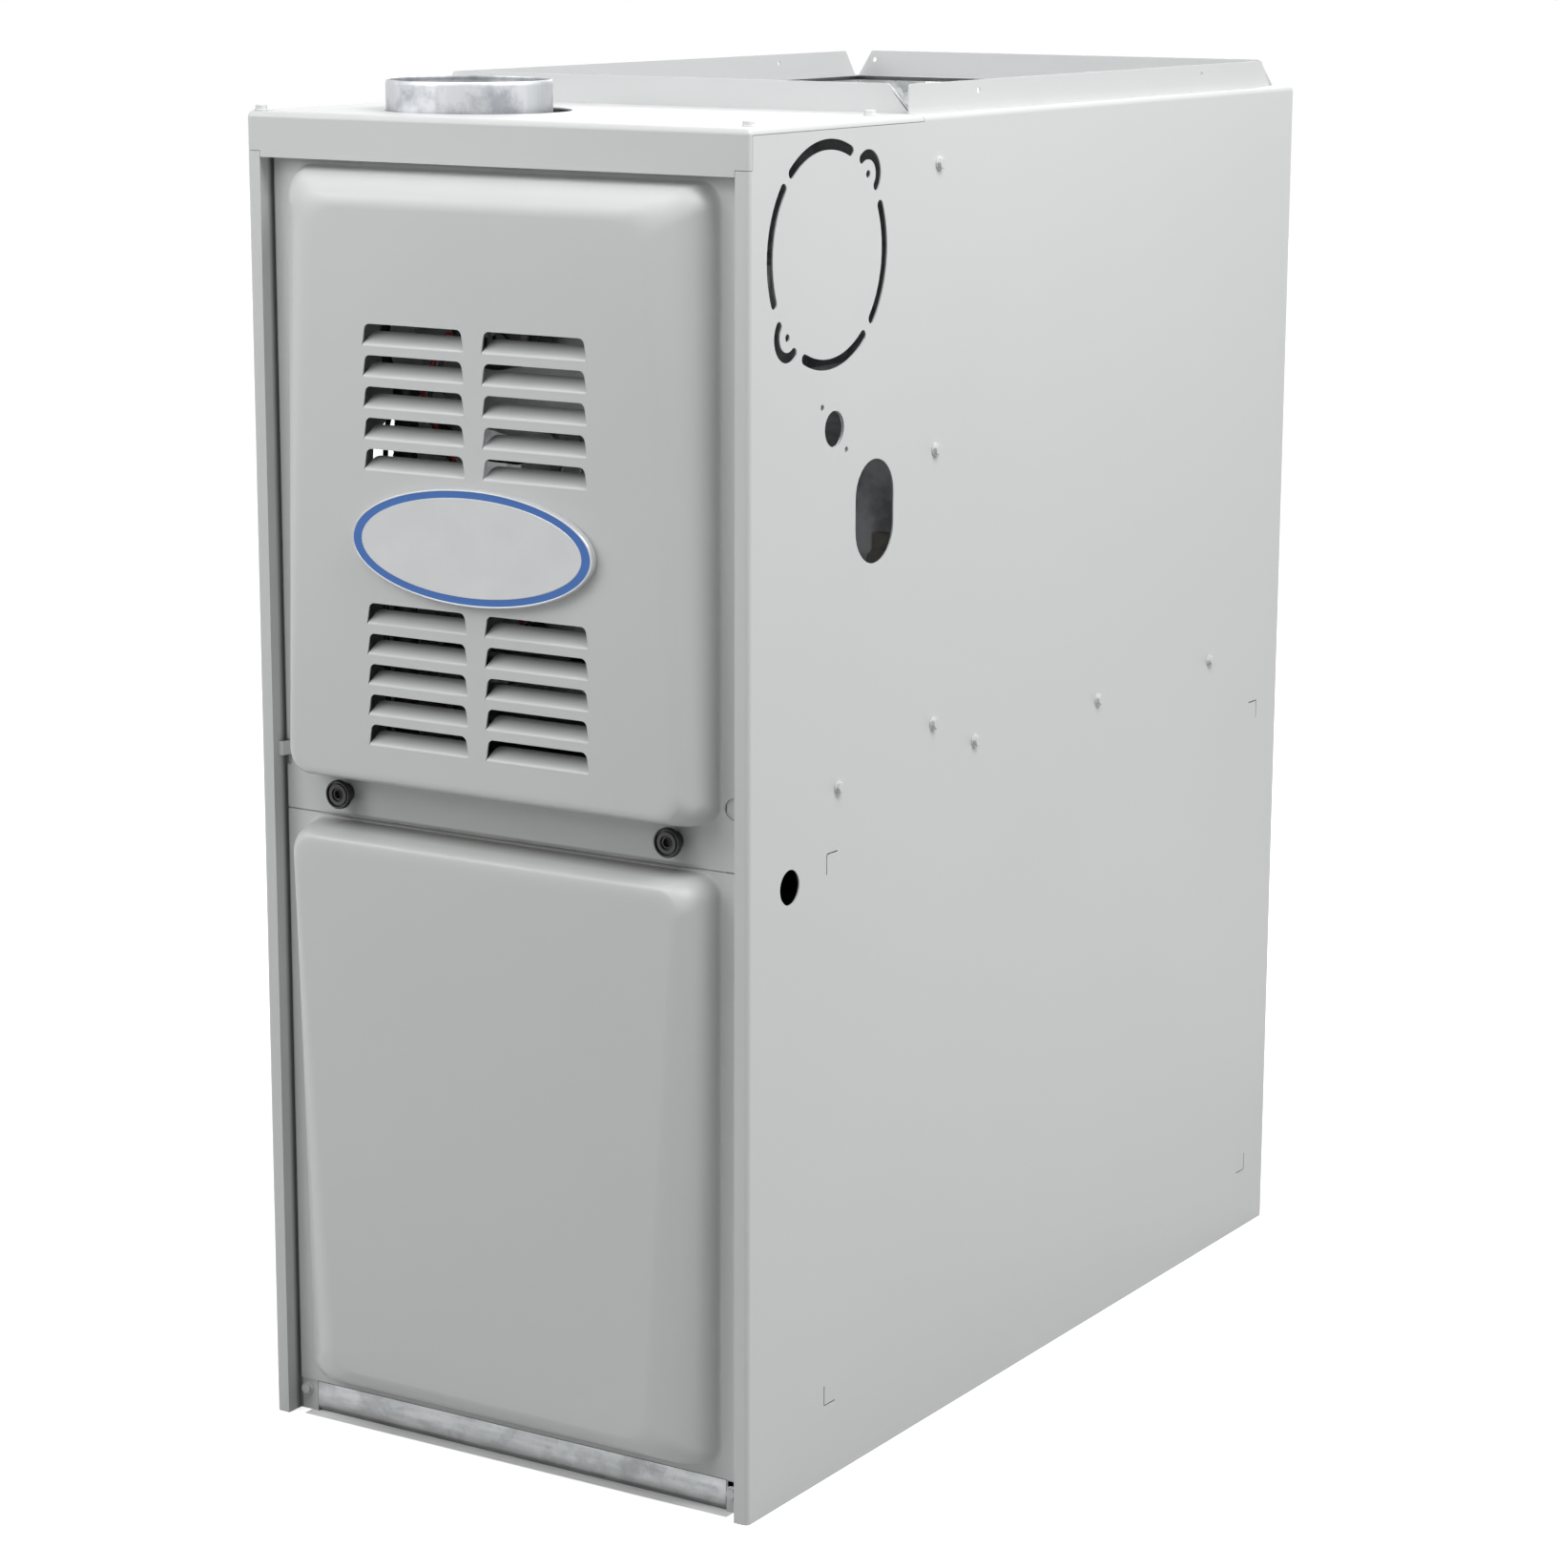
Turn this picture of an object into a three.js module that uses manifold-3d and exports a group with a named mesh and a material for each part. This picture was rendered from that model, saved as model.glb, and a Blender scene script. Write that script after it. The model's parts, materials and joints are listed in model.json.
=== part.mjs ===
// Forced air gas furnace, upflow, in a 14 1/2 inch wide cabinet.
// Millimetres. x runs from the left side, y from the front to the back, z up from the floor.
import * as THREE from 'three';
import { mergeVertices } from 'three/addons/utils/BufferGeometryUtils.js';
import Module from 'manifold-3d';

const wasm = await Module();
wasm.setup();

// ---------------------------------------------------------------- driving dimensions
const GAP = 0.3; // running gap between sheets that touch
const SHEET = 1; // casing sheet thickness

// casing
const WIDTH = 368;
const DEPTH = 724;
const BLOWER_SECTION = 430; // from the floor to the top of the shelf between the compartments
const HEAT_SECTION = 416; // from that shelf to the casing's top
const HEIGHT = BLOWER_SECTION + HEAT_SECTION;
const EDGE_R = 3; // vertical bends of the casing
const TOP_R = 4; // bend along the top edges
const STILE = 10; // front face of each side's front bend
const DOOR_Y = 12; // front of the doors' rims, behind the stiles
const JAMB = 14; // rim inside each stile that the doors close against
const HEADER = 24; // front drop of the top plate
const HEADER_LIP = 4; // the header's lower lip is this far below it
const LEDGE = 11; // top ledge between the casing and the supply duct flanges
const DUCT_FLANGE = 18; // height of the supply duct flanges
const FLANGE_CLIP = 16; // the flanges' ends are clipped this far back
const FLANGE_HOLE_R = 1.8;
const FLANGE_HOLE_DROP = 6.5;
const SIDE_FLANGE_Y = 198; // the side flanges start here
const SUPPLY_Y = 203; // front of the supply opening
const FLANGE_HOLE_IN = [81, 127]; // from the supply opening's front, and from the casing's back

// knockouts and holes in both sides, as distances behind the front
const VENT_KNOCKOUT_DROP = 77; // below the casing's top
const VENT_KNOCKOUT = [86, HEIGHT - VENT_KNOCKOUT_DROP];
const VENT_SLOT_R = 62.5;
const VENT_SLOT = 5.5;
const VENT_ARC = 66; // degrees
const VENT_TURN = 65; // degrees from the rear to the first slot
const EAR_R = 63.5; // from the knockout's centre to each ear
const EAR_HOLE_R = 2.2;
const EAR_SLOT_R = 10;
const EAR_SLOT = 4.5;
const EAR_ARC = 195;
const WIRE_HOLE_R = 11;
const LINE_WIRE_UP = 234.7; // above the shelf
const LINE_WIRE_HOLE = [94.5, BLOWER_SECTION + LINE_WIRE_UP];
const LINE_PIN = 13.9; // from the wire hole's centre to its two pin holes, each way
const LINE_PIN_R = 2;
const CONTROL_WIRE_DROP = 37.2; // below the shelf
const CONTROL_WIRE_HOLE = [46, BLOWER_SECTION - CONTROL_WIRE_DROP];
const GAS_UP = 179.5; // above the shelf
const GAS_HOLE = [142, BLOWER_SECTION + GAS_UP];
const GAS_HOLE_W = 45;
const GAS_HOLE_H = 64.4;

// top plate and vent
const VENT_X = 108;
const VENT_Y = 85;
const COLLAR_R = 51.7;
const COLLAR_UP = 19;
const COLLAR_SEAT = 9; // width of the collar's foot under the top plate
const COLLAR_FOOT = 12; // height of the collar below the top plate
const PLUG_HOLE = [135, 150];
const PLUG_HOLE_R = 11;

// doors
const SEAM_DROP = 24;
const SEAM = BLOWER_SECTION - SEAM_DROP; // height of the joint between the doors
const DOOR_GAP = 1;
const DOOR_BOTTOM = 21.5;
const BULGE = 30.3; // how far the doors' panels stand out from their rims
const BULGE_X = 27; // side of the raised panel's foot
const UPPER_FOOT_IN = [27, 32.5]; // the upper panel's foot, from the seam and from the top
const UPPER_FACE_IN = [37, 49];
const UPPER_FOOT = [SEAM + UPPER_FOOT_IN[0], HEIGHT - UPPER_FOOT_IN[1]];
const UPPER_FACE = [SEAM + UPPER_FACE_IN[0], HEIGHT - UPPER_FACE_IN[1]];
const UPPER_FACE_X = [38.4, 59.7]; // its face's sides, at the bottom and at the top
const LOWER_FOOT_IN = [26, 3]; // the lower panel's foot, from the floor and from the seam
const LOWER_FACE_IN = [41.5, 11];
const LOWER_FOOT = [LOWER_FOOT_IN[0], SEAM - LOWER_FOOT_IN[1]];
const LOWER_FACE = [LOWER_FACE_IN[0], SEAM - LOWER_FACE_IN[1]];
const LOWER_FACE_X = [62, 39.7];
const FOOT_CORNER = 20;
const FACE_CORNER = 22;
const RIM_HOLE_AT = [17.5, 39]; // from the right side and above the seam
const RIM_HOLE = [WIDTH - RIM_HOLE_AT[0], SEAM + RIM_HOLE_AT[1]];
const RIM_HOLE_R = 7;
const LATCH_NOTCH = [4, 9]; // width and height of the notch on the left
const LOUVRE_IN_X = [-82.7, 6.5]; // left edge of each column, from the door's middle
const LOUVRE_X = LOUVRE_IN_X.map((x) => WIDTH / 2 + x);
const LOUVRE_W = 76;
const LOUVRE_H = 12.5;
const LOUVRE_PITCH = 19;
const LOUVRE_ROWS = 5;
const LOUVRE_DROP = 123.7; // from the casing's top to the upper bank
const LOUVRE_UP = 145.1; // from the seam to the top of the lower bank
const LOUVRE_TOPS = [HEIGHT - LOUVRE_DROP, SEAM + LOUVRE_UP];
const LOUVRE_CORNER = 4;
const LOUVRE_IN = 9; // how far the blades lean in
const LOUVRE_SLIT = 4.2; // from a blade's upper edge to the top of its opening
const BADGE_X = 179;
const BADGE_Z = 72;
const BADGE_UP = 186; // from the seam to the badge's middle
const BADGE_AT = SEAM + BADGE_UP;
const BADGE_T = 5.4;
const BADGE_EDGE = 1.5;
const KNOB_X = 59.5;
const KNOB_UP = 15.5;
const KNOB_Z = SEAM + KNOB_UP;
const KNOB_R = 9.5;
const KNOB_OUT = 11;
const KNOB_RIM = 3; // width of the knob's rim
const KNOB_RECESS = 3;
const KNOB_BOSS_R = 3.2;
const KNOB_SOCKET_R = 2;
const STUD_R = 3;
const STUD_OUT = 6; // length of the stud behind the door's rim
const STUD_TIP = 1;
const STUD_GAP = 0.6;

// base and inner sheets
const BASE_H = 20.5; // height of the base strip
const RETURN_X = 40; // sides of the return air opening
const RETURN_IN = [60, 44]; // from the front and from the back
const RETURN_Y = [RETURN_IN[0], DEPTH - RETURN_IN[1]];
const RETURN_LIP = 12;
const DECK_Z = BLOWER_SECTION; // top of the shelf
const DECK_DROP = 34; // height of the shelf's front flange
const LINER_T = 8;
const BLOWER_LINER_Y = 240;

// heat exchanger
const CELL_PITCH = 100;
const CELL_COUNT = 3;
const CELL_T = 44;
const CELL_PRESS = 6; // slope around each cell's pressed passes
const BURNER_UP = 70; // from the shelf
const OUTLET_DROP = 121; // from the casing's top
const BURNER_Z = DECK_Z + BURNER_UP; // height of the burners and of the cells' first pass
const OUTLET_Z = HEIGHT - OUTLET_DROP; // height of the cells' last pass and of the inducer
const PASS_COUNT = 4;
const PASS_PITCH = (OUTLET_Z - BURNER_Z) / (PASS_COUNT - 1);
const PASS_GAP = 23; // air between two passes
const PASS_H = PASS_PITCH - PASS_GAP;
const CELL_ROOM = 52; // from the cells' rear bends to the casing's back
const CELL_BACK = DEPTH - CELL_ROOM;
const CELL_FRONT = 240;
const CELL_WALL = 1.2;
const REST_IN = 72; // from the cells' rear bends
const REST_Y = CELL_BACK - REST_IN;
const REST_DEPTH = 16;

// inducer
const INDUCER_X = 165;
const INDUCER_DEPTH = 50;
const SCROLL_R = [52, 87]; // radius at the cut-off and at the outlet
const OUTLET_W = 60;
const OUTLET_UP = 75;
const OUTLET_TOP = OUTLET_Z + OUTLET_UP;
const INDUCER_CUTOFF = 120; // degrees above the right
const INDUCER_WHEEL_R = 44;
const INDUCER_WHEEL_ROOM = [5, 8]; // in front of the wheel and behind it
const INDUCER_INLET_R = 30;
const INDUCER_SHAFT_R = 4;
const INDUCER_SHAFT_L = 30;
const INDUCER_BOSS_R = 10;
const INDUCER_MOTOR_R = 32;
const INDUCER_MOTOR_L = 38;
const INDUCER_MOTOR_END = 5; // thickness of the motor's front cap
const INDUCER_BLADES = 8;
const INDUCER_BLADE_T = 2;
const PORT_UP = 20; // the pressure port is this far above the inducer's axis
const PORT_L = 12;
const COLLECTOR_H = 66;
const COLLECTOR_SIDE = 28; // the collector reaches this far past the outer cells
const TRANSITION_NECK = [4, 6]; // straight parts at the transition's foot and top

// burners and gas train
const RACK_Y = 118;
const RACK_SIDE = 34;
const RACK_H = 68;
const BURNER_R = [16, 10, 20]; // mouth, throat and head
const BURNER_Y = [100, 134, 180];
const BURNER_HEAD_GAP = 6; // between the burners' heads and the panel
const MANIFOLD_Y = 80;
const MANIFOLD_R = 8;
const MANIFOLD_WALL = 2;
const ORIFICE_R = 5;
const VALVE_IN = 46; // from the right side
const VALVE_X = WIDTH - VALVE_IN;
const VALVE_W = 56;
const VALVE_UP = [48, 136]; // foot and top above the burners
const VALVE_Z = VALVE_UP.map((up) => BURNER_Z + up);
const VALVE_BLOCK_DROP = 22; // the cast block is this much lower than the coil's cover
const VALVE_INLET_R = 16;
const VALVE_INLET_DROP = 20; // below the gas hole
const VALVE_INLET_L = 14;
const REGULATOR_R = 9;
const REGULATOR_AT = [14, 22]; // from the valve's middle and foot
const VALVE_KNOB_R = 11;
const VALVE_KNOB_UP = 50;
const VALVE_STEM_L = 8;
const GRIP = [5, 6]; // thickness and height of the knob's grip
const SWITCH_R = 9;
const SWITCH_TAB = [30, 10, 1.5];
const SWITCH_BODY = 11;
const SWITCH_UP = 14; // above the burners' axis
const BUTTON_R = 2.5;
const BUTTON_OUT = 5;
const BUTTON_IN = 4;
const BUTTON_TRAVEL = 1.5;
const LIMIT_SWITCH_AT = [24, 22]; // from the right side and above the valve's foot
const LIMIT_SWITCH = [WIDTH - LIMIT_SWITCH_AT[0], VALVE_Z[0] + LIMIT_SWITCH_AT[1]];
const LIMIT_PLATE = [24, 32, 3];
const LIMIT_BODY = 15;
const IGNITER_BASE = [14, 26, 13];
const IGNITER_BLADE = [6, 46, 4];
const SENSOR_BASE = [10, 16, 10];
const SENSOR_ROD = [1.6, 60]; // radius and length
const ELECTRODE_GAP = 4; // behind the rack's plate
const PRESSURE_SWITCH_DROP = 105; // below the inducer
const PRESSURE_SWITCH = [92, OUTLET_Z - PRESSURE_SWITCH_DROP]; // x, z
const PRESSURE_SWITCH_R = 34;
const PRESSURE_SWITCH_L = 42;
const HOSE_R = 3.5;
const BOX_SIZE = [46, 62, 44]; // junction box
const BOX_UNDER = 20; // from the line wire hole down to the box's floor

// controls
const BRACKET_Y = 60;
const BRACKET_IN = [60, 52, 130]; // from the left, from the right and below the shelf
const BRACKET = [BRACKET_IN[0], WIDTH - BRACKET_IN[1], DECK_Z - BRACKET_IN[2]];
const BRACKET_FLANGE = 16;
const BOARD_AT = [12, 18]; // from the bracket's side and foot
const BOARD_SIZE = [150, 96];
const BOARD_T = 1.6;
const BOARD_POST = 6; // length of the posts behind the board
const POST_R = 2.5;
const POST_IN = 6; // the posts stand this far in from the board's edges
const RELAY = [20, 16, 26];
const RELAY_PITCH = 26;
const RELAY_IN = [14, 10]; // from the board's side and top
const PLUGS = [22, 12, 52];
const PLUGS_IN = [8, 14];
const TRANSFORMER = [56, 30, 48];
const TRANSFORMER_COIL = [32, 40, 68];
const TRANSFORMER_AT = [14, 60]; // from the board's side and the bracket's foot
const DOOR_SWITCH_X = WIDTH / 2;
const DOOR_SWITCH = [24, 28, 25];
const DOOR_SWITCH_UNDER = 9; // from the plunger down to the switch's foot
const PLUNGER_DROP = 5;
const PLUNGER_Z = SEAM - PLUNGER_DROP;
const PLUNGER_R = 2;
const PLUNGER_SEAT = 22;
const PLUNGER_TRAVEL = 3;
const HARNESS_IN = 30; // from the right side
const HARNESS_AT = [WIDTH - HARNESS_IN, BRACKET_Y];

// blower
const BLOWER_Y = 430;
const BLOWER_Z = 205;
const BLOWER_R = [140, 190]; // scroll radius at the cut-off and at the outlet
const BLOWER_CUTOFF = 60; // degrees above the rear
const BLOWER_INLET_R = 105;
const BLOWER_RAIL = 16;
const WHEEL_R = 120;
const WHEEL_W = 190;
const WHEEL_ROOM = 9; // from the wheel's ends to the housing's outside
const BLOWER_W = WHEEL_W + 2 * WHEEL_ROOM;
const WHEEL_RING = 3;
const WHEEL_DISC = 2;
const WHEEL_HUB = 30;
const BLADE_DEPTH = 15;
const BLADE_T = 1.4;
const WHEEL_BLADES = 18;
const BLOWER_SHAFT_R = 6.35;
const BLOWER_MOTOR_R = 68;
const BLOWER_MOTOR_L = 104;
const BLOWER_MOTOR_GAP = 18; // between the motor and the wheel's disc
const BLOWER_BORE = 20; // depth of the motor's shaft seat
const BLOWER_BORE_END = 6; // between the shaft's end and the seat's bottom
const BELT = [2, 18]; // thickness and width of the belt round the motor
const MOUNT_ARM = [3, 18]; // thickness and width
const MOUNT_REACH = 22; // the arms reach this far past the inlet's edge
const CAPACITOR_R = 22;
const CAPACITOR_DROP = [130, 56]; // foot and top below the shelf
const CAPACITOR_Z = CAPACITOR_DROP.map((drop) => DECK_Z - drop);
const CAPACITOR_STUD = 6;
const CAPACITOR_BACK = 60; // behind the blower housing's front

// ---------------------------------------------------------------- materials
function finish(color, roughness, metalness) {
  return new THREE.MeshStandardMaterial({ color, roughness, metalness });
}

const paint = finish(0xb9bbbc, 0.45, 0.1);
const galvanised = finish(0xc3c8c9, 0.4, 0.8);
const aluminised = finish(0xaeb0ae, 0.5, 0.8);
const blackPlastic = finish(0x161616, 0.45, 0);
const badgeSilver = finish(0xc9cccf, 0.35, 0.4);
const foil = finish(0xd0d2d2, 0.35, 0.9);
const darkFelt = finish(0x2a2a2b, 0.95, 0);
const motorBlack = finish(0x1f2022, 0.5, 0.4);
const castMetal = finish(0x9fa1a2, 0.5, 0.8);
const boardGreen = finish(0x1d5a38, 0.5, 0);
const ceramic = finish(0xe6e2d6, 0.6, 0);
const rubber = finish(0x202020, 0.7, 0);
const redPlastic = finish(0xb5281f, 0.4, 0);
const copperWire = finish(0x6a5a3a, 0.5, 0.3);

// ---------------------------------------------------------------- solids
function solid(geometry) {
  const bare = new THREE.BufferGeometry();
  bare.setAttribute('position', geometry.getAttribute('position'));
  bare.setIndex(geometry.getIndex());
  const merged = mergeVertices(bare, 1e-4);
  const triVerts = Uint32Array.from(merged.index.array);
  const vertProperties = merged.attributes.position.array;
  const made = new wasm.Manifold(new wasm.Mesh({ numProp: 3, vertProperties, triVerts }));
  if (made.volume() > 0) return made;
  for (let i = 0; i < triVerts.length; i += 3) {
    [triVerts[i], triVerts[i + 1]] = [triVerts[i + 1], triVerts[i]];
  }
  return new wasm.Manifold(new wasm.Mesh({ numProp: 3, vertProperties, triVerts }));
}

function join(...solids) {
  return solids.reduce((whole, next) => whole.add(next));
}

function cut(whole, ...tools) {
  return tools.reduce((left, tool) => left.subtract(tool), whole);
}

function box(x0, x1, y0, y1, z0, z1) {
  const geometry = new THREE.BoxGeometry(x1 - x0, y1 - y0, z1 - z0);
  return solid(geometry.translate((x0 + x1) / 2, (y0 + y1) / 2, (z0 + z1) / 2));
}

// a five-sided tray or a frame is a box less a smaller box
function hollowBox(outer, inner) {
  return cut(box(...outer), box(...inner));
}

const PRISM_BASES = {
  x: [[0, 1, 0], [0, 0, 1], [1, 0, 0]],
  y: [[0, 0, 1], [1, 0, 0], [0, 1, 0]],
  z: [[1, 0, 0], [0, 1, 0], [0, 0, 1]],
};

// outline points are (y, z) for a prism along x, (z, x) along y and (x, y) along z
function prism(axis, outline, from, to, bevel = 0) {
  const shape = new THREE.Shape(outline.map(([u, v]) => new THREE.Vector2(u, v)));
  const geometry = new THREE.ExtrudeGeometry(shape, {
    depth: to - from - 2 * bevel,
    bevelEnabled: bevel > 0,
    bevelThickness: bevel,
    bevelSize: bevel,
    bevelOffset: -bevel,
    bevelSegments: 1,
    curveSegments: 1,
  });
  geometry.translate(0, 0, from + bevel);
  const [u, v, w] = PRISM_BASES[axis].map((base) => new THREE.Vector3(...base));
  return solid(geometry.applyMatrix4(new THREE.Matrix4().makeBasis(u, v, w)));
}

// a solid turned on an axis: the profile holds [radius, distance along the axis]
function turned(axis, centre, profile, steps = 20) {
  const points = profile.map(([r, t]) => new THREE.Vector2(r, t));
  const geometry = new THREE.LatheGeometry(points, steps);
  if (axis === 'x') geometry.rotateZ(-Math.PI / 2);
  if (axis === 'z') geometry.rotateX(Math.PI / 2);
  return solid(geometry.translate(...centre));
}

// a round rod along x, y or z between two distances; centre holds the other two coordinates
function rod(axis, centre, r, from, to, steps = 12) {
  const [a, b] = centre;
  const start = { x: [0, a, b], y: [a, 0, b], z: [a, b, 0] }[axis];
  return turned(axis, start, [[0, from], [r, from], [r, to], [0, to]], steps);
}

function pipe(axis, centre, r, wall, from, to, steps = 20) {
  const [a, b] = centre;
  const start = { x: [0, a, b], y: [a, 0, b], z: [a, b, 0] }[axis];
  const inner = r - wall;
  return turned(axis, start, [[inner, from], [r, from], [r, to], [inner, to], [inner, from]], steps);
}

// ---------------------------------------------------------------- outlines
function rectangle(u0, u1, v0, v1) {
  return [[u0, v0], [u1, v0], [u1, v1], [u0, v1]];
}

function arc([cu, cv], r, startDegrees, endDegrees, steps) {
  return Array.from({ length: steps + 1 }, (_, i) => {
    const a = THREE.MathUtils.degToRad(startDegrees + ((endDegrees - startDegrees) * i) / steps);
    return [cu + r * Math.cos(a), cv + r * Math.sin(a)];
  });
}

function circle(centre, r, steps = 12) {
  return arc(centre, r, 0, 360, steps).slice(0, -1);
}

// rounds the corners of a closed outline, or only the inner points of an open one
function rounded(points, radius, steps = 3, closed = true) {
  const result = [];
  const count = points.length;
  points.forEach((point, i) => {
    const r = Array.isArray(radius) ? radius[i] : radius;
    if (r <= 0 || (!closed && (i === 0 || i === count - 1))) {
      result.push(point);
      return;
    }
    const corner = new THREE.Vector2(...point);
    const before = new THREE.Vector2(...points[(i + count - 1) % count]).sub(corner).normalize();
    const after = new THREE.Vector2(...points[(i + 1) % count]).sub(corner).normalize();
    const half = Math.acos(THREE.MathUtils.clamp(before.dot(after), -1, 1)) / 2;
    const middle = before.clone().add(after).normalize();
    const centre = corner.clone().addScaledVector(middle, r / Math.sin(half));
    const reach = r / Math.tan(half);
    const from = corner.clone().addScaledVector(before, reach).sub(centre).angle();
    const to = corner.clone().addScaledVector(after, reach).sub(centre).angle();
    let sweep = to - from;
    if (sweep > Math.PI) sweep -= 2 * Math.PI;
    if (sweep < -Math.PI) sweep += 2 * Math.PI;
    for (let k = 0; k <= steps; k += 1) {
      const a = from + (sweep * k) / steps;
      result.push([centre.x + r * Math.cos(a), centre.y + r * Math.sin(a)]);
    }
  });
  return result;
}

// the closed outline of a band that runs along an open line of points
function band(points, before, after) {
  const side = (distance) => points.map((point, i) => {
    const here = new THREE.Vector2(...point);
    const last = points[Math.max(i - 1, 0)];
    const next = points[Math.min(i + 1, points.length - 1)];
    const inDirection = i > 0 ? here.clone().sub(new THREE.Vector2(...last)).normalize() : null;
    const outDirection = i < points.length - 1 ? new THREE.Vector2(...next).sub(here).normalize() : null;
    const first = inDirection || outDirection;
    const second = outDirection || inDirection;
    const normal = first.clone().add(second).normalize();
    const scale = distance / Math.max(normal.dot(first), 0.3);
    return [here.x - normal.y * scale, here.y + normal.x * scale];
  });
  return [...side(before), ...side(-after).reverse()];
}

// joins rings of equally many points into a closed solid, with flat ends
function loft(rings) {
  const count = rings[0].length;
  const positions = rings.flat(2);
  const index = [];
  for (let r = 0; r < rings.length - 1; r += 1) {
    for (let i = 0; i < count; i += 1) {
      const a = r * count + i;
      const b = r * count + ((i + 1) % count);
      index.push(a, b, b + count, a, b + count, a + count);
    }
  }
  const last = (rings.length - 1) * count;
  for (let i = 1; i < count - 1; i += 1) {
    index.push(0, i + 1, i);
    index.push(last, last + i, last + i + 1);
  }
  const geometry = new THREE.BufferGeometry();
  geometry.setAttribute('position', new THREE.Float32BufferAttribute(positions, 3));
  geometry.setIndex(index);
  return solid(geometry);
}

// ---------------------------------------------------------------- pieces
const furnace = new THREE.Group();
furnace.position.set(-WIDTH / 2, -(DEPTH - (BULGE - DOOR_Y) - BADGE_T - GAP) / 2, 0);

function piece(name, made, material, parent = furnace) {
  const { vertProperties, triVerts } = made.getMesh();
  const geometry = new THREE.BufferGeometry();
  geometry.setAttribute('position', new THREE.BufferAttribute(Float32Array.from(vertProperties), 3));
  geometry.setIndex(new THREE.BufferAttribute(Uint32Array.from(triVerts), 1));
  const flat = geometry.toNonIndexed();
  flat.computeVertexNormals();
  const mesh = new THREE.Mesh(flat, material);
  mesh.name = name;
  parent.add(mesh);
  return mesh;
}

function placed(mesh, x, y, z) {
  mesh.position.set(x, y, z);
  return mesh;
}

const TOP = HEIGHT - SHEET;
const FAR = 2000; // longer than the furnace, for cutting tools

// ---------------------------------------------------------------- casing
// the casing's outer or inner form: a box with bent edges, open to any depth below
function casingForm(inset) {
  const bend = TOP_R - inset;
  const ring = (offset, z) => {
    const corner = Math.max(EDGE_R - offset, EDGE_R / 6);
    const plan = rectangle(offset, WIDTH - offset, offset, DEPTH - offset);
    return rounded(plan, corner, 3).map(([x, y]) => [x, y, z]);
  };
  const bends = [0, 30, 60, 90].map((degrees) => {
    const a = THREE.MathUtils.degToRad(degrees);
    return ring(inset + bend * (1 - Math.cos(a)), HEIGHT - TOP_R + bend * Math.sin(a));
  });
  return loft([ring(inset, -SHEET), ...bends]);
}

function sideHoles() {
  const through = (outline) => prism('x', outline, -FAR, FAR);
  const slot = (centre, r, width, start, sweep) => {
    const outer = arc(centre, r + width, start, start + sweep, 5);
    const inner = arc(centre, r, start, start + sweep, 5);
    return through([...outer, ...inner.reverse()]);
  };
  const tools = [];
  for (let quarter = 0; quarter < 4; quarter += 1) {
    const start = VENT_TURN + quarter * 90 + (90 - VENT_ARC) / 3;
    tools.push(slot(VENT_KNOCKOUT, VENT_SLOT_R, VENT_SLOT, start, VENT_ARC));
  }
  for (const degrees of [45, 225]) {
    const [ear] = arc(VENT_KNOCKOUT, EAR_R, degrees, degrees, 1);
    tools.push(through(circle(ear, EAR_HOLE_R, 8)));
    tools.push(slot(ear, EAR_SLOT_R, EAR_SLOT, degrees - EAR_ARC / 2, EAR_ARC));
  }
  tools.push(through(circle(LINE_WIRE_HOLE, WIRE_HOLE_R)));
  tools.push(through(circle(CONTROL_WIRE_HOLE, WIRE_HOLE_R)));
  for (const way of [-1, 1]) {
    const pin = [LINE_WIRE_HOLE[0] + way * LINE_PIN, LINE_WIRE_HOLE[1] - way * LINE_PIN];
    tools.push(through(circle(pin, LINE_PIN_R, 8)));
  }
  const [gasY, gasZ] = GAS_HOLE;
  const round = GAS_HOLE_W / 2;
  const straight = GAS_HOLE_H / 2 - round;
  const gasOutline = [
    ...arc([gasY, gasZ + straight], round, 0, 180, 6),
    ...arc([gasY, gasZ - straight], round, 180, 360, 6),
  ];
  tools.push(through(gasOutline));
  return tools;
}

// flange ends are clipped at a slant, and each flange has two fixing holes
function ductFlanges() {
  const inner = LEDGE + SHEET;
  const top = HEIGHT + DUCT_FLANGE;
  const sideEnd = DEPTH - inner - GAP - SHEET;
  const sideProfile = [
    [SIDE_FLANGE_Y, TOP], [sideEnd - FLANGE_CLIP / 3, TOP],
    [sideEnd - FLANGE_CLIP / 3, HEIGHT], [sideEnd - FLANGE_CLIP * 1.2, top], [SIDE_FLANGE_Y, top],
  ];
  const backEnd = LEDGE + SHEET / 2;
  const backProfile = [
    [TOP, backEnd], [HEIGHT, backEnd], [top, backEnd + FLANGE_CLIP * 0.7],
    [top, WIDTH - backEnd - FLANGE_CLIP * 0.7], [HEIGHT, WIDTH - backEnd], [TOP, WIDTH - backEnd],
  ];
  const holeZ = top - FLANGE_HOLE_DROP;
  const sideHole = (y) => rod('x', [y, holeZ], FLANGE_HOLE_R, -FAR, FAR, 8);
  const backHole = (x) => rod('y', [x, holeZ], FLANGE_HOLE_R, DEPTH / 2, FAR, 8);
  const flanges = join(
    prism('x', sideProfile, LEDGE, inner),
    prism('x', sideProfile, WIDTH - inner, WIDTH - LEDGE),
    prism('y', backProfile, DEPTH - inner, DEPTH - LEDGE),
  );
  const back = 2 * LEDGE + EDGE_R;
  return cut(
    flanges,
    sideHole(SUPPLY_Y + FLANGE_HOLE_IN[0]), sideHole(DEPTH - FLANGE_HOLE_IN[1]),
    backHole(back), backHole(WIDTH - back),
  );
}

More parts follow.
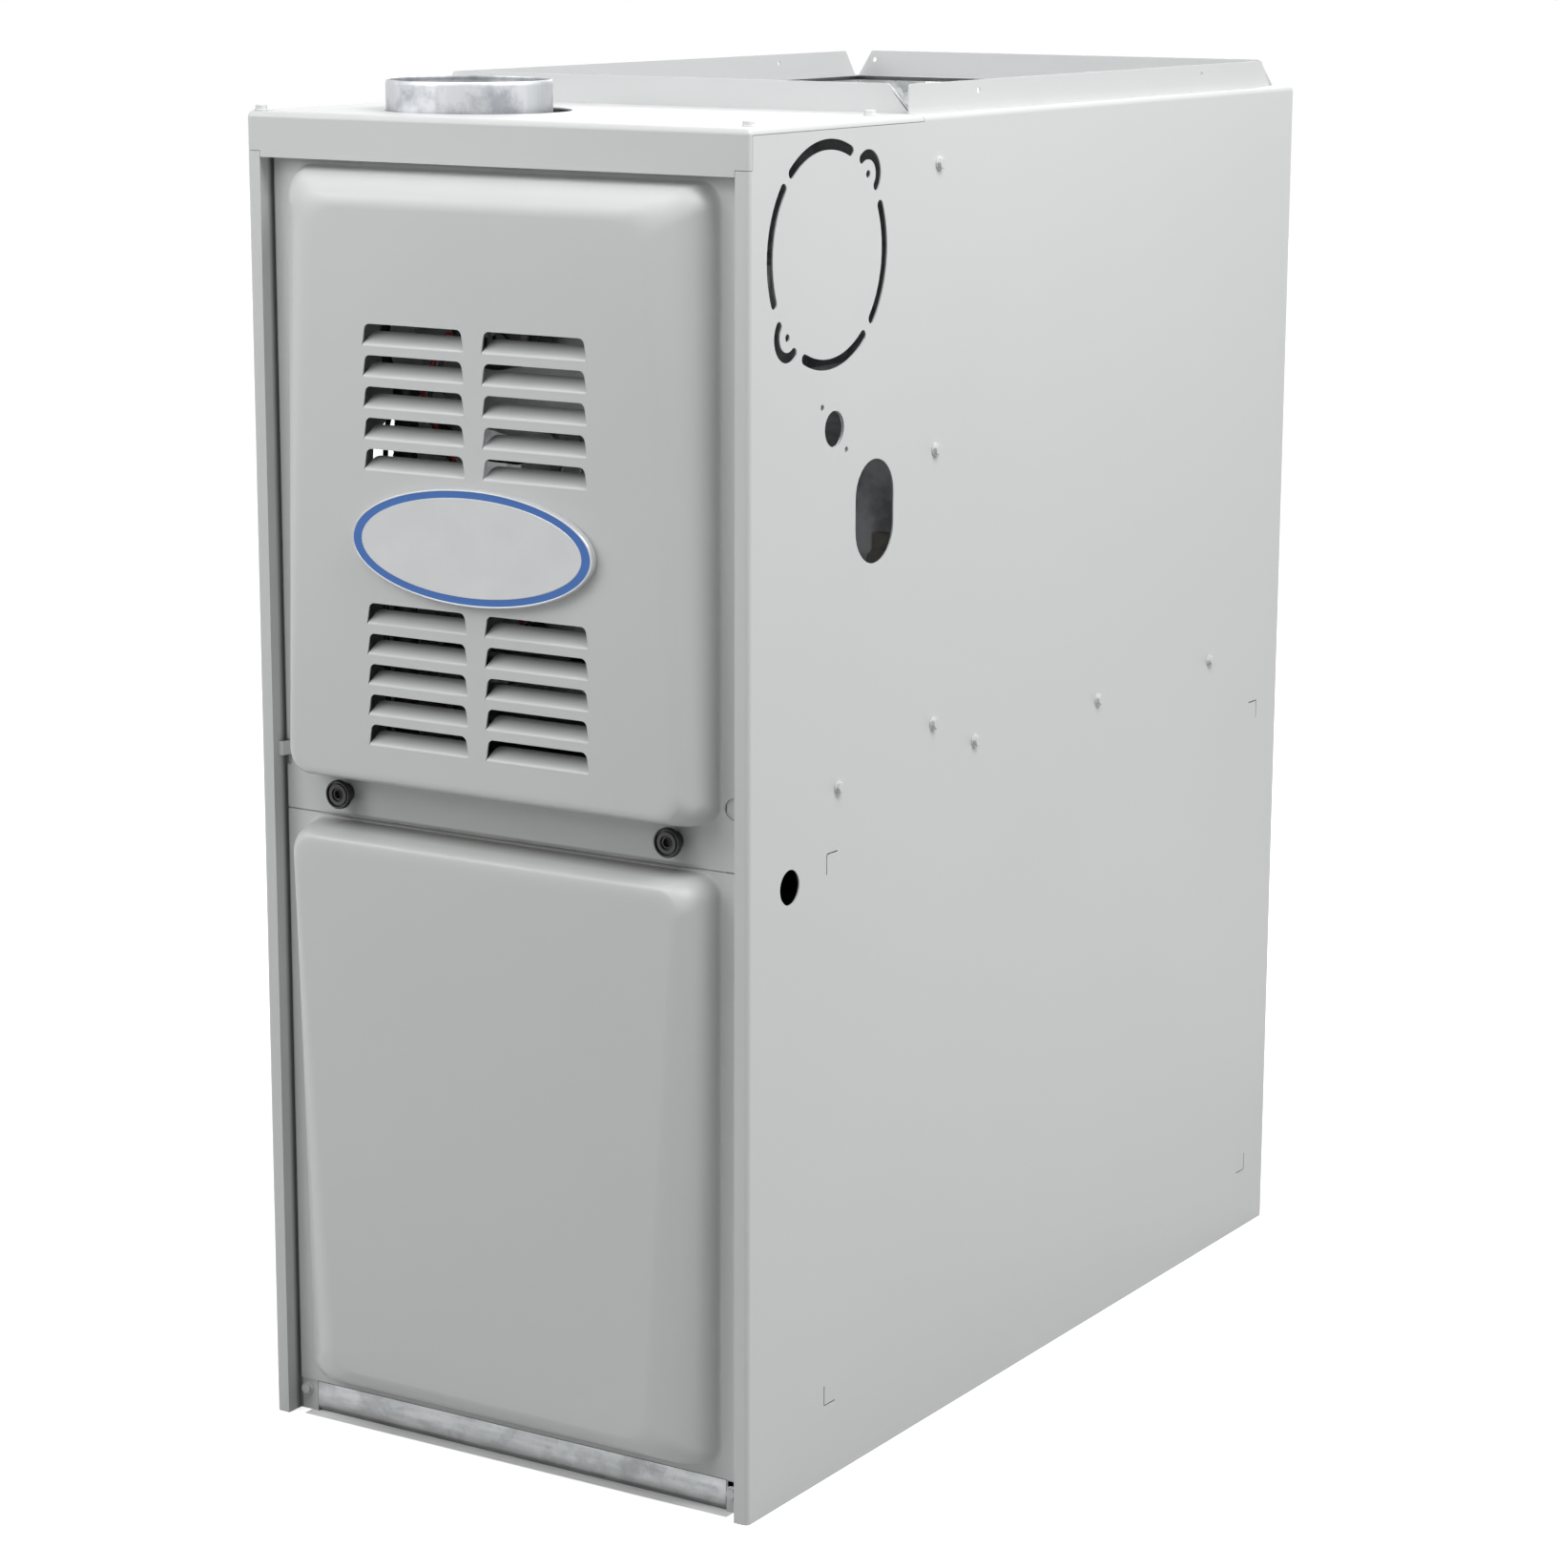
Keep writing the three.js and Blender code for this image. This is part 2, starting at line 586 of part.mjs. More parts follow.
function makeWrap() {
  const shell = cut(casingForm(0), casingForm(SHEET), box(-FAR, FAR, -FAR, FAR, -FAR, 0));
  const inner = LEDGE + SHEET;
  const jambY = DOOR_Y + SHEET + GAP;
  const flangeFrom = HEIGHT - TOP_R - GAP;
  const left = [
    box(STILE - SHEET, STILE, SHEET / 2, jambY + SHEET, 0, flangeFrom),
    box(STILE - SHEET, STILE + JAMB, jambY, jambY + SHEET, 0, flangeFrom),
  ];
  const right = [
    box(WIDTH - STILE, WIDTH - STILE + SHEET, SHEET / 2, jambY + SHEET, 0, flangeFrom),
    box(WIDTH - STILE - JAMB, WIDTH - STILE + SHEET, jambY, jambY + SHEET, 0, flangeFrom),
  ];
  const open = cut(
    shell,
    box(STILE, WIDTH - STILE, -FAR, EDGE_R, -FAR, FAR),
    box(inner, WIDTH - inner, 0, DEPTH - inner, HEIGHT - TOP_R, FAR),
  );
  const formed = cut(
    join(open, ...left, ...right),
    box(-FAR, FAR, -FAR, EDGE_R + GAP, HEIGHT - HEADER - GAP, FAR),
    box(-FAR, FAR, -FAR, SIDE_FLANGE_Y, flangeFrom, FAR),
  );
  return join(cut(formed, ...sideHoles()), ductFlanges());
}
piece('cabinet_wrap', makeWrap(), paint);

function makeTopPlate() {
  const shell = cut(casingForm(0), casingForm(SHEET));
  const cover = shell.intersect(box(-FAR, FAR, -FAR, SIDE_FLANGE_Y - GAP, HEIGHT - TOP_R, FAR));
  const front = shell.intersect(box(-FAR, FAR, -FAR, EDGE_R, HEIGHT - HEADER, FAR));
  const inner = LEDGE + SHEET + GAP;
  const tongue = box(inner, WIDTH - inner, SIDE_FLANGE_Y - SHEET, SUPPLY_Y, TOP, HEIGHT);
  const top = HEIGHT + DUCT_FLANGE;
  const flangeProfile = [
    [TOP, inner], [HEIGHT + SHEET, inner], [top, inner + FLANGE_CLIP],
    [top, WIDTH - inner - FLANGE_CLIP], [HEIGHT + SHEET, WIDTH - inner], [TOP, WIDTH - inner],
  ];
  const flange = prism('y', flangeProfile, SUPPLY_Y - SHEET, SUPPLY_Y);
  const lipEdge = STILE + GAP;
  const lipZ = HEIGHT - HEADER - HEADER_LIP;
  const drop = box(lipEdge, WIDTH - lipEdge, 0, SHEET, lipZ, HEIGHT - HEADER + SHEET);
  const lip = box(lipEdge, WIDTH - lipEdge, 0, DOOR_Y + SHEET, lipZ, lipZ + SHEET);
  return cut(
    join(cover, front, tongue, flange, drop, lip),
    rod('z', [VENT_X, VENT_Y], COLLAR_R + GAP, TOP - TOP_R, FAR, 32),
    rod('z', PLUG_HOLE, PLUG_HOLE_R, TOP - TOP_R, FAR, 14),
  );
}
piece('top_plate', makeTopPlate(), paint);

function makeFlueCollar() {
  const bottom = TOP - GAP - COLLAR_FOOT;
  const seat = TOP - GAP;
  const top = HEIGHT + COLLAR_UP;
  const inner = COLLAR_R - SHEET;
  const profile = [
    [inner, bottom], [COLLAR_R, bottom], [COLLAR_R, seat - SHEET], [COLLAR_R + COLLAR_SEAT, seat - SHEET],
    [COLLAR_R + COLLAR_SEAT, seat], [COLLAR_R, seat], [COLLAR_R, top], [inner, top], [inner, bottom],
  ];
  return turned('z', [0, 0, 0], profile, 24);
}
placed(piece('flue_collar', makeFlueCollar(), aluminised), VENT_X, VENT_Y, 0);

// ---------------------------------------------------------------- doors
// the raised panel's form between its foot and its face; a larger inset gives its inside
function bulge(foot, face, faceX, inset) {
  const depths = [[0, 0], [0.1, 0.06], [0.5, 0.49], [0.9, 0.91], [0.965, 0.98], [1, 1]];
  const rings = depths.map(([across, out]) => {
    const between = (a, b) => a + (b - a) * across;
    const z0 = between(foot[0], face[0]) + inset;
    const z1 = between(foot[1], face[1]) - inset;
    const low = between(BULGE_X, faceX[0]) + inset;
    const high = between(BULGE_X, faceX[1]) + inset;
    const outline = [[low, z0], [WIDTH - low, z0], [WIDTH - high, z1], [high, z1]];
    const y = DOOR_Y - BULGE * out + inset;
    const corner = between(FOOT_CORNER, FACE_CORNER) - inset;
    return rounded(outline, corner, 3).map(([x, z]) => [x, y, z]);
  });
  const base = rings[0].map(([x, , z]) => [x, DOOR_Y + 2 * SHEET, z]);
  return loft(inset > 0 ? [base, ...rings] : rings);
}

function doorPlate(z0, z1) {
  const side = STILE + DOOR_GAP - GAP;
  return box(side, WIDTH - side, DOOR_Y, DOOR_Y + SHEET, z0, z1);
}

function makeDoor(bottom, top, foot, face, faceX) {
  return cut(
    join(doorPlate(bottom, top), bulge(foot, face, faceX, 0)),
    bulge(foot, face, faceX, SHEET),
  );
}

function louvreBank(x, highest) {
  const tools = [];
  const blades = [];
  const front = DOOR_Y - BULGE;
  for (let row = 0; row < LOUVRE_ROWS; row += 1) {
    const top = highest - row * LOUVRE_PITCH;
    const bottom = top - LOUVRE_H;
    const taper = LOUVRE_H / 6;
    const corners = [[bottom, x], [top, x + taper], [top, x + LOUVRE_W - taper], [bottom, x + LOUVRE_W]];
    const outline = rounded(corners, [0, LOUVRE_CORNER, LOUVRE_CORNER, 0], 2);
    tools.push(prism('y', outline, front - SHEET, front + 2 * SHEET));
    const lean = [
      [front, bottom - SHEET], [front, bottom], [front + LOUVRE_IN, top - LOUVRE_SLIT],
      [front + LOUVRE_IN + SHEET, top - LOUVRE_SLIT - SHEET], [front + SHEET, bottom - SHEET],
    ];
    blades.push(prism('x', lean, x + SHEET / 2, x + LOUVRE_W - SHEET / 2));
  }
  return { tools, blades };
}

const KNOB_XS = [KNOB_X, WIDTH - KNOB_X];

function makeUpperDoor() {
  const lip = HEIGHT - HEADER - HEADER_LIP;
  const door = makeDoor(SEAM + DOOR_GAP / 2, lip - DOOR_GAP, UPPER_FOOT, UPPER_FACE, UPPER_FACE_X);
  const banks = LOUVRE_X.flatMap((x) => LOUVRE_TOPS.map((top) => louvreBank(x, top)));
  const slotted = cut(door, ...banks.flatMap((bank) => bank.tools));
  const leaved = join(slotted, ...banks.flatMap((bank) => bank.blades));
  const [holeX, holeZ] = RIM_HOLE;
  const [notchW, notchH] = LATCH_NOTCH;
  return cut(
    leaved,
    ...KNOB_XS.map((x) => rod('y', [x, KNOB_Z], STUD_R + STUD_GAP, DOOR_Y - SHEET, DOOR_Y + 2 * SHEET, 12)),
    rod('y', [holeX, holeZ], RIM_HOLE_R, DOOR_Y - SHEET, DOOR_Y + 2 * SHEET, 14),
    box(0, STILE + DOOR_GAP + notchW, DOOR_Y - SHEET, DOOR_Y + 2 * SHEET, holeZ - notchH, holeZ),
  );
}
piece('upper_door', makeUpperDoor(), paint);

const makeLowerDoor = () => makeDoor(DOOR_BOTTOM, SEAM - DOOR_GAP / 2, LOWER_FOOT, LOWER_FACE, LOWER_FACE_X);
piece('lower_door', makeLowerDoor(), paint);

function makeBadge() {
  const outline = (shrink) => Array.from({ length: 32 }, (_, i) => {
    const a = (i * 2 * Math.PI) / 32;
    return [(BADGE_Z / 2 - shrink) * Math.sin(a), (BADGE_X / 2 - shrink) * Math.cos(a)];
  });
  const ring = (shrink, y) => outline(shrink).map(([z, x]) => [x, y, z]);
  const back = -GAP;
  const front = -GAP - BADGE_T;
  return loft([ring(0, back), ring(0, front + BADGE_EDGE), ring(BADGE_EDGE, front)]);
}
placed(piece('nameplate', makeBadge(), badgeSilver), WIDTH / 2, DOOR_Y - BULGE, BADGE_AT);

function makeKnob() {
  const front = DOOR_Y - KNOB_OUT;
  const seat = DOOR_Y - GAP;
  const recess = front + KNOB_RECESS;
  const rim = KNOB_R - KNOB_RIM;
  return turned('y', [0, 0, 0], [
    [0, seat], [KNOB_R - 0.5, seat], [KNOB_R, seat - 2],
    [KNOB_R, front + 1], [KNOB_R - 1, front], [rim + 0.5, front], [rim, recess],
    [KNOB_BOSS_R + 1.5, recess], [KNOB_BOSS_R, front + 1], [KNOB_SOCKET_R, front + 1],
    [KNOB_SOCKET_R, recess + 1], [0, recess + 1],
  ], 14);
}

// the stud goes through the door's rim and the shelf's front flange
function makeStud() {
  const seat = DOOR_Y;
  const tip = DOOR_Y + 2 * SHEET + STUD_OUT;
  return turned('y', [0, 0, 0], [
    [0, seat], [STUD_R, seat], [STUD_R, tip - STUD_TIP], [STUD_R - STUD_TIP, tip], [0, tip],
  ], 12);
}
KNOB_XS.forEach((x, i) => {
  const side = i ? 'right' : 'left';
  placed(piece(`door_knob_${side}`, makeKnob(), blackPlastic), x, 0, KNOB_Z);
  placed(piece(`door_knob_stud_${side}`, makeStud(), galvanised), x, 0, KNOB_Z);
});

function makeDoorLiner() {
  const face = DOOR_Y - BULGE + SHEET + GAP;
  const inset = FACE_CORNER / 2;
  const side = Math.max(...LOWER_FACE_X) + GAP;
  const outline = rectangle(LOWER_FACE[0] + inset, LOWER_FACE[1] - inset, side, WIDTH - side);
  return prism('y', rounded(outline, FACE_CORNER / 2), face, face + LINER_T);
}
piece('lower_door_liner', makeDoorLiner(), darkFelt);

// ---------------------------------------------------------------- inner sheets
const INSIDE = SHEET + GAP; // clear of the casing's sides and back
const JAMB_FRONT = DOOR_Y + SHEET + GAP;
const BETWEEN_JAMBS = STILE + JAMB + GAP;
const BEHIND_JAMBS = JAMB_FRONT + SHEET + GAP;
const VESTIBULE_Y = SUPPLY_Y - SHEET;
const CELL_XS = Array.from({ length: CELL_COUNT }, (_, i) => WIDTH / 2 + (i - (CELL_COUNT - 1) / 2) * CELL_PITCH);

// a block that fits against the casing's sides and back, with the casing's bends at its rear corners
function fitted(front, low, high, inset = INSIDE) {
  const plan = rectangle(inset, WIDTH - inset, front, DEPTH - inset);
  return prism('z', rounded(plan, [0, 0, EDGE_R, EDGE_R], 2), low, high);
}

function makeBasePan() {
  const floor = fitted(BEHIND_JAMBS, 0, SHEET);
  const strip = box(BETWEEN_JAMBS, WIDTH - BETWEEN_JAMBS, JAMB_FRONT, JAMB_FRONT + SHEET, 0, BASE_H);
  const toe = box(BETWEEN_JAMBS, WIDTH - BETWEEN_JAMBS, JAMB_FRONT, BEHIND_JAMBS + SHEET, 0, SHEET);
  const [y0, y1] = RETURN_Y;
  const lip = hollowBox(
    [RETURN_X, WIDTH - RETURN_X, y0, y1, 0, RETURN_LIP],
    [RETURN_X + SHEET, WIDTH - RETURN_X - SHEET, y0 + SHEET, y1 - SHEET, -FAR, FAR],
  );
  const opening = box(RETURN_X + SHEET / 2, WIDTH - RETURN_X - SHEET / 2, y0 + SHEET / 2, y1 - SHEET / 2, -FAR, FAR);
  return join(cut(join(floor, toe), opening), strip, lip);
}
piece('base_pan', makeBasePan(), galvanised);

// the blower's outlet in front to back order, and its sides
const BLOWER_TONGUE = THREE.MathUtils.degToRad(BLOWER_CUTOFF);
const BLOWER_OUT_Y = [BLOWER_Y - BLOWER_R[1], BLOWER_Y + BLOWER_R[0] * Math.cos(BLOWER_TONGUE)];
const BLOWER_SIDES = [(WIDTH - BLOWER_W) / 2, (WIDTH + BLOWER_W) / 2];

function makeDeck() {
  const under = DECK_Z - SHEET;
  const shelf = fitted(BEHIND_JAMBS, under, DECK_Z);
  const nose = box(BETWEEN_JAMBS, WIDTH - BETWEEN_JAMBS, JAMB_FRONT, BEHIND_JAMBS + SHEET, under, DECK_Z);
  const front = box(BETWEEN_JAMBS, WIDTH - BETWEEN_JAMBS, JAMB_FRONT, JAMB_FRONT + SHEET, DECK_Z - DECK_DROP, DECK_Z);
  const through = (x, z, r) => rod('y', [x, z], r, 0, BEHIND_JAMBS + SHEET, 12);
  return cut(
    join(shelf, nose, front),
    box(BLOWER_SIDES[0] + SHEET, BLOWER_SIDES[1] - SHEET, BLOWER_OUT_Y[0] + SHEET, BLOWER_OUT_Y[1] - SHEET, 0, FAR),
    rod('z', HARNESS_AT, HOSE_R + 3, 0, FAR, 12),
    ...KNOB_XS.map((x) => through(x, KNOB_Z, STUD_R + STUD_GAP)),
    through(DOOR_SWITCH_X, PLUNGER_Z, PLUNGER_R + STUD_GAP),
  );
}
piece('blower_deck', makeDeck(), galvanised);

function makeVestibulePanel() {
  const [low, high] = [DECK_Z + GAP, TOP - GAP];
  const shoulder = INSIDE + TOP_R;
  const outline = [
    [low, INSIDE], [high - TOP_R, INSIDE], [high, shoulder],
    [high, WIDTH - shoulder], [high - TOP_R, WIDTH - INSIDE], [low, WIDTH - INSIDE],
  ];
  const panel = prism('y', outline, VESTIBULE_Y, SUPPLY_Y);
  const foot = box(INSIDE, WIDTH - INSIDE, VESTIBULE_Y - LEDGE, SUPPLY_Y, DECK_Z + GAP, DECK_Z + GAP + SHEET);
  const ports = CELL_XS.flatMap((x) => [BURNER_Z, OUTLET_Z].map(
    (z) => rod('y', [x, z], CELL_T / 2 - CELL_PRESS, 0, DEPTH / 2, 16),
  ));
  return cut(join(panel, foot), ...ports);
}
piece('vestibule_panel', makeVestibulePanel(), aluminised);

// a U of insulation against the sides and back, between two heights
function makeLiner(front, low, high) {
  const t = INSIDE + LINER_T;
  return cut(fitted(front, low, high), box(t, WIDTH - t, -FAR, DEPTH - t, -FAR, FAR));
}
piece('heat_section_liner', makeLiner(SUPPLY_Y + GAP, DECK_Z + GAP, HEIGHT - TOP_R), foil);
piece('blower_section_liner', makeLiner(BLOWER_LINER_Y, SHEET + GAP, DECK_Z - SHEET - GAP), darkFelt);

// ---------------------------------------------------------------- heat exchanger
// each cell is one flat pressed tube that winds up from the burner to the collector
function serpentine(start, halfHeight) {
  const line = [[start, BURNER_Z]];
  for (let pass = 0; pass < PASS_COUNT - 1; pass += 1) {
    const y = pass % 2 ? CELL_FRONT : CELL_BACK;
    line.push([y, BURNER_Z + pass * PASS_PITCH], [y, BURNER_Z + (pass + 1) * PASS_PITCH]);
  }
  line.push([start, OUTLET_Z]);
  return band(rounded(line, PASS_PITCH / 2 - 0.1, 3, false), halfHeight, halfHeight);
}

function makeCell() {
  const front = SUPPLY_Y + GAP;
  const outer = prism('x', serpentine(front, PASS_H / 2), -CELL_T / 2, CELL_T / 2, CELL_PRESS);
  const hollow = CELL_T / 2 - CELL_WALL;
  const inner = prism('x', serpentine(front - CELL_T, PASS_H / 2 - CELL_PRESS), -hollow, hollow);
  return cut(outer, inner);
}
CELL_XS.forEach((x, i) => placed(piece(`heat_exchanger_cell_${i + 1}`, makeCell(), aluminised), x, 0, 0));

function makeRest() {
  const side = CELL_XS[0] - CELL_T / 2;
  const top = BURNER_Z - PASS_H / 2 - GAP;
  const outline = [
    [REST_Y, DECK_Z + GAP], [REST_Y, top], [REST_Y + REST_DEPTH, top], [REST_Y + REST_DEPTH, top - SHEET],
    [REST_Y + SHEET, top - SHEET], [REST_Y + SHEET, DECK_Z + GAP + SHEET],
    [REST_Y + REST_DEPTH, DECK_Z + GAP + SHEET], [REST_Y + REST_DEPTH, DECK_Z + GAP],
  ];
  return prism('x', outline, side, WIDTH - side);
}
piece('heat_exchanger_rest', makeRest(), galvanised);

// ---------------------------------------------------------------- flue side
const INDUCER_Y = [VENT_Y - INDUCER_DEPTH / 2, VENT_Y + INDUCER_DEPTH / 2];

function makeCollector() {
  const side = CELL_XS[0] - COLLECTOR_SIDE;
  const [low, high] = [OUTLET_Z - COLLECTOR_H / 2, OUTLET_Z + COLLECTOR_H / 2];
  const front = INDUCER_Y[1] + GAP;
  const back = VESTIBULE_Y - GAP;
  const tray = hollowBox(
    [side, WIDTH - side, front, back, low, high],
    [side + SHEET, WIDTH - side - SHEET, front + SHEET, FAR, low + SHEET, high - SHEET],
  );
  return cut(tray, rod('y', [INDUCER_X, OUTLET_Z], INDUCER_INLET_R, 0, front + 2 * SHEET, 16));
}
piece('collector_box', makeCollector(), aluminised);

// a blower scroll's outline: a spiral from the cut-off to the outlet wall, and the outlet's top
function scroll([cu, cv], [small, large], cutoff, top, outletEdge, inset, steps) {
  const sweep = cutoff + 180;
  const points = Array.from({ length: steps + 1 }, (_, i) => {
    const degrees = cutoff - (sweep * i) / steps;
    const r = small + ((large - small) * i) / steps - inset;
    return arc([cu, cv], r, degrees, degrees, 1)[0];
  });
  return [...points, [cu - large + inset, top], [outletEdge - inset, top]];
}

function makeInducerHousing() {
  const centre = [INDUCER_X, OUTLET_Z];
  const left = INDUCER_X - SCROLL_R[1];
  const outline = (inset, top) => scroll(centre, SCROLL_R, INDUCER_CUTOFF, top, left + OUTLET_W, inset, 14)
    .map(([x, z]) => [z, x]);
  const [front, back] = INDUCER_Y;
  const shell = cut(
    prism('y', outline(0, OUTLET_TOP), front, back),
    prism('y', outline(SHEET, FAR), front + SHEET, back - SHEET),
  );
  const portAt = [VENT_Y, OUTLET_Z + PORT_UP];
  const port = rod('x', portAt, HOSE_R - SHEET, left - PORT_L, left + SHEET / 2, 8);
  const portBore = rod('x', portAt, HOSE_R - 2 * SHEET, left - PORT_L - SHEET, left + 2 * SHEET, 8);
  return cut(
    join(shell, port),
    portBore,
    rod('y', centre, INDUCER_INLET_R, VENT_Y, FAR, 16),
    rod('y', centre, INDUCER_SHAFT_R + 1, 0, VENT_Y, 12),
  );
}
piece('inducer_housing', makeInducerHousing(), castMetal);

function makeInducerWheel() {
  const front = INDUCER_Y[0] + INDUCER_WHEEL_ROOM[0];
  const back = INDUCER_Y[1] - INDUCER_WHEEL_ROOM[1];
  const disc = front + 1.5 * SHEET;
  const hub = turned('y', [0, 0, 0], [
    [0, front - INDUCER_SHAFT_L], [INDUCER_SHAFT_R, front - INDUCER_SHAFT_L], [INDUCER_SHAFT_R, front],
    [INDUCER_WHEEL_R, front], [INDUCER_WHEEL_R, disc], [INDUCER_BOSS_R, disc],
    [INDUCER_BOSS_R, back], [0, back],
  ], 24);
  const half = INDUCER_BLADE_T / 2;
  const blades = Array.from({ length: INDUCER_BLADES }, (_, i) => box(
    INDUCER_BOSS_R - half, INDUCER_WHEEL_R - half, disc - half, back, -half, half,
  ).rotate([0, (i * 360) / INDUCER_BLADES, 0]));
  return join(hub, ...blades);
}
placed(piece('inducer_wheel', makeInducerWheel(), galvanised), INDUCER_X, 0, OUTLET_Z);

function makeInducerMotor() {
  const back = INDUCER_Y[0] - GAP;
  const front = back - INDUCER_MOTOR_L;
  const bore = INDUCER_SHAFT_R + GAP;
  const cap = INDUCER_MOTOR_END;
  const foot = INDUCER_MOTOR_R * 0.75;
  return turned('y', [0, 0, 0], [
    [0, front], [INDUCER_MOTOR_R - cap, front], [INDUCER_MOTOR_R, front + cap], [INDUCER_MOTOR_R, back - 2 * cap],
    [foot, back - cap], [foot, back], [bore, back], [bore, front + cap], [0, front + cap],
  ], 20);
}
placed(piece('inducer_motor', makeInducerMotor(), motorBlack), INDUCER_X, 0, OUTLET_Z);

function makeTransition() {
  const low = OUTLET_TOP + GAP;
  const high = TOP - 2 * GAP - COLLAR_FOOT;
  const left = INDUCER_X - SCROLL_R[1] - VENT_X;
  const ring = (wall, share, z) => circle([0, 0], 1, 16).map(([c, s]) => {
    const halfX = OUTLET_W / 2 - wall;
    const halfY = INDUCER_DEPTH / 2 - wall;
    const reach = Math.min(halfX / Math.abs(c), halfY / Math.abs(s));
    const x = c * reach * (1 - share) + c * (COLLAR_R - wall) * share;
    const shift = (left + OUTLET_W / 2) * (1 - share);
    return [x + shift, s * reach * (1 - share) + s * (COLLAR_R - wall) * share, z];
  });
  const [foot, neck] = TRANSITION_NECK;
  const rings = (wall) => [
    ring(wall, 0, low), ring(wall, 0, low + foot), ring(wall, 1, high - neck), ring(wall, 1, high),
  ];
  const inner = rings(SHEET);
  const ends = (list) => [
    list[0].map(([x, y]) => [x, y, low - 1]), ...list, list[3].map(([x, y]) => [x, y, high + 1]),
  ];
  return cut(loft(rings(0)), loft(ends(inner)));
}
placed(piece('flue_transition', makeTransition(), aluminised), VENT_X, VENT_Y, 0);

// ---------------------------------------------------------------- burners and gas train
const RACK_X = CELL_XS[0] - RACK_SIDE;
const RACK_Z = BURNER_Z - RACK_H / 2;
const BETWEEN_BURNERS = [(CELL_XS[0] + CELL_XS[1]) / 2, (CELL_XS[1] + CELL_XS[2]) / 2];

function makeRack() {
  const back = VESTIBULE_Y - GAP;
  const plate = box(RACK_X, WIDTH - RACK_X, RACK_Y, RACK_Y + SHEET, RACK_Z, RACK_Z + RACK_H);
  const shelf = box(RACK_X, WIDTH - RACK_X, RACK_Y, back, RACK_Z, RACK_Z + SHEET);
  const left = box(RACK_X, RACK_X + SHEET, RACK_Y, back, RACK_Z, RACK_Z + RACK_H);
  const right = box(WIDTH - RACK_X - SHEET, WIDTH - RACK_X, RACK_Y, back, RACK_Z, RACK_Z + RACK_H);
  const holes = CELL_XS.map((x) => rod('y', [x, BURNER_Z], BURNER_R[1] + 2.6, 0, RACK_Y + 2 * SHEET, 16));
  const seat = BURNER_Z - MANIFOLD_R - GAP;
  const saddles = BETWEEN_BURNERS.map(
    (x) => box(x - MANIFOLD_R, x + MANIFOLD_R, MANIFOLD_Y - MANIFOLD_R, RACK_Y + SHEET, seat - 2 * SHEET, seat),
  );
  return cut(join(plate, shelf, left, right, ...saddles), ...holes);
}
piece('burner_rack', makeRack(), aluminised);

function makeBurner() {
  const [mouth, throat, head] = BURNER_R;
  const [front, waist, swell] = BURNER_Y;
  const back = VESTIBULE_Y - BURNER_HEAD_GAP;
  const flange = RACK_Y + SHEET + GAP;
  const wall = SHEET;
  return turned('y', [0, 0, 0], [
    [mouth - wall, front], [mouth, front], [throat + 2, RACK_Y - 2], [throat + 2, flange],
    [throat + 4, flange], [throat + 4, flange + 2], [throat, flange + 3], [throat, waist],
    [head, swell], [head, back], [head - wall, back], [head - wall, swell], [throat - wall, waist],
    [throat - wall, flange], [mouth - wall, front],
  ], 12);
}
CELL_XS.forEach((x, i) => placed(piece(`burner_${i + 1}`, makeBurner(), aluminised), x, 0, BURNER_Z));

function makeManifold() {
  const left = CELL_XS[0] - 2 * MANIFOLD_R;
  const right = VALVE_X + MANIFOLD_R;
  const riser = [VALVE_X, MANIFOLD_Y];
  const tip = BURNER_Y[0] - GAP;
  const outside = join(
    rod('x', [MANIFOLD_Y, BURNER_Z], MANIFOLD_R, left, right, 12),
    rod('z', riser, MANIFOLD_R, BURNER_Z, VALVE_Z[0] - GAP, 12),
    ...CELL_XS.map((x) => rod('y', [x, BURNER_Z], ORIFICE_R, MANIFOLD_Y, tip, 8)),
  );
  const bore = MANIFOLD_R - MANIFOLD_WALL;
  return cut(
    outside,
    rod('x', [MANIFOLD_Y, BURNER_Z], bore, left + MANIFOLD_WALL, VALVE_X, 12),
    rod('z', riser, bore, BURNER_Z, FAR, 12),
    ...CELL_XS.map((x) => rod('y', [x, BURNER_Z], 1, MANIFOLD_Y, FAR, 6)),
  );
}
piece('gas_manifold', makeManifold(), motorBlack);

const VALVE_FRONT = MANIFOLD_Y - VALVE_W / 2;
const VALVE_KNOB_AT = [VALVE_X - VALVE_W / 5, VALVE_Z[0] + VALVE_KNOB_UP];

function makeGasValve() {
  const [low, high] = VALVE_Z;
  const back = MANIFOLD_Y + VALVE_W / 2;
  const [left, right] = [VALVE_X - VALVE_W / 2, VALVE_X + VALVE_W / 2];
  const casting = prism('z', rounded(rectangle(left, right, VALVE_FRONT, back), 5, 2), low, high - VALVE_BLOCK_DROP);
  const coil = prism('z', rounded(rectangle(left + 6, right - 8, VALVE_FRONT + 6, back - 10), 8, 2), low, high);
  const inletAt = [VALVE_X, GAS_HOLE[1] - VALVE_INLET_DROP];
  const inlet = rod('y', inletAt, VALVE_INLET_R, MANIFOLD_Y, back + VALVE_INLET_L, 8);
  const regulatorAt = [VALVE_X + REGULATOR_AT[0], low + REGULATOR_AT[1]];
  const regulator = rod('y', regulatorAt, REGULATOR_R, VALVE_FRONT - GRIP[1], MANIFOLD_Y, 12);
  return cut(
    join(casting, coil, inlet, regulator),
    rod('y', inletAt, VALVE_INLET_R - 5, back - 6, FAR, 12),
    rod('z', [VALVE_X, MANIFOLD_Y], MANIFOLD_R - MANIFOLD_WALL, low - 1, low + 10, 12),
    rod('y', VALVE_KNOB_AT, PLUNGER_R + STUD_GAP, 0, VALVE_FRONT + VALVE_STEM_L + SHEET, 8),
  );
}
piece('gas_valve', makeGasValve(), castMetal);

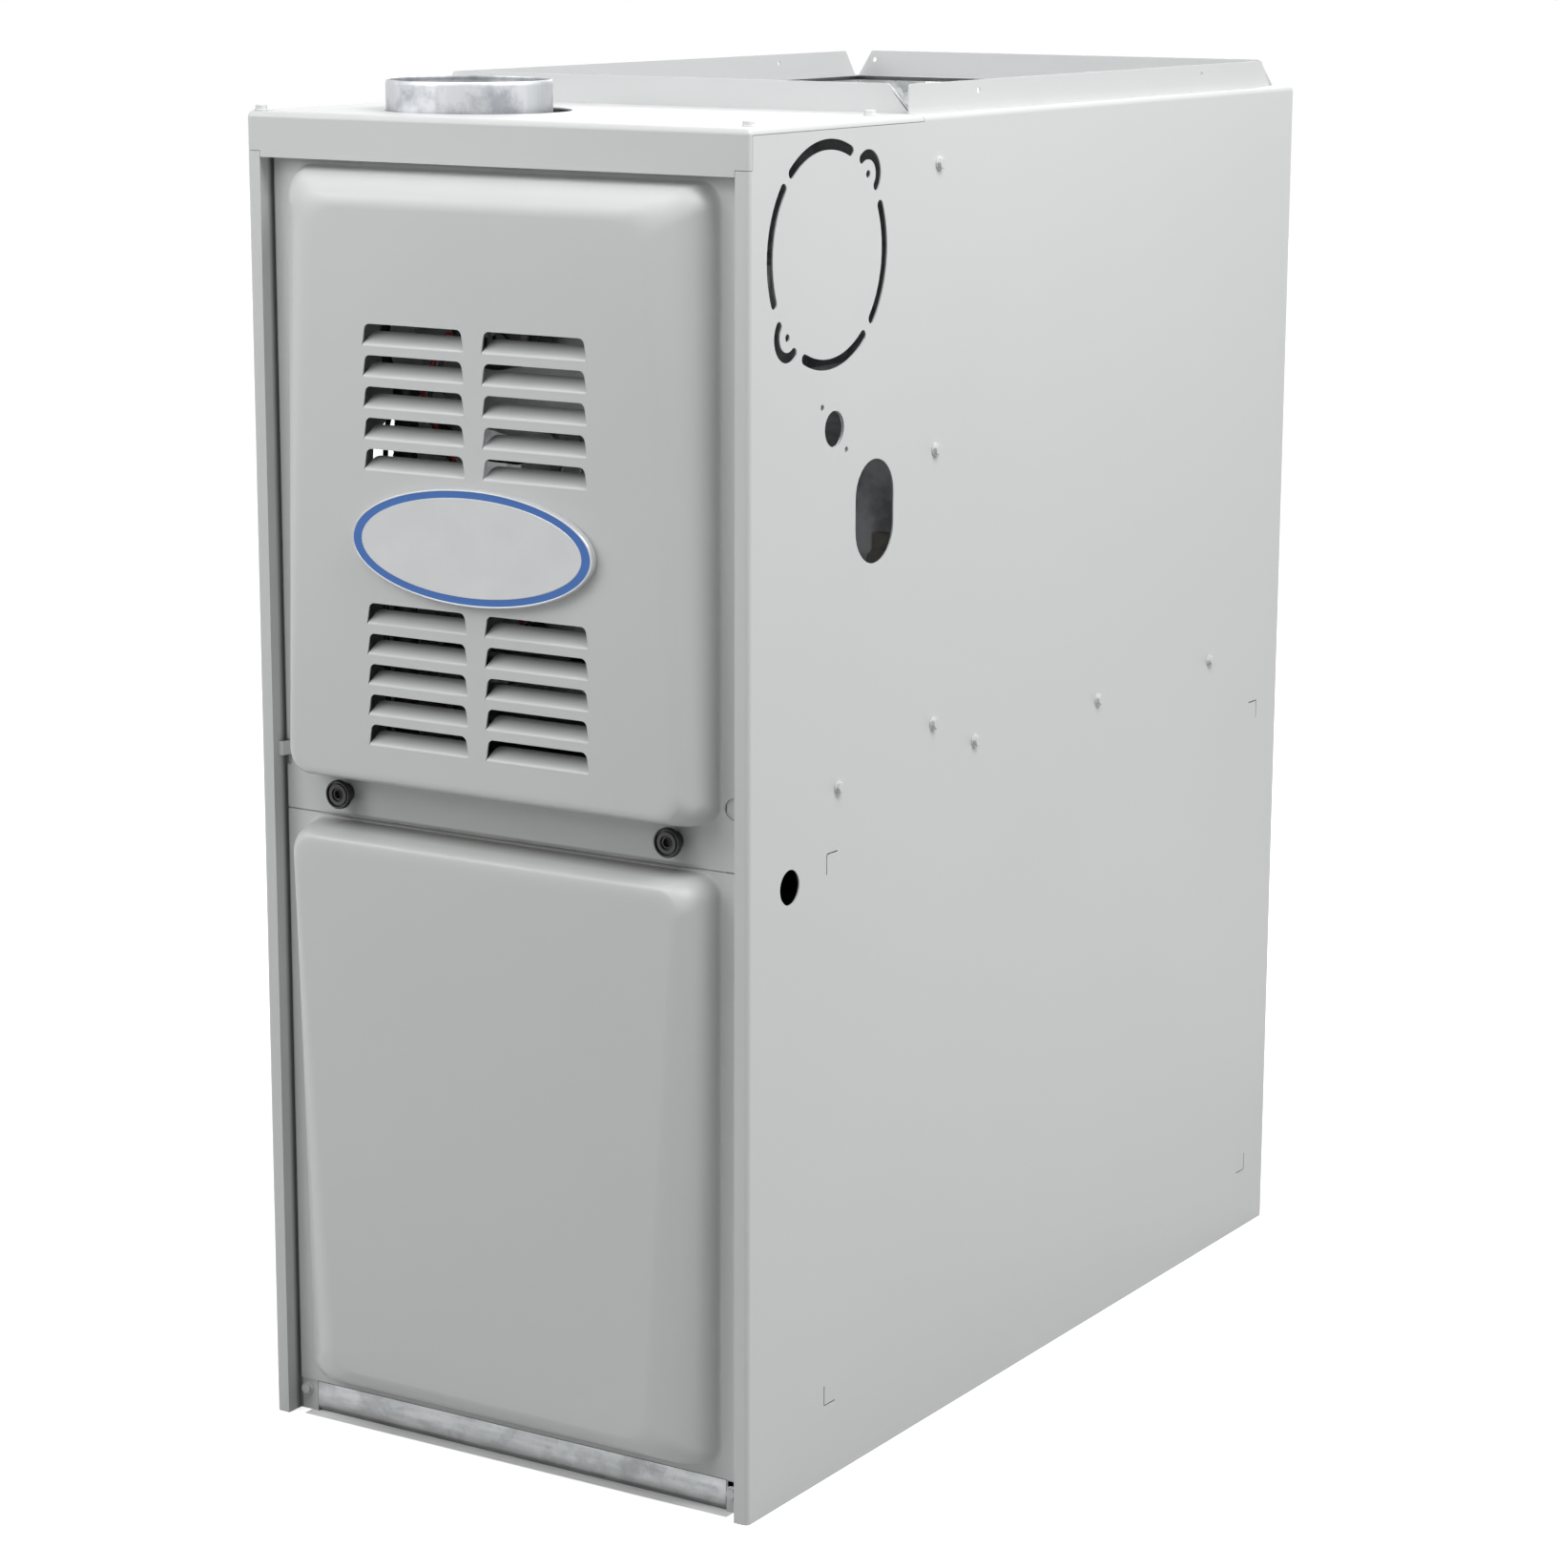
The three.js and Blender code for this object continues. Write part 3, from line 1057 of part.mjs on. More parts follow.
function makeValveKnob() {
  const seat = VALVE_FRONT - GAP;
  const [thick, high] = GRIP;
  const face = seat - high;
  const skirt = turned('y', [0, 0, 0], [
    [0, face], [VALVE_KNOB_R - 1, face], [VALVE_KNOB_R, face + 1], [VALVE_KNOB_R, seat],
    [PLUNGER_R, seat], [PLUNGER_R, seat + VALVE_STEM_L], [0, seat + VALVE_STEM_L],
  ], 18);
  const grip = box(-thick / 2, thick / 2, face - high, face + 1, -VALVE_KNOB_R + 1, VALVE_KNOB_R - 1);
  return join(skirt, grip);
}
placed(piece('gas_valve_knob', makeValveKnob(), blackPlastic), VALVE_KNOB_AT[0], 0, VALVE_KNOB_AT[1]);

const SHELF_TOP = RACK_Z + SHEET + GAP;

// a block centred on x, from a front and a foot, with its width, depth and height
function block([wide, deep, high], front, foot) {
  return box(-wide / 2, wide / 2, front, front + deep, foot, foot + high);
}

function makeIgniter() {
  const start = RACK_Y + SHEET + ELECTRODE_GAP;
  const tip = start + IGNITER_BASE[1] - IGNITER_BLADE[2];
  return join(block(IGNITER_BASE, start, SHELF_TOP), block(IGNITER_BLADE, tip, SHELF_TOP + IGNITER_BLADE[2]));
}
placed(piece('igniter', makeIgniter(), ceramic), BETWEEN_BURNERS[0], 0, 0);

function makeFlameSensor() {
  const start = RACK_Y + SHEET + ELECTRODE_GAP;
  const [r, length] = SENSOR_ROD;
  const from = start + SENSOR_BASE[1] / 2;
  const electrode = rod('y', [0, SHELF_TOP + SENSOR_BASE[2] / 2], r, from, from + length, 8);
  return join(block(SENSOR_BASE, start, SHELF_TOP), electrode);
}
placed(piece('flame_sensor', makeFlameSensor(), ceramic), BETWEEN_BURNERS[1], 0, 0);

function makeRolloutSwitch() {
  const back = RACK_Y - GAP;
  const front = back - SWITCH_BODY;
  const [wide, high, thick] = SWITCH_TAB;
  const tab = block([wide, thick, high], back - thick, -high / 2);
  return cut(
    join(rod('y', [0, 0], SWITCH_R, front, back - thick / 2, 14), tab),
    rod('y', [0, 0], BUTTON_R + GAP, 0, back - 2 * thick, 10),
  );
}
function makeButton() {
  const tip = RACK_Y - GAP - 2 * SWITCH_TAB[2] - SHEET;
  return rod('y', [0, 0], BUTTON_R, RACK_Y - GAP - SWITCH_BODY - BUTTON_OUT, tip - BUTTON_TRAVEL, 10);
}
BETWEEN_BURNERS.forEach((x, i) => {
  const side = i ? 'right' : 'left';
  placed(piece(`rollout_switch_${side}`, makeRolloutSwitch(), blackPlastic), x, 0, BURNER_Z + SWITCH_UP);
  placed(piece(`rollout_reset_${side}`, makeButton(), redPlastic), x, 0, BURNER_Z + SWITCH_UP);
});

function makeLimitSwitch() {
  const back = VESTIBULE_Y - GAP;
  const [wide, high, thick] = LIMIT_PLATE;
  return join(
    block([wide, thick, high], back - thick, -high / 2),
    rod('y', [0, 0], SWITCH_R, back - LIMIT_BODY, back - thick / 2, 12),
  );
}
placed(piece('limit_switch', makeLimitSwitch(), ceramic), LIMIT_SWITCH[0], 0, LIMIT_SWITCH[1]);

function makePressureSwitch() {
  const back = VESTIBULE_Y - GAP;
  const front = back - PRESSURE_SWITCH_L;
  const r = PRESSURE_SWITCH_R;
  const rim = [back - 16, back - 12];
  return turned('y', [0, 0, 0], [
    [0, front], [HOSE_R - 1, front], [HOSE_R - 1, rim[0] - 8], [r / 2, rim[0] - 8], [r - 3, rim[0] - 2],
    [r, rim[0]], [r, rim[1]], [r - 4, rim[1] + 2], [r - 8, back - 3], [r - 8, back], [0, back],
  ], 20);
}
placed(piece('pressure_switch', makePressureSwitch(), galvanised), PRESSURE_SWITCH[0], 0, PRESSURE_SWITCH[1]);

// a flexible tube of a round section along hand-placed points
function flexible(points, r, sides, steps) {
  const curve = new THREE.CatmullRomCurve3(points.map((point) => new THREE.Vector3(...point)), false, 'centripetal');
  const section = new THREE.Shape(circle([0, 0], r, sides).map(([u, v]) => new THREE.Vector2(u, v)));
  const options = { steps, extrudePath: curve, bevelEnabled: false, curveSegments: 1 };
  return solid(new THREE.ExtrudeGeometry(section, options));
}

function makeHose() {
  const [x, z] = PRESSURE_SWITCH;
  const start = VESTIBULE_Y - GAP - PRESSURE_SWITCH_L - GAP;
  const portX = INDUCER_X - SCROLL_R[1] - PORT_L - GAP;
  const portZ = OUTLET_Z + PORT_UP;
  return flexible([
    [x, start, z], [x, start - 14, z], [x - 12, start - 45, z + 12], [portX - 24, VENT_Y + 4, z + 55],
    [portX - 26, VENT_Y, portZ - 22], [portX - 12, VENT_Y, portZ], [portX, VENT_Y, portZ],
  ], HOSE_R, 8, 20);
}
piece('pressure_hose', makeHose(), rubber);

function makeJunctionBox() {
  const [y, z] = LINE_WIRE_HOLE;
  const [wide, deep, high] = BOX_SIZE;
  const [right, foot] = [WIDTH - INSIDE, z - BOX_UNDER];
  const [front, back] = [y - deep / 2, y + deep / 2];
  return cut(
    hollowBox(
      [right - wide, right, front, back, foot, foot + high],
      [-FAR, right - SHEET, front + SHEET, back - SHEET, foot + SHEET, foot + high - SHEET],
    ),
    rod('x', LINE_WIRE_HOLE, WIRE_HOLE_R, 0, FAR, 16),
  );
}
piece('junction_box', makeJunctionBox(), galvanised);

// ---------------------------------------------------------------- controls
function makeBracket() {
  const [left, right, foot] = BRACKET;
  const top = DECK_Z - SHEET - GAP;
  const edge = BRACKET_Y + BRACKET_FLANGE;
  return join(
    box(left, right, BRACKET_Y, BRACKET_Y + SHEET, foot, top),
    box(left, right, BRACKET_Y, edge, top - SHEET, top),
    box(left, right, BRACKET_Y, edge, foot, foot + SHEET),
  );
}
piece('control_bracket', makeBracket(), galvanised);

const BOARD_LEFT = BRACKET[0] + BOARD_AT[0];
const BOARD_RIGHT = BOARD_LEFT + BOARD_SIZE[0];

function makeBoard() {
  const [left, right] = [BOARD_LEFT, BOARD_RIGHT];
  const low = BRACKET[2] + BOARD_AT[1];
  const high = low + BOARD_SIZE[1];
  const back = BRACKET_Y - GAP;
  const face = back - BOARD_POST;
  const sunk = face + BOARD_T / 2;
  const board = box(left, right, face, face + BOARD_T, low, high);
  const posts = [left + POST_IN, right - POST_IN].flatMap((x) => [low + POST_IN, high - POST_IN].map(
    (z) => rod('y', [x, z], POST_R, sunk, back, 6),
  ));
  const relays = [0, 1, 2].map((i) => {
    const [x, top] = [left + RELAY_IN[0] + i * RELAY_PITCH, high - RELAY_IN[1]];
    return box(x, x + RELAY[0], face - RELAY[1], sunk, top - RELAY[2], top);
  });
  const [plugX, plugZ] = [right - PLUGS_IN[0], low + PLUGS_IN[1]];
  const plugs = box(plugX - PLUGS[0], plugX, face - PLUGS[1], sunk, plugZ, plugZ + PLUGS[2]);
  return join(board, ...posts, ...relays, plugs);
}
piece('control_board', makeBoard(), boardGreen);

function makeTransformer() {
  const back = BRACKET_Y - GAP;
  const [coilW, coilD, coilH] = TRANSFORMER_COIL;
  const core = block(TRANSFORMER, back - TRANSFORMER[1], -TRANSFORMER[2] / 2);
  return join(core, block([coilW, coilD - SHEET, coilH], back - coilD, -coilH / 2));
}
const TRANSFORMER_X = BOARD_RIGHT + TRANSFORMER_AT[0] + TRANSFORMER[0] / 2;
placed(piece('transformer', makeTransformer(), motorBlack), TRANSFORMER_X, 0, BRACKET[2] + TRANSFORMER_AT[1]);

function makeDoorSwitch() {
  const front = BEHIND_JAMBS;
  const body = block(DOOR_SWITCH, front, PLUNGER_Z - DOOR_SWITCH_UNDER);
  return cut(body, rod('y', [0, PLUNGER_Z], PLUNGER_R + GAP, 0, front + PLUNGER_SEAT, 10));
}
placed(piece('door_switch', makeDoorSwitch(), blackPlastic), DOOR_SWITCH_X, 0, 0);
const PLUNGER_END = BEHIND_JAMBS + PLUNGER_SEAT - PLUNGER_TRAVEL - SHEET;
const makePlunger = () => rod('y', [0, 0], PLUNGER_R, JAMB_FRONT, PLUNGER_END, 10);
placed(piece('door_switch_plunger', makePlunger(), ceramic), DOOR_SWITCH_X, 0, PLUNGER_Z);

// hand-placed from the board's side, up through the shelf and behind the gas valve
function makeHarness() {
  const [x, y] = HARNESS_AT;
  const start = BRACKET[1] + GAP;
  const foot = BRACKET[2];
  const valve = VALVE_Z[0];
  return flexible([
    [start, y + 8, foot + 40], [start + 12, y + 6, foot + 44], [x, y, foot + 72], [x, y, DECK_Z - 20],
    [x, y, DECK_Z + 20], [x, y + 2, valve - 58],
    [VALVE_X + 12, y + 4, valve - 24], [VALVE_X + 12, y + 6, valve - GAP],
  ], HOSE_R, 8, 18);
}
piece('wire_harness', makeHarness(), copperWire);

// ---------------------------------------------------------------- blower
const BLOWER_TOP = DECK_Z - SHEET - GAP;

function makeBlowerHousing() {
  const [left, right] = BLOWER_SIDES;
  const centre = [BLOWER_Y, BLOWER_Z];
  const outline = (inset, top) => scroll(centre, BLOWER_R, BLOWER_CUTOFF, top, BLOWER_OUT_Y[1], inset, 20);
  const shell = cut(
    prism('x', outline(0, BLOWER_TOP), left, right),
    prism('x', outline(SHEET, FAR), left + SHEET, right - SHEET),
    rod('x', centre, BLOWER_INLET_R, 0, WIDTH, 28),
  );
  const [front, back] = BLOWER_OUT_Y;
  const rails = [[left - BLOWER_RAIL, left + SHEET], [right - SHEET, right + BLOWER_RAIL]].map(
    ([x0, x1]) => box(x0, x1, front, back, BLOWER_TOP - SHEET, BLOWER_TOP),
  );
  return join(shell, ...rails);
}
piece('blower_housing', makeBlowerHousing(), galvanised);

function makeBlowerWheel() {
  const half = WHEEL_W / 2;
  const inner = WHEEL_R - BLADE_DEPTH;
  const edge = WHEEL_R - SHEET;
  const ring = (x) => pipe('x', [0, 0], WHEEL_R, BLADE_DEPTH, x, x + WHEEL_RING, 18);
  const shaftEnd = -BLOWER_MOTOR_GAP - BLOWER_BORE + BLOWER_BORE_END;
  const side = WHEEL_DISC / 2;
  const disc = turned('x', [0, 0, 0], [
    [0, shaftEnd], [BLOWER_SHAFT_R, shaftEnd], [BLOWER_SHAFT_R, -side], [edge, -side], [edge, side],
    [2.5 * BLOWER_SHAFT_R, side], [2.5 * BLOWER_SHAFT_R, WHEEL_HUB], [0, WHEEL_HUB],
  ], 18);
  const blades = Array.from({ length: WHEEL_BLADES }, (_, i) => box(
    -half + SHEET, half - SHEET, inner + SHEET, edge, -BLADE_T / 2, BLADE_T / 2,
  ).rotate([(i * 360) / WHEEL_BLADES, 0, 0]));
  return join(ring(-half), ring(half - WHEEL_RING), disc, ...blades);
}
placed(piece('blower_wheel', makeBlowerWheel(), galvanised), WIDTH / 2, BLOWER_Y, BLOWER_Z);

function makeBlowerMotor() {
  const right = WIDTH / 2 - BLOWER_MOTOR_GAP;
  const left = right - BLOWER_MOTOR_L;
  const r = BLOWER_MOTOR_R;
  const bore = BLOWER_SHAFT_R + GAP;
  const bend = [6, 16]; // the end bells' curve, in two steps along the axis
  return turned('x', [0, 0, 0], [
    [0, left], [r / 3, left], [r - 8, left + bend[0]], [r, left + bend[1]], [r, right - bend[1]],
    [r - 8, right - bend[0]], [r / 3, right], [bore, right], [bore, right - BLOWER_BORE], [0, right - BLOWER_BORE],
  ], 24);
}
placed(piece('blower_motor', makeBlowerMotor(), motorBlack), 0, BLOWER_Y, BLOWER_Z);

function makeMotorMount() {
  const outside = BLOWER_SIDES[0] - GAP;
  const r = BLOWER_MOTOR_R + GAP;
  const [beltT, beltW] = BELT;
  const [armT, armW] = MOUNT_ARM;
  const belt = pipe('x', [0, 0], r + beltT, beltT, outside - 4, outside - 4 + beltW, 24);
  const arms = [90, 210, 330].map((degrees) => box(
    outside - armT, outside, r + beltT / 2, BLOWER_INLET_R + MOUNT_REACH, -armW / 2, armW / 2,
  ).rotate([degrees, 0, 0]));
  return join(belt, ...arms);
}
placed(piece('motor_mount', makeMotorMount(), galvanised), 0, BLOWER_Y, BLOWER_Z);

function makeCapacitor() {
  const [low, high] = CAPACITOR_Z;
  const r = CAPACITOR_R;
  return turned('z', [0, 0, 0], [
    [0, low], [r, low], [r, high - 2], [r - 2, high], [CAPACITOR_STUD, high],
    [CAPACITOR_STUD, high + CAPACITOR_STUD], [0, high + CAPACITOR_STUD],
  ], 16);
}
const CAPACITOR_X = BLOWER_SIDES[1] + CAPACITOR_R + GAP;
placed(piece('blower_capacitor', makeCapacitor(), castMetal), CAPACITOR_X, BLOWER_OUT_Y[0] + CAPACITOR_BACK, 0);

export default furnace;
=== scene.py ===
# %% [markdown]
# # A forced air gas furnace
# The solids come from the furnace's CAD source and stay where they are. This lesson dresses them:
# it makes finer sheets, doors, screws and fittings in the same places, and gives every surface a
# finish made from nodes. Each step first says what the real piece is, then how it is made here.

# %% The frame
import json
import math

import bmesh
import bpy
from mathutils import Matrix, Vector, noise
from mathutils.geometry import delaunay_2d_cdt


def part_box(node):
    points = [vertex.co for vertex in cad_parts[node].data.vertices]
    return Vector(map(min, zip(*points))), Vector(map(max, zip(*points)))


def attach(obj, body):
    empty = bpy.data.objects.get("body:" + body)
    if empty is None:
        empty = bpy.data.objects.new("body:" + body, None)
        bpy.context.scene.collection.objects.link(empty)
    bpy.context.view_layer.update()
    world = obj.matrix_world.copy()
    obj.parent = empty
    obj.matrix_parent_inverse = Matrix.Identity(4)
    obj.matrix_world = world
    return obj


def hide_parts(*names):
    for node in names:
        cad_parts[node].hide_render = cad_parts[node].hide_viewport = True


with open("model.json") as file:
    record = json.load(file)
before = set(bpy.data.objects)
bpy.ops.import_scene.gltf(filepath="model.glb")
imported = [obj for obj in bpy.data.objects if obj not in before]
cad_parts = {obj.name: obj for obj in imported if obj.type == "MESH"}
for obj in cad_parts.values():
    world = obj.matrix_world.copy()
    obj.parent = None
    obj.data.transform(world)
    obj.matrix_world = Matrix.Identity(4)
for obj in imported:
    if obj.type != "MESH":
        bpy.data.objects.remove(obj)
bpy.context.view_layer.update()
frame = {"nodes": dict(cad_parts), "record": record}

# %% [markdown]
# ## Where things are
# A furnace is drawn from three planes: its left side, its front and the floor. All places below
# are written in millimetres from those planes, as on a drawing, and `at` turns them into Blender's
# metres. The casing's solid tells where the three planes lie.

# %% Places and sizes
CORNER, FAR_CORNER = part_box("cabinet_wrap")
WIDTH = (FAR_CORNER.x - CORNER.x) * 1000
DEPTH = (FAR_CORNER.y - CORNER.y) * 1000
HEIGHT = 846.0
SHEET = 1.0
GAP = 0.3


def at(x, y, z):
    """A place in the cabinet, in mm from its left side, its front and the floor."""
    return Vector((CORNER.x + x / 1000, CORNER.y + y / 1000, z / 1000))


print(f"cabinet {WIDTH:.1f} x {DEPTH:.1f} x {HEIGHT:.1f} mm")

# %% [markdown]
# ## The camera
# The photograph was solved from the cabinet's corners: the camera stands to the right of the
# front, a little above the top, with a long lens, so that upright edges stay nearly parallel. The
# camera's own axes are written straight into its matrix.

# %% Camera
CAMERA_AT = (1.4407, -2.3166, 0.9668)
BACKWARD = Vector((0.5202, -0.8277, 0.2102)).normalized()
ROLL = math.radians(0.181)
LENS, SENSOR = 93.19, 36
level = Vector((-BACKWARD.y, BACKWARD.x, 0)).normalized()
upward = BACKWARD.cross(level)
across = math.cos(ROLL) * level + math.sin(ROLL) * upward
upward = BACKWARD.cross(across)

camera_data = bpy.data.cameras.new("camera")
camera_data.lens, camera_data.sensor_width = LENS, SENSOR
camera_data.clip_start, camera_data.clip_end = 0.1, 50
camera = bpy.data.objects.new("camera", camera_data)
bpy.context.scene.collection.objects.link(camera)
turn = Matrix((across, upward, BACKWARD)).transposed().to_4x4()
camera.matrix_world = Matrix.Translation(CAMERA_AT) @ turn
bpy.context.scene.camera = camera
print("camera", [round(v, 3) for v in camera.location])

# %% [markdown]
# ## Small tools for node trees
# Shaders and Geometry Nodes are both trees of nodes. `node` adds one node, sets its options and
# fills its inputs: a socket is linked, and anything else is set as the input's value. `blend` mixes
# two colours by a mask, and `spread` turns a mask into a range. `group` makes a tree with named
# inputs and outputs, so an effect or a pattern is built once.

# %% Node tools
def node(tree, kind, inputs=None, **options):
    """Adds a node; inputs maps input names or numbers to sockets or values."""
    made = tree.nodes.new(kind)
    for name, value in options.items():
        setattr(made, name, value)
    for name, value in (inputs or {}).items():
        if isinstance(value, bpy.types.NodeSocket):
            tree.links.new(value, made.inputs[name])
        else:
            made.inputs[name].default_value = value
    return made


def link(tree, socket, taker, label):
    tree.links.new(socket, taker.inputs[label])


def maths(tree, operation, first, second=0.0, third=0.0):
    values = {0: first, 1: second, 2: third}
    return node(tree, "ShaderNodeMath", values, operation=operation).outputs[0]


def vectors(tree, operation, first, second, slot=1):
    """Vector maths with two inputs; a scale goes into input 3."""
    values = {0: first, slot: second}
    return node(tree, "ShaderNodeVectorMath", values, operation=operation).outputs[0]


def times(tree, first, second):
    return maths(tree, "MULTIPLY", first, second)


def object_place(tree):
    """Object coordinates: where a point lies, in metres."""
    return node(tree, "ShaderNodeTexCoord").outputs["Object"]


def parts_of(tree, vector):
    """The x, y and z of a vector."""
    return node(tree, "ShaderNodeSeparateXYZ", {0: vector}).outputs


def spread(tree, mask, low, high, start=0.0, end=1.0):
    """Turns the range from start to end into the range from low to high."""
    return node(tree, "ShaderNodeMapRange", {0: mask, 1: start, 2: end, 3: low, 4: high}).outputs[0]


def blend(tree, mask, first, second):
    """Mixes two colours; each is a colour or a socket."""
    values = {}
    for key, value in ((6, first), (7, second)):
        values[key] = value if isinstance(value, bpy.types.NodeSocket) else (*value, 1)
    return node(tree, "ShaderNodeMix", {0: mask, **values}, data_type="RGBA").outputs[2]


def group(name, kind, inputs, outputs):
    """A node tree with its own inputs (name, type, value) and outputs (name, type)."""
    tree = bpy.data.node_groups.new(name, kind)
    for label, socket_type, value in inputs:
        kind_of_socket = "NodeSocket" + socket_type
        made = tree.interface.new_socket(label, in_out="INPUT", socket_type=kind_of_socket)
        if value is not None:
            made.default_value = value
    for label, socket_type in outputs:
        tree.interface.new_socket(label, in_out="OUTPUT", socket_type="NodeSocket" + socket_type)
    enter = tree.nodes.new("NodeGroupInput")
    leave = tree.nodes.new("NodeGroupOutput")
    return tree, enter.outputs, leave


print("node tools ready")

# %% [markdown]
# ## A plain room
# The photograph has no room: the furnace stands on white. The world is white where the camera or a
# reflection looks at it, and gives only a weak fill light. Light Path tells the two apart. The
# floor is lit by the lamps, so it keeps the furnace's soft shadow, and glows towards its rim, so
# that it meets the white world without a seam. What it throws back on to the furnace is kept low.
# Under the furnace it doesn't glow, because it shows through the return opening with the door off.

# %% World and floor
SKY_LIGHT = 0.15
FLOOR_THROWN, FLOOR_SEEN = 0.4, 0.88
FLOOR_GLOW = (0.62, 1.0)
GLOW_FROM, GLOW_TO = 0.45, 1.7
UNDER_X, UNDER_Y = 0.165, 0.345
FLOOR_REACH = 9


def seen_rays(tree):
    """1 for rays from the camera and for mirror or clear rays, otherwise 0."""
    path = node(tree, "ShaderNodeLightPath").outputs
    seen = maths(tree, "MAXIMUM", path["Is Camera Ray"], path["Is Glossy Ray"])
    return maths(tree, "MAXIMUM", seen, path["Is Transmission Ray"])


def make_world():
    made = bpy.data.worlds.new("white room")
    made.use_nodes = True
    tree = made.node_tree
    tree.nodes.clear()
    strength = maths(tree, "MULTIPLY_ADD", seen_rays(tree), 1 - SKY_LIGHT, SKY_LIGHT)
    sky = node(tree, "ShaderNodeBackground", {"Color": (1, 1, 1, 1), "Strength": strength})
    node(tree, "ShaderNodeOutputWorld", {"Surface": sky.outputs[0]})
    return made


def make_floor_paint():
    made = bpy.data.materials.new("white_floor")
    made.use_nodes = True
    tree = made.node_tree
    shader = tree.nodes["Principled BSDF"]
    seen = seen_rays(tree)
    color = blend(tree, seen, (FLOOR_THROWN,) * 3, (FLOOR_SEEN,) * 3)
    place = object_place(tree)
    away = node(tree, "ShaderNodeVectorMath", {0: place}, operation="LENGTH").outputs["Value"]
    glow = node(tree, "ShaderNodeMapRange", {
        0: away, 1: GLOW_FROM, 2: GLOW_TO, 3: FLOOR_GLOW[0], 4: FLOOR_GLOW[1],
    }, interpolation_type="SMOOTHSTEP").outputs[0]
    x, y, _ = parts_of(tree, place)
    beside = maths(tree, "GREATER_THAN", maths(tree, "ABSOLUTE", x), UNDER_X)
    before = maths(tree, "GREATER_THAN", maths(tree, "ABSOLUTE", y), UNDER_Y)
    open_floor = times(tree, seen, maths(tree, "MAXIMUM", beside, before))
    link(tree, color, shader, "Base Color")
    link(tree, times(tree, open_floor, glow), shader, "Emission Strength")
    shader.inputs["Emission Color"].default_value = (1, 1, 1, 1)
    shader.inputs["Roughness"].default_value = 0.9
    shader.inputs["Specular IOR Level"].default_value = 0.0
    return made


bpy.context.scene.world = make_world()
bpy.context.scene.view_settings.view_transform = "Standard"
floor_mesh = bpy.data.meshes.new("floor")
corners = [(x * FLOOR_REACH, y * FLOOR_REACH, 0) for x, y in ((-1, -1), (1, -1), (1, 1), (-1, 1))]
floor_mesh.from_pydata(corners, [], [(0, 1, 2, 3)])
floor_mesh.materials.append(make_floor_paint())
floor = bpy.data.objects.new("floor", floor_mesh)
bpy.context.scene.collection.objects.link(floor)
print("floor and world made")

# %% [markdown]
# The lamps are square and soft. Two hang over the right side, because the photograph's side panel
# is its brightest. Two stand before the front and to the left for the doors, and a weak one over
# the front lights their upper slopes. They are near, so the light falls off towards the floor as it
# does there. The lamp behind only matters when the furnace is turned round. Each lamp has its
# place, its size and its power.

# %% Lamps
LAMPS = {
    "over the right side": ((1.2, -0.35, 2.1), 1.0, 27.0),
    "right and behind": ((1.7, 0.5, 2.0), 1.0, 18.0),
    "before the front": ((-0.6, -2.4, 1.7), 1.2, 6.5),
    "left": ((-1.3, -1.5, 1.5), 1.0, 13.5),
    "over the front": ((-0.1, -1.3, 2.0), 1.0, 8.5),
    "behind": ((-0.7, 1.9, 1.9), 1.3, 24.0),
}
LAMPS_AIM = Vector((0, 0, 0.45))
for name, (place, size, power) in LAMPS.items():
    lamp_data = bpy.data.lights.new(name, "AREA")
    lamp_data.size, lamp_data.energy = size, power
    lamp = bpy.data.objects.new(name, lamp_data)
    lamp.location = place
    lamp.rotation_euler = (Vector(place) - LAMPS_AIM).to_track_quat("Z", "Y").to_euler()
    bpy.context.scene.collection.objects.link(lamp)
print("lamps", list(LAMPS))

# %% [markdown]
# ## Effects that several finishes share
# A pressed and painted sheet is never quite even, galvanised steel is covered with zinc crystals,
# and rolled sheet has streaks along its rolling direction. Each effect is a node group with named
# inputs that gives only masks and heights, so every material can use it with its own numbers. All
# of them read Object coordinates, which are metres here: a scale of 1000 makes features 1 mm wide.

# %% Shared effects
FLOAT, VECTOR = "Float", "Vector"


def effect(name, inputs, outputs):
    tree, enter, leave = group(name, "ShaderNodeTree", inputs, outputs)
    return tree, enter, leave, object_place(tree)


def clouds(tree, place, scale, detail, **options):
    values = {"Vector": place, "Scale": scale, "Detail": detail, **options}
    return node(tree, "ShaderNodeTexNoise", values)


def make_even_sheet():
    """Soft cloudy tone and fine orange peel."""
    tree, enter, leave, place = effect(
        "even sheet",
        [("Cloud Scale", FLOAT, 9.0), ("Peel Scale", FLOAT, 700.0)],
        [("Tone", FLOAT), ("Height", FLOAT)],
    )
    cloud = clouds(tree, place, enter["Cloud Scale"], 3.0)
    peel = clouds(tree, place, enter["Peel Scale"], 2.0)
    link(tree, cloud.outputs[0], leave, "Tone")
    link(tree, peel.outputs[0], leave, "Height")
    return tree


def warped(tree, place, wander, amount):
    """A place moved by a noise's colour, so that straight borders wander."""
    shift = vectors(tree, "SCALE", wander.outputs["Color"], amount, 3)
    return vectors(tree, "ADD", place, shift)


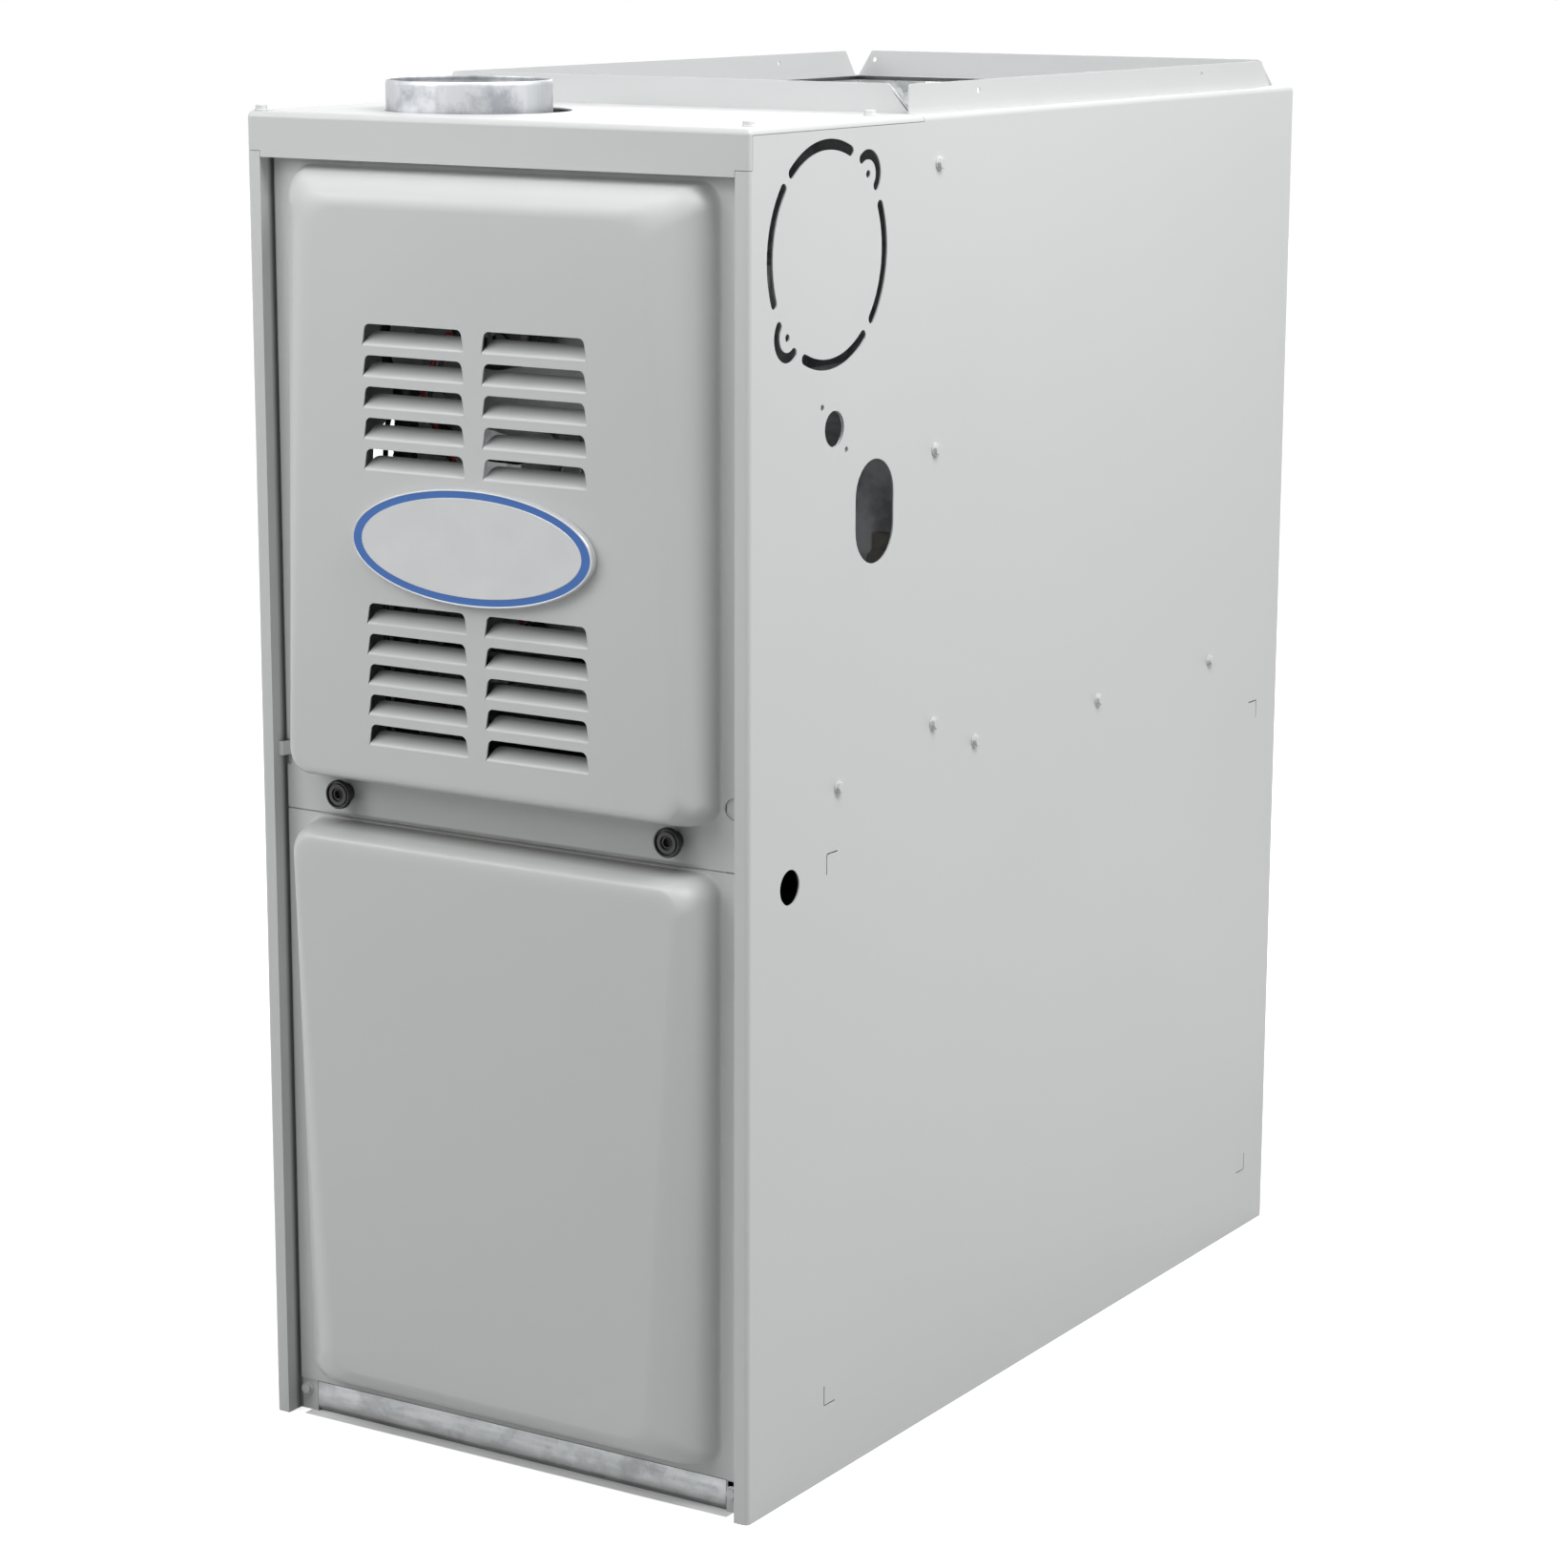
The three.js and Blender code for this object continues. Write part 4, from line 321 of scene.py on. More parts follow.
def make_spangle():
    """Zinc crystals: flat cells, each with its own tone, and faint borders."""
    tree, enter, leave, place = effect(
        "spangle",
        [("Flake Scale", FLOAT, 110.0), ("Warp", FLOAT, 0.004)],
        [("Flake", FLOAT), ("Border", FLOAT)],
    )
    moved = warped(tree, place, clouds(tree, place, 160.0, 3.0), enter["Warp"])
    flakes = {"Vector": moved, "Scale": enter["Flake Scale"]}
    cells = node(tree, "ShaderNodeTexVoronoi", flakes)
    edge = node(tree, "ShaderNodeTexVoronoi", flakes, feature="DISTANCE_TO_EDGE")
    tone = node(tree, "ShaderNodeSeparateColor", {0: cells.outputs["Color"]}).outputs[0]
    link(tree, tone, leave, "Flake")
    border = spread(tree, edge.outputs["Distance"], 1.0, 0.0, 0.0, 0.06)
    link(tree, border, leave, "Border")
    return tree


print("even sheet and spangle ready")

# %% Rolled sheet and dust
def make_rolled():
    """Streaks along one direction; Stretch squeezes the pattern across it."""
    tree, enter, leave, place = effect(
        "rolled streaks",
        [("Stretch", VECTOR, (1.0, 1.0, 0.04)), ("Streak Scale", FLOAT, 260.0),
         ("Mottle Scale", FLOAT, 55.0)],
        [("Streak", FLOAT), ("Mottle", FLOAT)],
    )
    along = vectors(tree, "MULTIPLY", place, enter["Stretch"])
    streak = clouds(tree, along, enter["Streak Scale"], 4.0)
    mottle = clouds(tree, place, enter["Mottle Scale"], 5.0, Roughness=0.65)
    link(tree, streak.outputs[0], leave, "Streak")
    link(tree, mottle.outputs[0], leave, "Mottle")
    return tree


def make_dust():
    """Dust that settles on faces that look up, in uneven patches, and soils the foot."""
    tree, enter, leave, place = effect(
        "settled dust",
        [("Amount", FLOAT, 0.3), ("Foot Height", FLOAT, 0.06)],
        [("Dust", FLOAT)],
    )
    normal = node(tree, "ShaderNodeNewGeometry").outputs["Normal"]
    facing = spread(tree, parts_of(tree, normal)["Z"], 0.0, 1.0, 0.5, 1.0)
    foot = spread(tree, parts_of(tree, place)["Z"], 0.6, 0.0, 0.0, enter["Foot Height"])
    patches = clouds(tree, place, 35.0, 4.0).outputs[0]
    dusty = times(tree, times(tree, maths(tree, "MAXIMUM", facing, foot), patches), enter["Amount"])
    link(tree, dusty, leave, "Dust")
    return tree


EFFECTS = {
    "even": make_even_sheet(), "spangle": make_spangle(), "rolled": make_rolled(),
    "dust": make_dust(),
}
print("effects:", [tree.name for tree in EFFECTS.values()])

# %% [markdown]
# ## Finishes
# Each finish is one Principled shader. Numbers that hold all over a surface are typed on its
# sockets. What changes over the surface, such as tone, roughness and fine relief, comes from the
# effects above, and `relief` makes a normal from a height in millimetres.

# %% Finish tools
def finish(name, color, roughness, metallic=0.0):
    """A new material, its tree and its Principled shader."""
    made = bpy.data.materials.new(name)
    made.use_nodes = True
    made.diffuse_color = (*color, 1)
    tree = made.node_tree
    shader = tree.nodes["Principled BSDF"]
    shader.inputs["Base Color"].default_value = (*color, 1)
    shader.inputs["Roughness"].default_value = roughness
    shader.inputs["Metallic"].default_value = metallic
    return made, tree, shader


def use(tree, name, **values):
    """Places a shared effect in a material."""
    made = node(tree, "ShaderNodeGroup", node_tree=EFFECTS[name])
    for label, value in values.items():
        made.inputs[label.replace("_", " ")].default_value = value
    return made.outputs


def relief(tree, shader, height, millimetres, strength):
    values = {"Height": height, "Distance": millimetres / 1000, "Strength": strength}
    bump = node(tree, "ShaderNodeBump", values)
    link(tree, bump.outputs[0], shader, "Normal")


DUST_COLOR = (0.36, 0.35, 0.33)
print("finish tools ready")

# %% [markdown]
# ### Painted and plated sheet
# The casing is powder painted: satin, nearly even, with a fine orange peel. Shade is painted into
# its colour in the seam between the doors (with a little dirt there), deep in the louvres and in the
# gap beside the left stile, so it is masked by place, with the places measured from the cabinet's
# planes. The base strip, the deck and the blower are galvanised, with visible spangle, and shade is
# painted on galvanised sheet near the floor. The vent collar and the parts that see flue gas are
# aluminised, which is duller, streaky and a little stained.

# %% Painted shade on the paint
# Painted shade colours: the darkest for the louvres and the side gap, and a warm one for the seam, which
# is shade with a little dirt.
PAINTED_DEEP_SHADE, SEAM_SHADE_AND_DIRT = (0.045, 0.043, 0.042), (0.085, 0.08, 0.075)
DOOR_RIM_Y = (0.0132, 0.0136)
SEAM_HALF_WIDTH, SEAM_Y, SEAM_Z = WIDTH / 2 - 47.0, (-6.0, 11.0), (400.0, 407.4)
LOUVRES_HALF_WIDTH, LOUVRES_Y, LOUVRES_Z = 92.0, (-17.5, -9.5), (460.0, 735.0)
SIDE_GAP_X, SIDE_GAP_Y = (9.2, 11.5), (9.0, 14.6)


def within(tree, value, low, high, fade):
    """1 between two places in mm on an axis, 0 beyond them, with soft ends."""
    enter = spread(tree, value, 0.0, 1.0, (low - fade) / 1000, (low + fade) / 1000)
    leave = spread(tree, value, 1.0, 0.0, (high - fade) / 1000, (high + fade) / 1000)
    return times(tree, enter, leave)


def painted_door_shade(tree, half_width, width_fade, depths, heights, height_fade):
    """Painted shade on the doors, with a little dirt in the seam, deepening from one depth to another,
    between two heights.
    """
    x, y, z = parts_of(tree, object_place(tree))
    aside = maths(tree, "ABSOLUTE", maths(tree, "SUBTRACT", x, CORNER.x + WIDTH / 2000))
    inner, outer = (half_width - width_fade) / 1000, (half_width + width_fade) / 1000
    sides = spread(tree, aside, 1.0, 0.0, inner, outer)
    from_front = maths(tree, "SUBTRACT", y, CORNER.y)
    depth = spread(tree, from_front, 0.0, 1.0, depths[0] / 1000, depths[1] / 1000)
    door_only = spread(tree, from_front, 1.0, 0.0, *DOOR_RIM_Y)
    band = within(tree, z, *heights, height_fade)
    return times(tree, times(tree, sides, depth), times(tree, door_only, band))


def side_gap_shade(tree):
    """Where shade is painted: the narrow gap between the left stile's return and the doors."""
    x, y, _ = parts_of(tree, object_place(tree))
    across = within(tree, maths(tree, "SUBTRACT", x, CORNER.x), *SIDE_GAP_X, 0.5)
    deep = within(tree, maths(tree, "SUBTRACT", y, CORNER.y), *SIDE_GAP_Y, 2.0)
    return times(tree, across, deep)


# The masks above paint shade in the seam (with a little dirt there), in the louvres and in the gap.
print("dirt in the seam, the louvres and the gap")

# %% Sheet finishes
def make_paint():
    made, tree, shader = finish("satin_grey_paint", (0.60, 0.612, 0.612), 0.4)
    even = use(tree, "even", Cloud_Scale=7.0, Peel_Scale=520.0)
    dust = use(tree, "dust", Amount=0.16)["Dust"]
    tone = blend(tree, even["Tone"], (0.585, 0.598, 0.600), (0.625, 0.636, 0.634))
    dusty = blend(tree, dust, tone, DUST_COLOR)
    # Painted shade: the seam (with a little dirt there), the louvres' depths and the gap beside the left
    # stile are darkened.
    seam = painted_door_shade(tree, SEAM_HALF_WIDTH, 11.0, SEAM_Y, SEAM_Z, 1.2)
    louvres = painted_door_shade(tree, LOUVRES_HALF_WIDTH, 1.0, LOUVRES_Y, LOUVRES_Z, 2.0)
    dusty_and_shaded = blend(tree, times(tree, seam, 0.82), dusty, SEAM_SHADE_AND_DIRT)
    dusty_and_shaded = blend(tree, times(tree, louvres, 0.62), dusty_and_shaded, PAINTED_DEEP_SHADE)
    dusty_and_shaded = blend(tree, times(tree, side_gap_shade(tree), 0.8), dusty_and_shaded, PAINTED_DEEP_SHADE)
    link(tree, dusty_and_shaded, shader, "Base Color")
    link(tree, spread(tree, even["Tone"], 0.36, 0.46, 0.3, 0.7), shader, "Roughness")
    relief(tree, shader, even["Height"], 0.05, 0.35)
    return made


def make_galvanised():
    made, tree, shader = finish("galvanised_sheet", (0.50, 0.52, 0.53), 0.42, 0.85)
    spangle = use(tree, "spangle", Flake_Scale=150.0)
    rolled = use(tree, "rolled", Stretch=(0.16, 0.3, 1.0), Streak_Scale=170.0, Mottle_Scale=38.0)
    dust = use(tree, "dust", Amount=0.3)["Dust"]
    flakes = blend(tree, spangle["Flake"], (0.32, 0.335, 0.345), (0.40, 0.415, 0.425))
    rub = spread(tree, rolled["Streak"], 0.0, 0.7, 0.42, 0.68)
    rubbed = blend(tree, rub, flakes, (0.57, 0.58, 0.59))
    stain = spread(tree, rolled["Mottle"], 0.0, 0.62, 0.5, 0.7)
    stained = blend(tree, stain, rubbed, (0.2, 0.205, 0.205))
    # Painted shade: below about 6 to 13.5 mm, with a wavy edge, the galvanised colour is darkened for
    # the shade under the furnace.
    height = parts_of(tree, object_place(tree))[2]
    uneven = maths(tree, "MULTIPLY_ADD", rolled["Mottle"], 0.005, height)
    foot = spread(tree, uneven, 0.55, 0.0, 0.006, 0.0135)
    stained = blend(tree, foot, stained, (0.15, 0.148, 0.142))
    link(tree, blend(tree, dust, stained, DUST_COLOR), shader, "Base Color")
    link(tree, spread(tree, rolled["Streak"], 0.34, 0.55), shader, "Roughness")
    relief(tree, shader, rolled["Streak"], 0.03, 0.25)
    return made


def make_aluminised():
    made, tree, shader = finish("aluminised_sheet", (0.50, 0.515, 0.535), 0.45, 0.85)
    rolled = use(tree, "rolled", Streak_Scale=240.0, Mottle_Scale=30.0)
    streaked = blend(tree, rolled["Streak"], (0.49, 0.50, 0.515), (0.60, 0.61, 0.63))
    stain = spread(tree, rolled["Mottle"], 0.0, 0.85, 0.46, 0.64)
    link(tree, blend(tree, stain, streaked, (0.27, 0.28, 0.305)), shader, "Base Color")
    link(tree, spread(tree, rolled["Mottle"], 0.34, 0.6), shader, "Roughness")
    relief(tree, shader, rolled["Streak"], 0.03, 0.3)
    return made


def make_cast():
    made, tree, shader = finish("cast_metal", (0.47, 0.48, 0.48), 0.5, 0.8)
    even = use(tree, "even", Cloud_Scale=60.0, Peel_Scale=420.0)
    tone = blend(tree, even["Tone"], (0.38, 0.39, 0.39), (0.56, 0.57, 0.57))
    link(tree, tone, shader, "Base Color")
    link(tree, spread(tree, even["Height"], 0.42, 0.6), shader, "Roughness")
    relief(tree, shader, even["Height"], 0.12, 0.5)
    return made


def make_zinc():
    made, tree, shader = finish("bright_zinc", (0.66, 0.67, 0.68), 0.3, 0.9)
    rolled = use(tree, "rolled", Streak_Scale=500.0, Mottle_Scale=160.0)
    tone = blend(tree, rolled["Mottle"], (0.55, 0.56, 0.57), (0.74, 0.75, 0.76))
    link(tree, tone, shader, "Base Color")
    link(tree, spread(tree, rolled["Mottle"], 0.24, 0.42), shader, "Roughness")
    return made


print("sheet finishes ready")

# %% [markdown]
# ### Plastics, enamel and ceramic
# Moulded nylon has a fine texture and no metal in it. Black enamel on motors is glossier. A
# circuit board is green mask over copper tracks, drawn here with a brick pattern whose joints are
# the tracks. Steatite is off-white with a faint speckle.

# %% Plastic and ceramic finishes
def make_moulded(name, dark, light, roughness, texture=0.05, metallic=0.0):
    """A moulded or sprayed solid colour with a fine skin texture."""
    made, tree, shader = finish(name, light, roughness, metallic)
    even = use(tree, "even", Cloud_Scale=40.0, Peel_Scale=900.0)
    link(tree, blend(tree, even["Tone"], dark, light), shader, "Base Color")
    link(tree, spread(tree, even["Tone"], roughness * 0.85, roughness * 1.15), shader, "Roughness")
    relief(tree, shader, even["Height"], texture, 0.4)
    return made


def make_board_mask():
    made, tree, shader = finish("circuit_board", (0.02, 0.13, 0.06), 0.35)
    upright = {"Vector": object_place(tree), "Rotation": (math.pi / 2, 0, 0)}
    turned_over = node(tree, "ShaderNodeMapping", upright).outputs[0]
    tracks = node(tree, "ShaderNodeTexBrick", {
        "Vector": turned_over, "Scale": 140.0, "Mortar Size": 0.09,
        "Brick Width": 0.9, "Row Height": 0.42,
    })
    mask = blend(tree, tracks.outputs["Fac"], (0.012, 0.10, 0.05), (0.05, 0.22, 0.11))
    link(tree, mask, shader, "Base Color")
    relief(tree, shader, tracks.outputs["Fac"], 0.04, 0.4)
    return made


def make_felt():
    made, tree, shader = finish("black_glass_mat", (0.02, 0.02, 0.02), 0.95)
    rolled = use(tree, "rolled", Stretch=(1.0, 0.35, 0.5), Streak_Scale=700.0, Mottle_Scale=30.0)
    fibres = blend(tree, rolled["Streak"], (0.008, 0.008, 0.009), (0.055, 0.055, 0.056))
    link(tree, fibres, shader, "Base Color")
    relief(tree, shader, rolled["Streak"], 0.5, 0.8)
    return made


def make_foil():
    made, tree, shader = finish("foil_facing", (0.78, 0.79, 0.79), 0.28, 0.95)
    place = object_place(tree)
    wander = clouds(tree, place, 14.0, 4.0)
    bent = warped(tree, place, wander, 0.05)
    wrinkles = {"Vector": bent, "Scale": 34.0}
    cells = node(tree, "ShaderNodeTexVoronoi", wrinkles, feature="DISTANCE_TO_EDGE")
    crease = spread(tree, cells.outputs["Distance"], 1.0, 0.0, 0.0, 0.22)
    relief(tree, shader, crease, 1.2, 0.8)
    link(tree, blend(tree, crease, (0.74, 0.75, 0.75), (0.86, 0.87, 0.87)), shader, "Base Color")
    link(tree, spread(tree, wander.outputs[0], 0.2, 0.38), shader, "Roughness")
    return made


print("plastic finishes ready")

# %% Every finish
FINISHES = {
    "paint": make_paint(),
    "galvanised": make_galvanised(),
    "aluminised": make_aluminised(),
    "cast_metal": make_cast(),
    "zinc": make_zinc(),
    "black_plastic": make_moulded(
        "black_nylon", (0.010, 0.010, 0.010), (0.022, 0.021, 0.020), 0.42,
    ),
    "motor_black": make_moulded(
        "black_enamel", (0.012, 0.012, 0.014), (0.03, 0.03, 0.033), 0.33, 0.08,
    ),
    "nameplate": make_moulded(
        "badge_silver", (0.56, 0.575, 0.58), (0.64, 0.65, 0.655), 0.34, 0.03, metallic=0.25),
    "badge_blue": make_moulded(
        "badge_blue", (0.038, 0.137, 0.44), (0.052, 0.172, 0.51), 0.32, 0.03,
    ),
    "circuit_board": make_board_mask(),
    "ceramic": make_moulded("steatite", (0.66, 0.63, 0.56), (0.78, 0.76, 0.70), 0.5, 0.1),
    "rubber": make_moulded("black_silicone", (0.012, 0.012, 0.012), (0.03, 0.03, 0.03), 0.62, 0.08),
    "red_plastic": make_moulded("red_button", (0.42, 0.03, 0.02), (0.52, 0.05, 0.035), 0.35),
    "dark_felt": make_felt(),
    "foil": make_foil(),
    "brass": make_moulded(
        "brass", (0.50, 0.34, 0.12), (0.62, 0.44, 0.18), 0.3, 0.03, metallic=0.95,
    ),
    "white_card": make_moulded("white_card", (0.66, 0.66, 0.64), (0.74, 0.74, 0.72), 0.7, 0.03),
}
WIRE_TONES = {
    "red": ((0.40, 0.02, 0.015), (0.50, 0.04, 0.03)),
    "white": ((0.62, 0.62, 0.60), (0.72, 0.72, 0.70)),
    "yellow": ((0.60, 0.42, 0.03), (0.70, 0.50, 0.05)),
    "blue": ((0.02, 0.06, 0.30), (0.03, 0.09, 0.38)),
    "black": ((0.010, 0.010, 0.010), (0.02, 0.02, 0.02)),
}
for name, (dark, light) in WIRE_TONES.items():
    FINISHES[f"wire_{name}"] = make_moulded(f"{name}_wire", dark, light, 0.45)
SLOT_OF = {part["node"]: part["material_slot"] for part in frame["record"]["subparts"]}
BODIES = frame["record"]["behaviour"]["bodies"]
BODY_OF = {name: body for body, names in BODIES.items() for name in names}
SLOT_FINISH = {**{name: name for name in FINISHES}, "wiring": "wire_red"}
for name, solid in frame["nodes"].items():
    solid.data.materials.clear()
    solid.data.materials.append(FINISHES[SLOT_FINISH[SLOT_OF[name]]])
print(len(FINISHES), "finishes")

# %% [markdown]
# ## Tools for shapes
# Sheet metal is drawn as outlines: a rounded outline is cut from flat sheet, a ring of points is
# lofted to the next ring, and a turned part is a profile carried round an axis. `piece` makes the
# mesh object with its finish, `cut_away` subtracts cutters with Blender's exact boolean and keeps
# a plain mesh, and `soften` rounds sharp edges a little, so that they catch the light as pressed
# metal does. `finish_piece` hands a piece to the frame, and `stand_in` hands over one that replaces
# a solid.

# %% Outlines
def rounded(points, radius, steps=6):
    """Rounds the corners of a closed outline; radius is one number or one for each corner."""
    result = []
    count = len(points)
    for i, point in enumerate(points):
        r = radius[i] if isinstance(radius, (list, tuple)) else radius
        corner = Vector(point)
        if r <= 0:
            result.append(corner)
            continue
        before = (Vector(points[i - 1]) - corner).normalized()
        after = (Vector(points[(i + 1) % count]) - corner).normalized()
        half = before.angle(after) / 2
        centre = corner + (before + after).normalized() * (r / math.sin(half))
        start = corner + before * (r / math.tan(half)) - centre
        end = corner + after * (r / math.tan(half)) - centre
        sweep = start.angle_signed(end)
        for k in range(steps + 1):
            a = -sweep * k / steps
            turned_arm = Vector((
                start.x * math.cos(a) - start.y * math.sin(a),
                start.x * math.sin(a) + start.y * math.cos(a),
            ))
            result.append(centre + turned_arm)
    return result


def arc(centre, radius, start, end, steps):
    """Points on an arc, with its angles in degrees."""
    angles = [math.radians(start + (end - start) * i / steps) for i in range(steps + 1)]
    u, v = centre
    return [Vector((u + radius * math.cos(a), v + radius * math.sin(a))) for a in angles]


def polar(centre, radius, degrees):
    """The point at one angle of an arc."""
    return arc(centre, radius, degrees, degrees, 1)[0]


def rectangle(u0, u1, v0, v1):
    return [(u0, v0), (u1, v0), (u1, v1), (u0, v1)]


print("outline tools ready")

# %% Meshes
def new_object(name, mesh):
    made = bpy.data.objects.new(name, mesh)
    bpy.context.scene.collection.objects.link(made)
    return made


def piece(name, vertices, faces, color):
    """A mesh object with one finish, from places in metres; its faces are turned outwards."""
    mesh = bpy.data.meshes.new(name)
    mesh.from_pydata([tuple(v) for v in vertices], [], faces)
    shape = bmesh.new()
    shape.from_mesh(mesh)
    bmesh.ops.remove_doubles(shape, verts=shape.verts, dist=1e-6)
    bmesh.ops.recalc_face_normals(shape, faces=shape.faces)
    shape.to_mesh(mesh)
    shape.free()
    mesh.materials.append(FINISHES[color])
    return new_object(name, mesh)


def ring_faces(rings, count, closed_ends=True):
    faces = []
    for r in range(rings - 1):
        for i in range(count):
            a, b = r * count + i, r * count + (i + 1) % count
            faces.append((a, b, b + count, a + count))
    if closed_ends:
        faces.append(tuple(range(count))[::-1])
        faces.append(tuple(range((rings - 1) * count, rings * count)))
    return faces


AXES = {"x": (1, 2, 0), "y": (2, 0, 1), "z": (0, 1, 2)}


def on_axis(axis, u, v, w):
    """Outline points are (y, z) along x, (z, x) along y and (x, y) along z."""
    place = [0.0, 0.0, 0.0]
    for index, value in zip(AXES[axis], (u, v, w)):
        place[index] = value
    return at(*place)


def prism(name, axis, outline, low, high, color="paint"):
    count = len(outline)
    vertices = [on_axis(axis, u, v, w) for w in (low, high) for u, v in outline]
    return piece(name, vertices, ring_faces(2, count), color)


def block(name, x, y, z, color="paint"):
    """A box between two places on each axis, for use as a cutter or as the start of a part."""
    return prism(name, "z", rectangle(x[0], x[1], y[0], y[1]), z[0], z[1], color)


def turned(name, axis, centre, profile, color, steps=48):
    """Carries a profile of (radius, distance) round an axis through centre, in cabinet mm."""
    vertices, faces = [], []
    count = len(profile)
    for i in range(steps):
        a = 2 * math.pi * i / steps
        for radius, distance in profile:
            offset = Vector((0, 0, 0))
            offset[AXES[axis][0]] = radius * math.cos(a)
            offset[AXES[axis][1]] = radius * math.sin(a)
            offset[AXES[axis][2]] = distance
            vertices.append(at(*(Vector(centre) + offset)))
        for k in range(count - 1):
            here, there = i * count + k, (i + 1) % steps * count + k
            faces.append((here, here + 1, there + 1, there))
    return piece(name, vertices, faces, color)


print("mesh tools ready")

# %% Cuts and soft edges
def settle(made):
    """Turns the evaluated result of a piece's modifiers into its plain mesh."""
    bpy.context.view_layer.update()
    graph = bpy.context.evaluated_depsgraph_get()
    mesh = bpy.data.meshes.new_from_object(made.evaluated_get(graph), depsgraph=graph)
    old = made.data
    made.modifiers.clear()
    made.data = mesh
    mesh.name = made.name
    bpy.data.meshes.remove(old)
    return made


def discard(made):
    mesh = made.data
    bpy.data.objects.remove(made)
    bpy.data.meshes.remove(mesh)


def combine(made, others, operation):
    """Cuts away, adds or keeps in common the other pieces, which are used up."""
    for other in others:
        step = made.modifiers.new(other.name, "BOOLEAN")
        step.operation, step.solver, step.object = operation, "EXACT", other
    settle(made)
    for other in others:
        discard(other)
    return made


def cut_away(made, *cutters):
    return combine(made, cutters, "DIFFERENCE")


def add_to(made, *others):
    return combine(made, others, "UNION")


def smooth(made, degrees=35):
    """Smooth shading that breaks at sharp edges and stays flat on large faces."""
    mesh = made.data
    mesh.polygons.foreach_set("use_smooth", [True] * len(mesh.polygons))
    mesh.set_sharp_from_angle(angle=math.radians(degrees))
    step = made.modifiers.new("weighted", "WEIGHTED_NORMAL")
    step.mode, step.weight, step.keep_sharp = "FACE_AREA", 50, True
    return settle(made)


def soften(made, width=0.3, segments=2, degrees=40, corner=35):
    """Bevels the sharp edges by a fraction of a millimetre and keeps flat faces flat."""
    step = made.modifiers.new("soft edges", "BEVEL")
    step.width, step.segments, step.angle_limit = width / 1000, segments, math.radians(degrees)
    step.limit_method, step.use_clamp_overlap, step.harden_normals = "ANGLE", True, False
    return smooth(settle(made), corner)


def finish_piece(made, body, color_slot, *replaced):
    """Hands a finished piece to the frame: what it rides on and what it replaces. color_slot is not
    used.
    """
    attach(made, body)
    if replaced:
        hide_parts(*replaced)
    print(f"{made.name}: {len(made.data.polygons)} faces")
    return made


def stand_in(made, name):
    """Hands over a piece that replaces one solid and rides on that solid's body."""
    return finish_piece(made, BODY_OF[name], SLOT_OF[name], name)


print("cutting tools ready")

# %% [markdown]
# ## The doors
# Each door is one sheet, drawn in a press: a flat rim sits behind the stiles, and the middle stands
# out 30 mm in a broad panel. Its face is a trapezium, narrower at the top on the upper door and at
# the foot on the lower one. The sheet is lofted here from rings: the rim, the panel's foot, a
# shoulder that rises steeply and leans in towards the face, and the face itself. Solidify gives the
# sheet its thickness afterwards, inwards, so the outside stays where it was drawn.

# %% Door sizes
DOOR_Y = 12.0
STILE = 10.0
BULGE = 30.3
BULGE_X = 27.6
RIM_X = (11.3, WIDTH - 10.7)
FACE_Y = DOOR_Y - BULGE
UPPER = {
    "rim": (406.5, 817.0), "foot": (433.0, 813.5), "face": (439.6, 797.0),
    "sides": (38.4, 59.7), "bend": (4, 6, 4),
}
LOWER = {
    "rim": (21.5, 405.5), "foot": (28.3, 403.0), "face": (45.0, 397.5),
    "sides": (62.0, 39.7), "bend": (3, 9, 3.5),
}
KNOB_X = {"left": 59.5, "right": WIDTH - 59.5}
KNOB_Z, STUD_HOLE_R = 421.5, 3.6
RIM_HOLE, RIM_HOLE_R = (350.5, 445), 7
NOTCH_Z = (434.5, 450.6)
CORNER_STEPS = 10
FOOT_CORNER, FACE_CORNER = 14.0, 16.0
FOOT_BEND = 1.4


def bezier(points, steps):
    """Points on a quadratic or cubic curve."""
    for k in range(steps + 1):
        row, t = [Vector(p) for p in points], k / steps
        while len(row) > 1:
            row = [p.lerp(q, t) for p, q in zip(row, row[1:])]
        yield tuple(row[0])


def shoulder():
    """From the foot to the face: shares of the way across and out, and of both bends."""
    foot = bezier([(0.0, 0.0, 0.0, 1.0), (0.0, 0.0, 0.0, 0.0), (0.045, 0.12, 0.0, 0.0)], 5)
    slope = bezier([(0.045, 0.12), (0.15, 0.50), (0.40, 0.80), (0.86, 0.945)], 12)
    face = bezier([(0.86, 0.945, 0.0, 0.0), (1.0, 0.995, 0.13, 0.0), (1.0, 1.0, 1.0, 0.0)], 8)
    return [*foot, *[(*p, 0.0, 0.0) for p in slope][1:-1], *face]


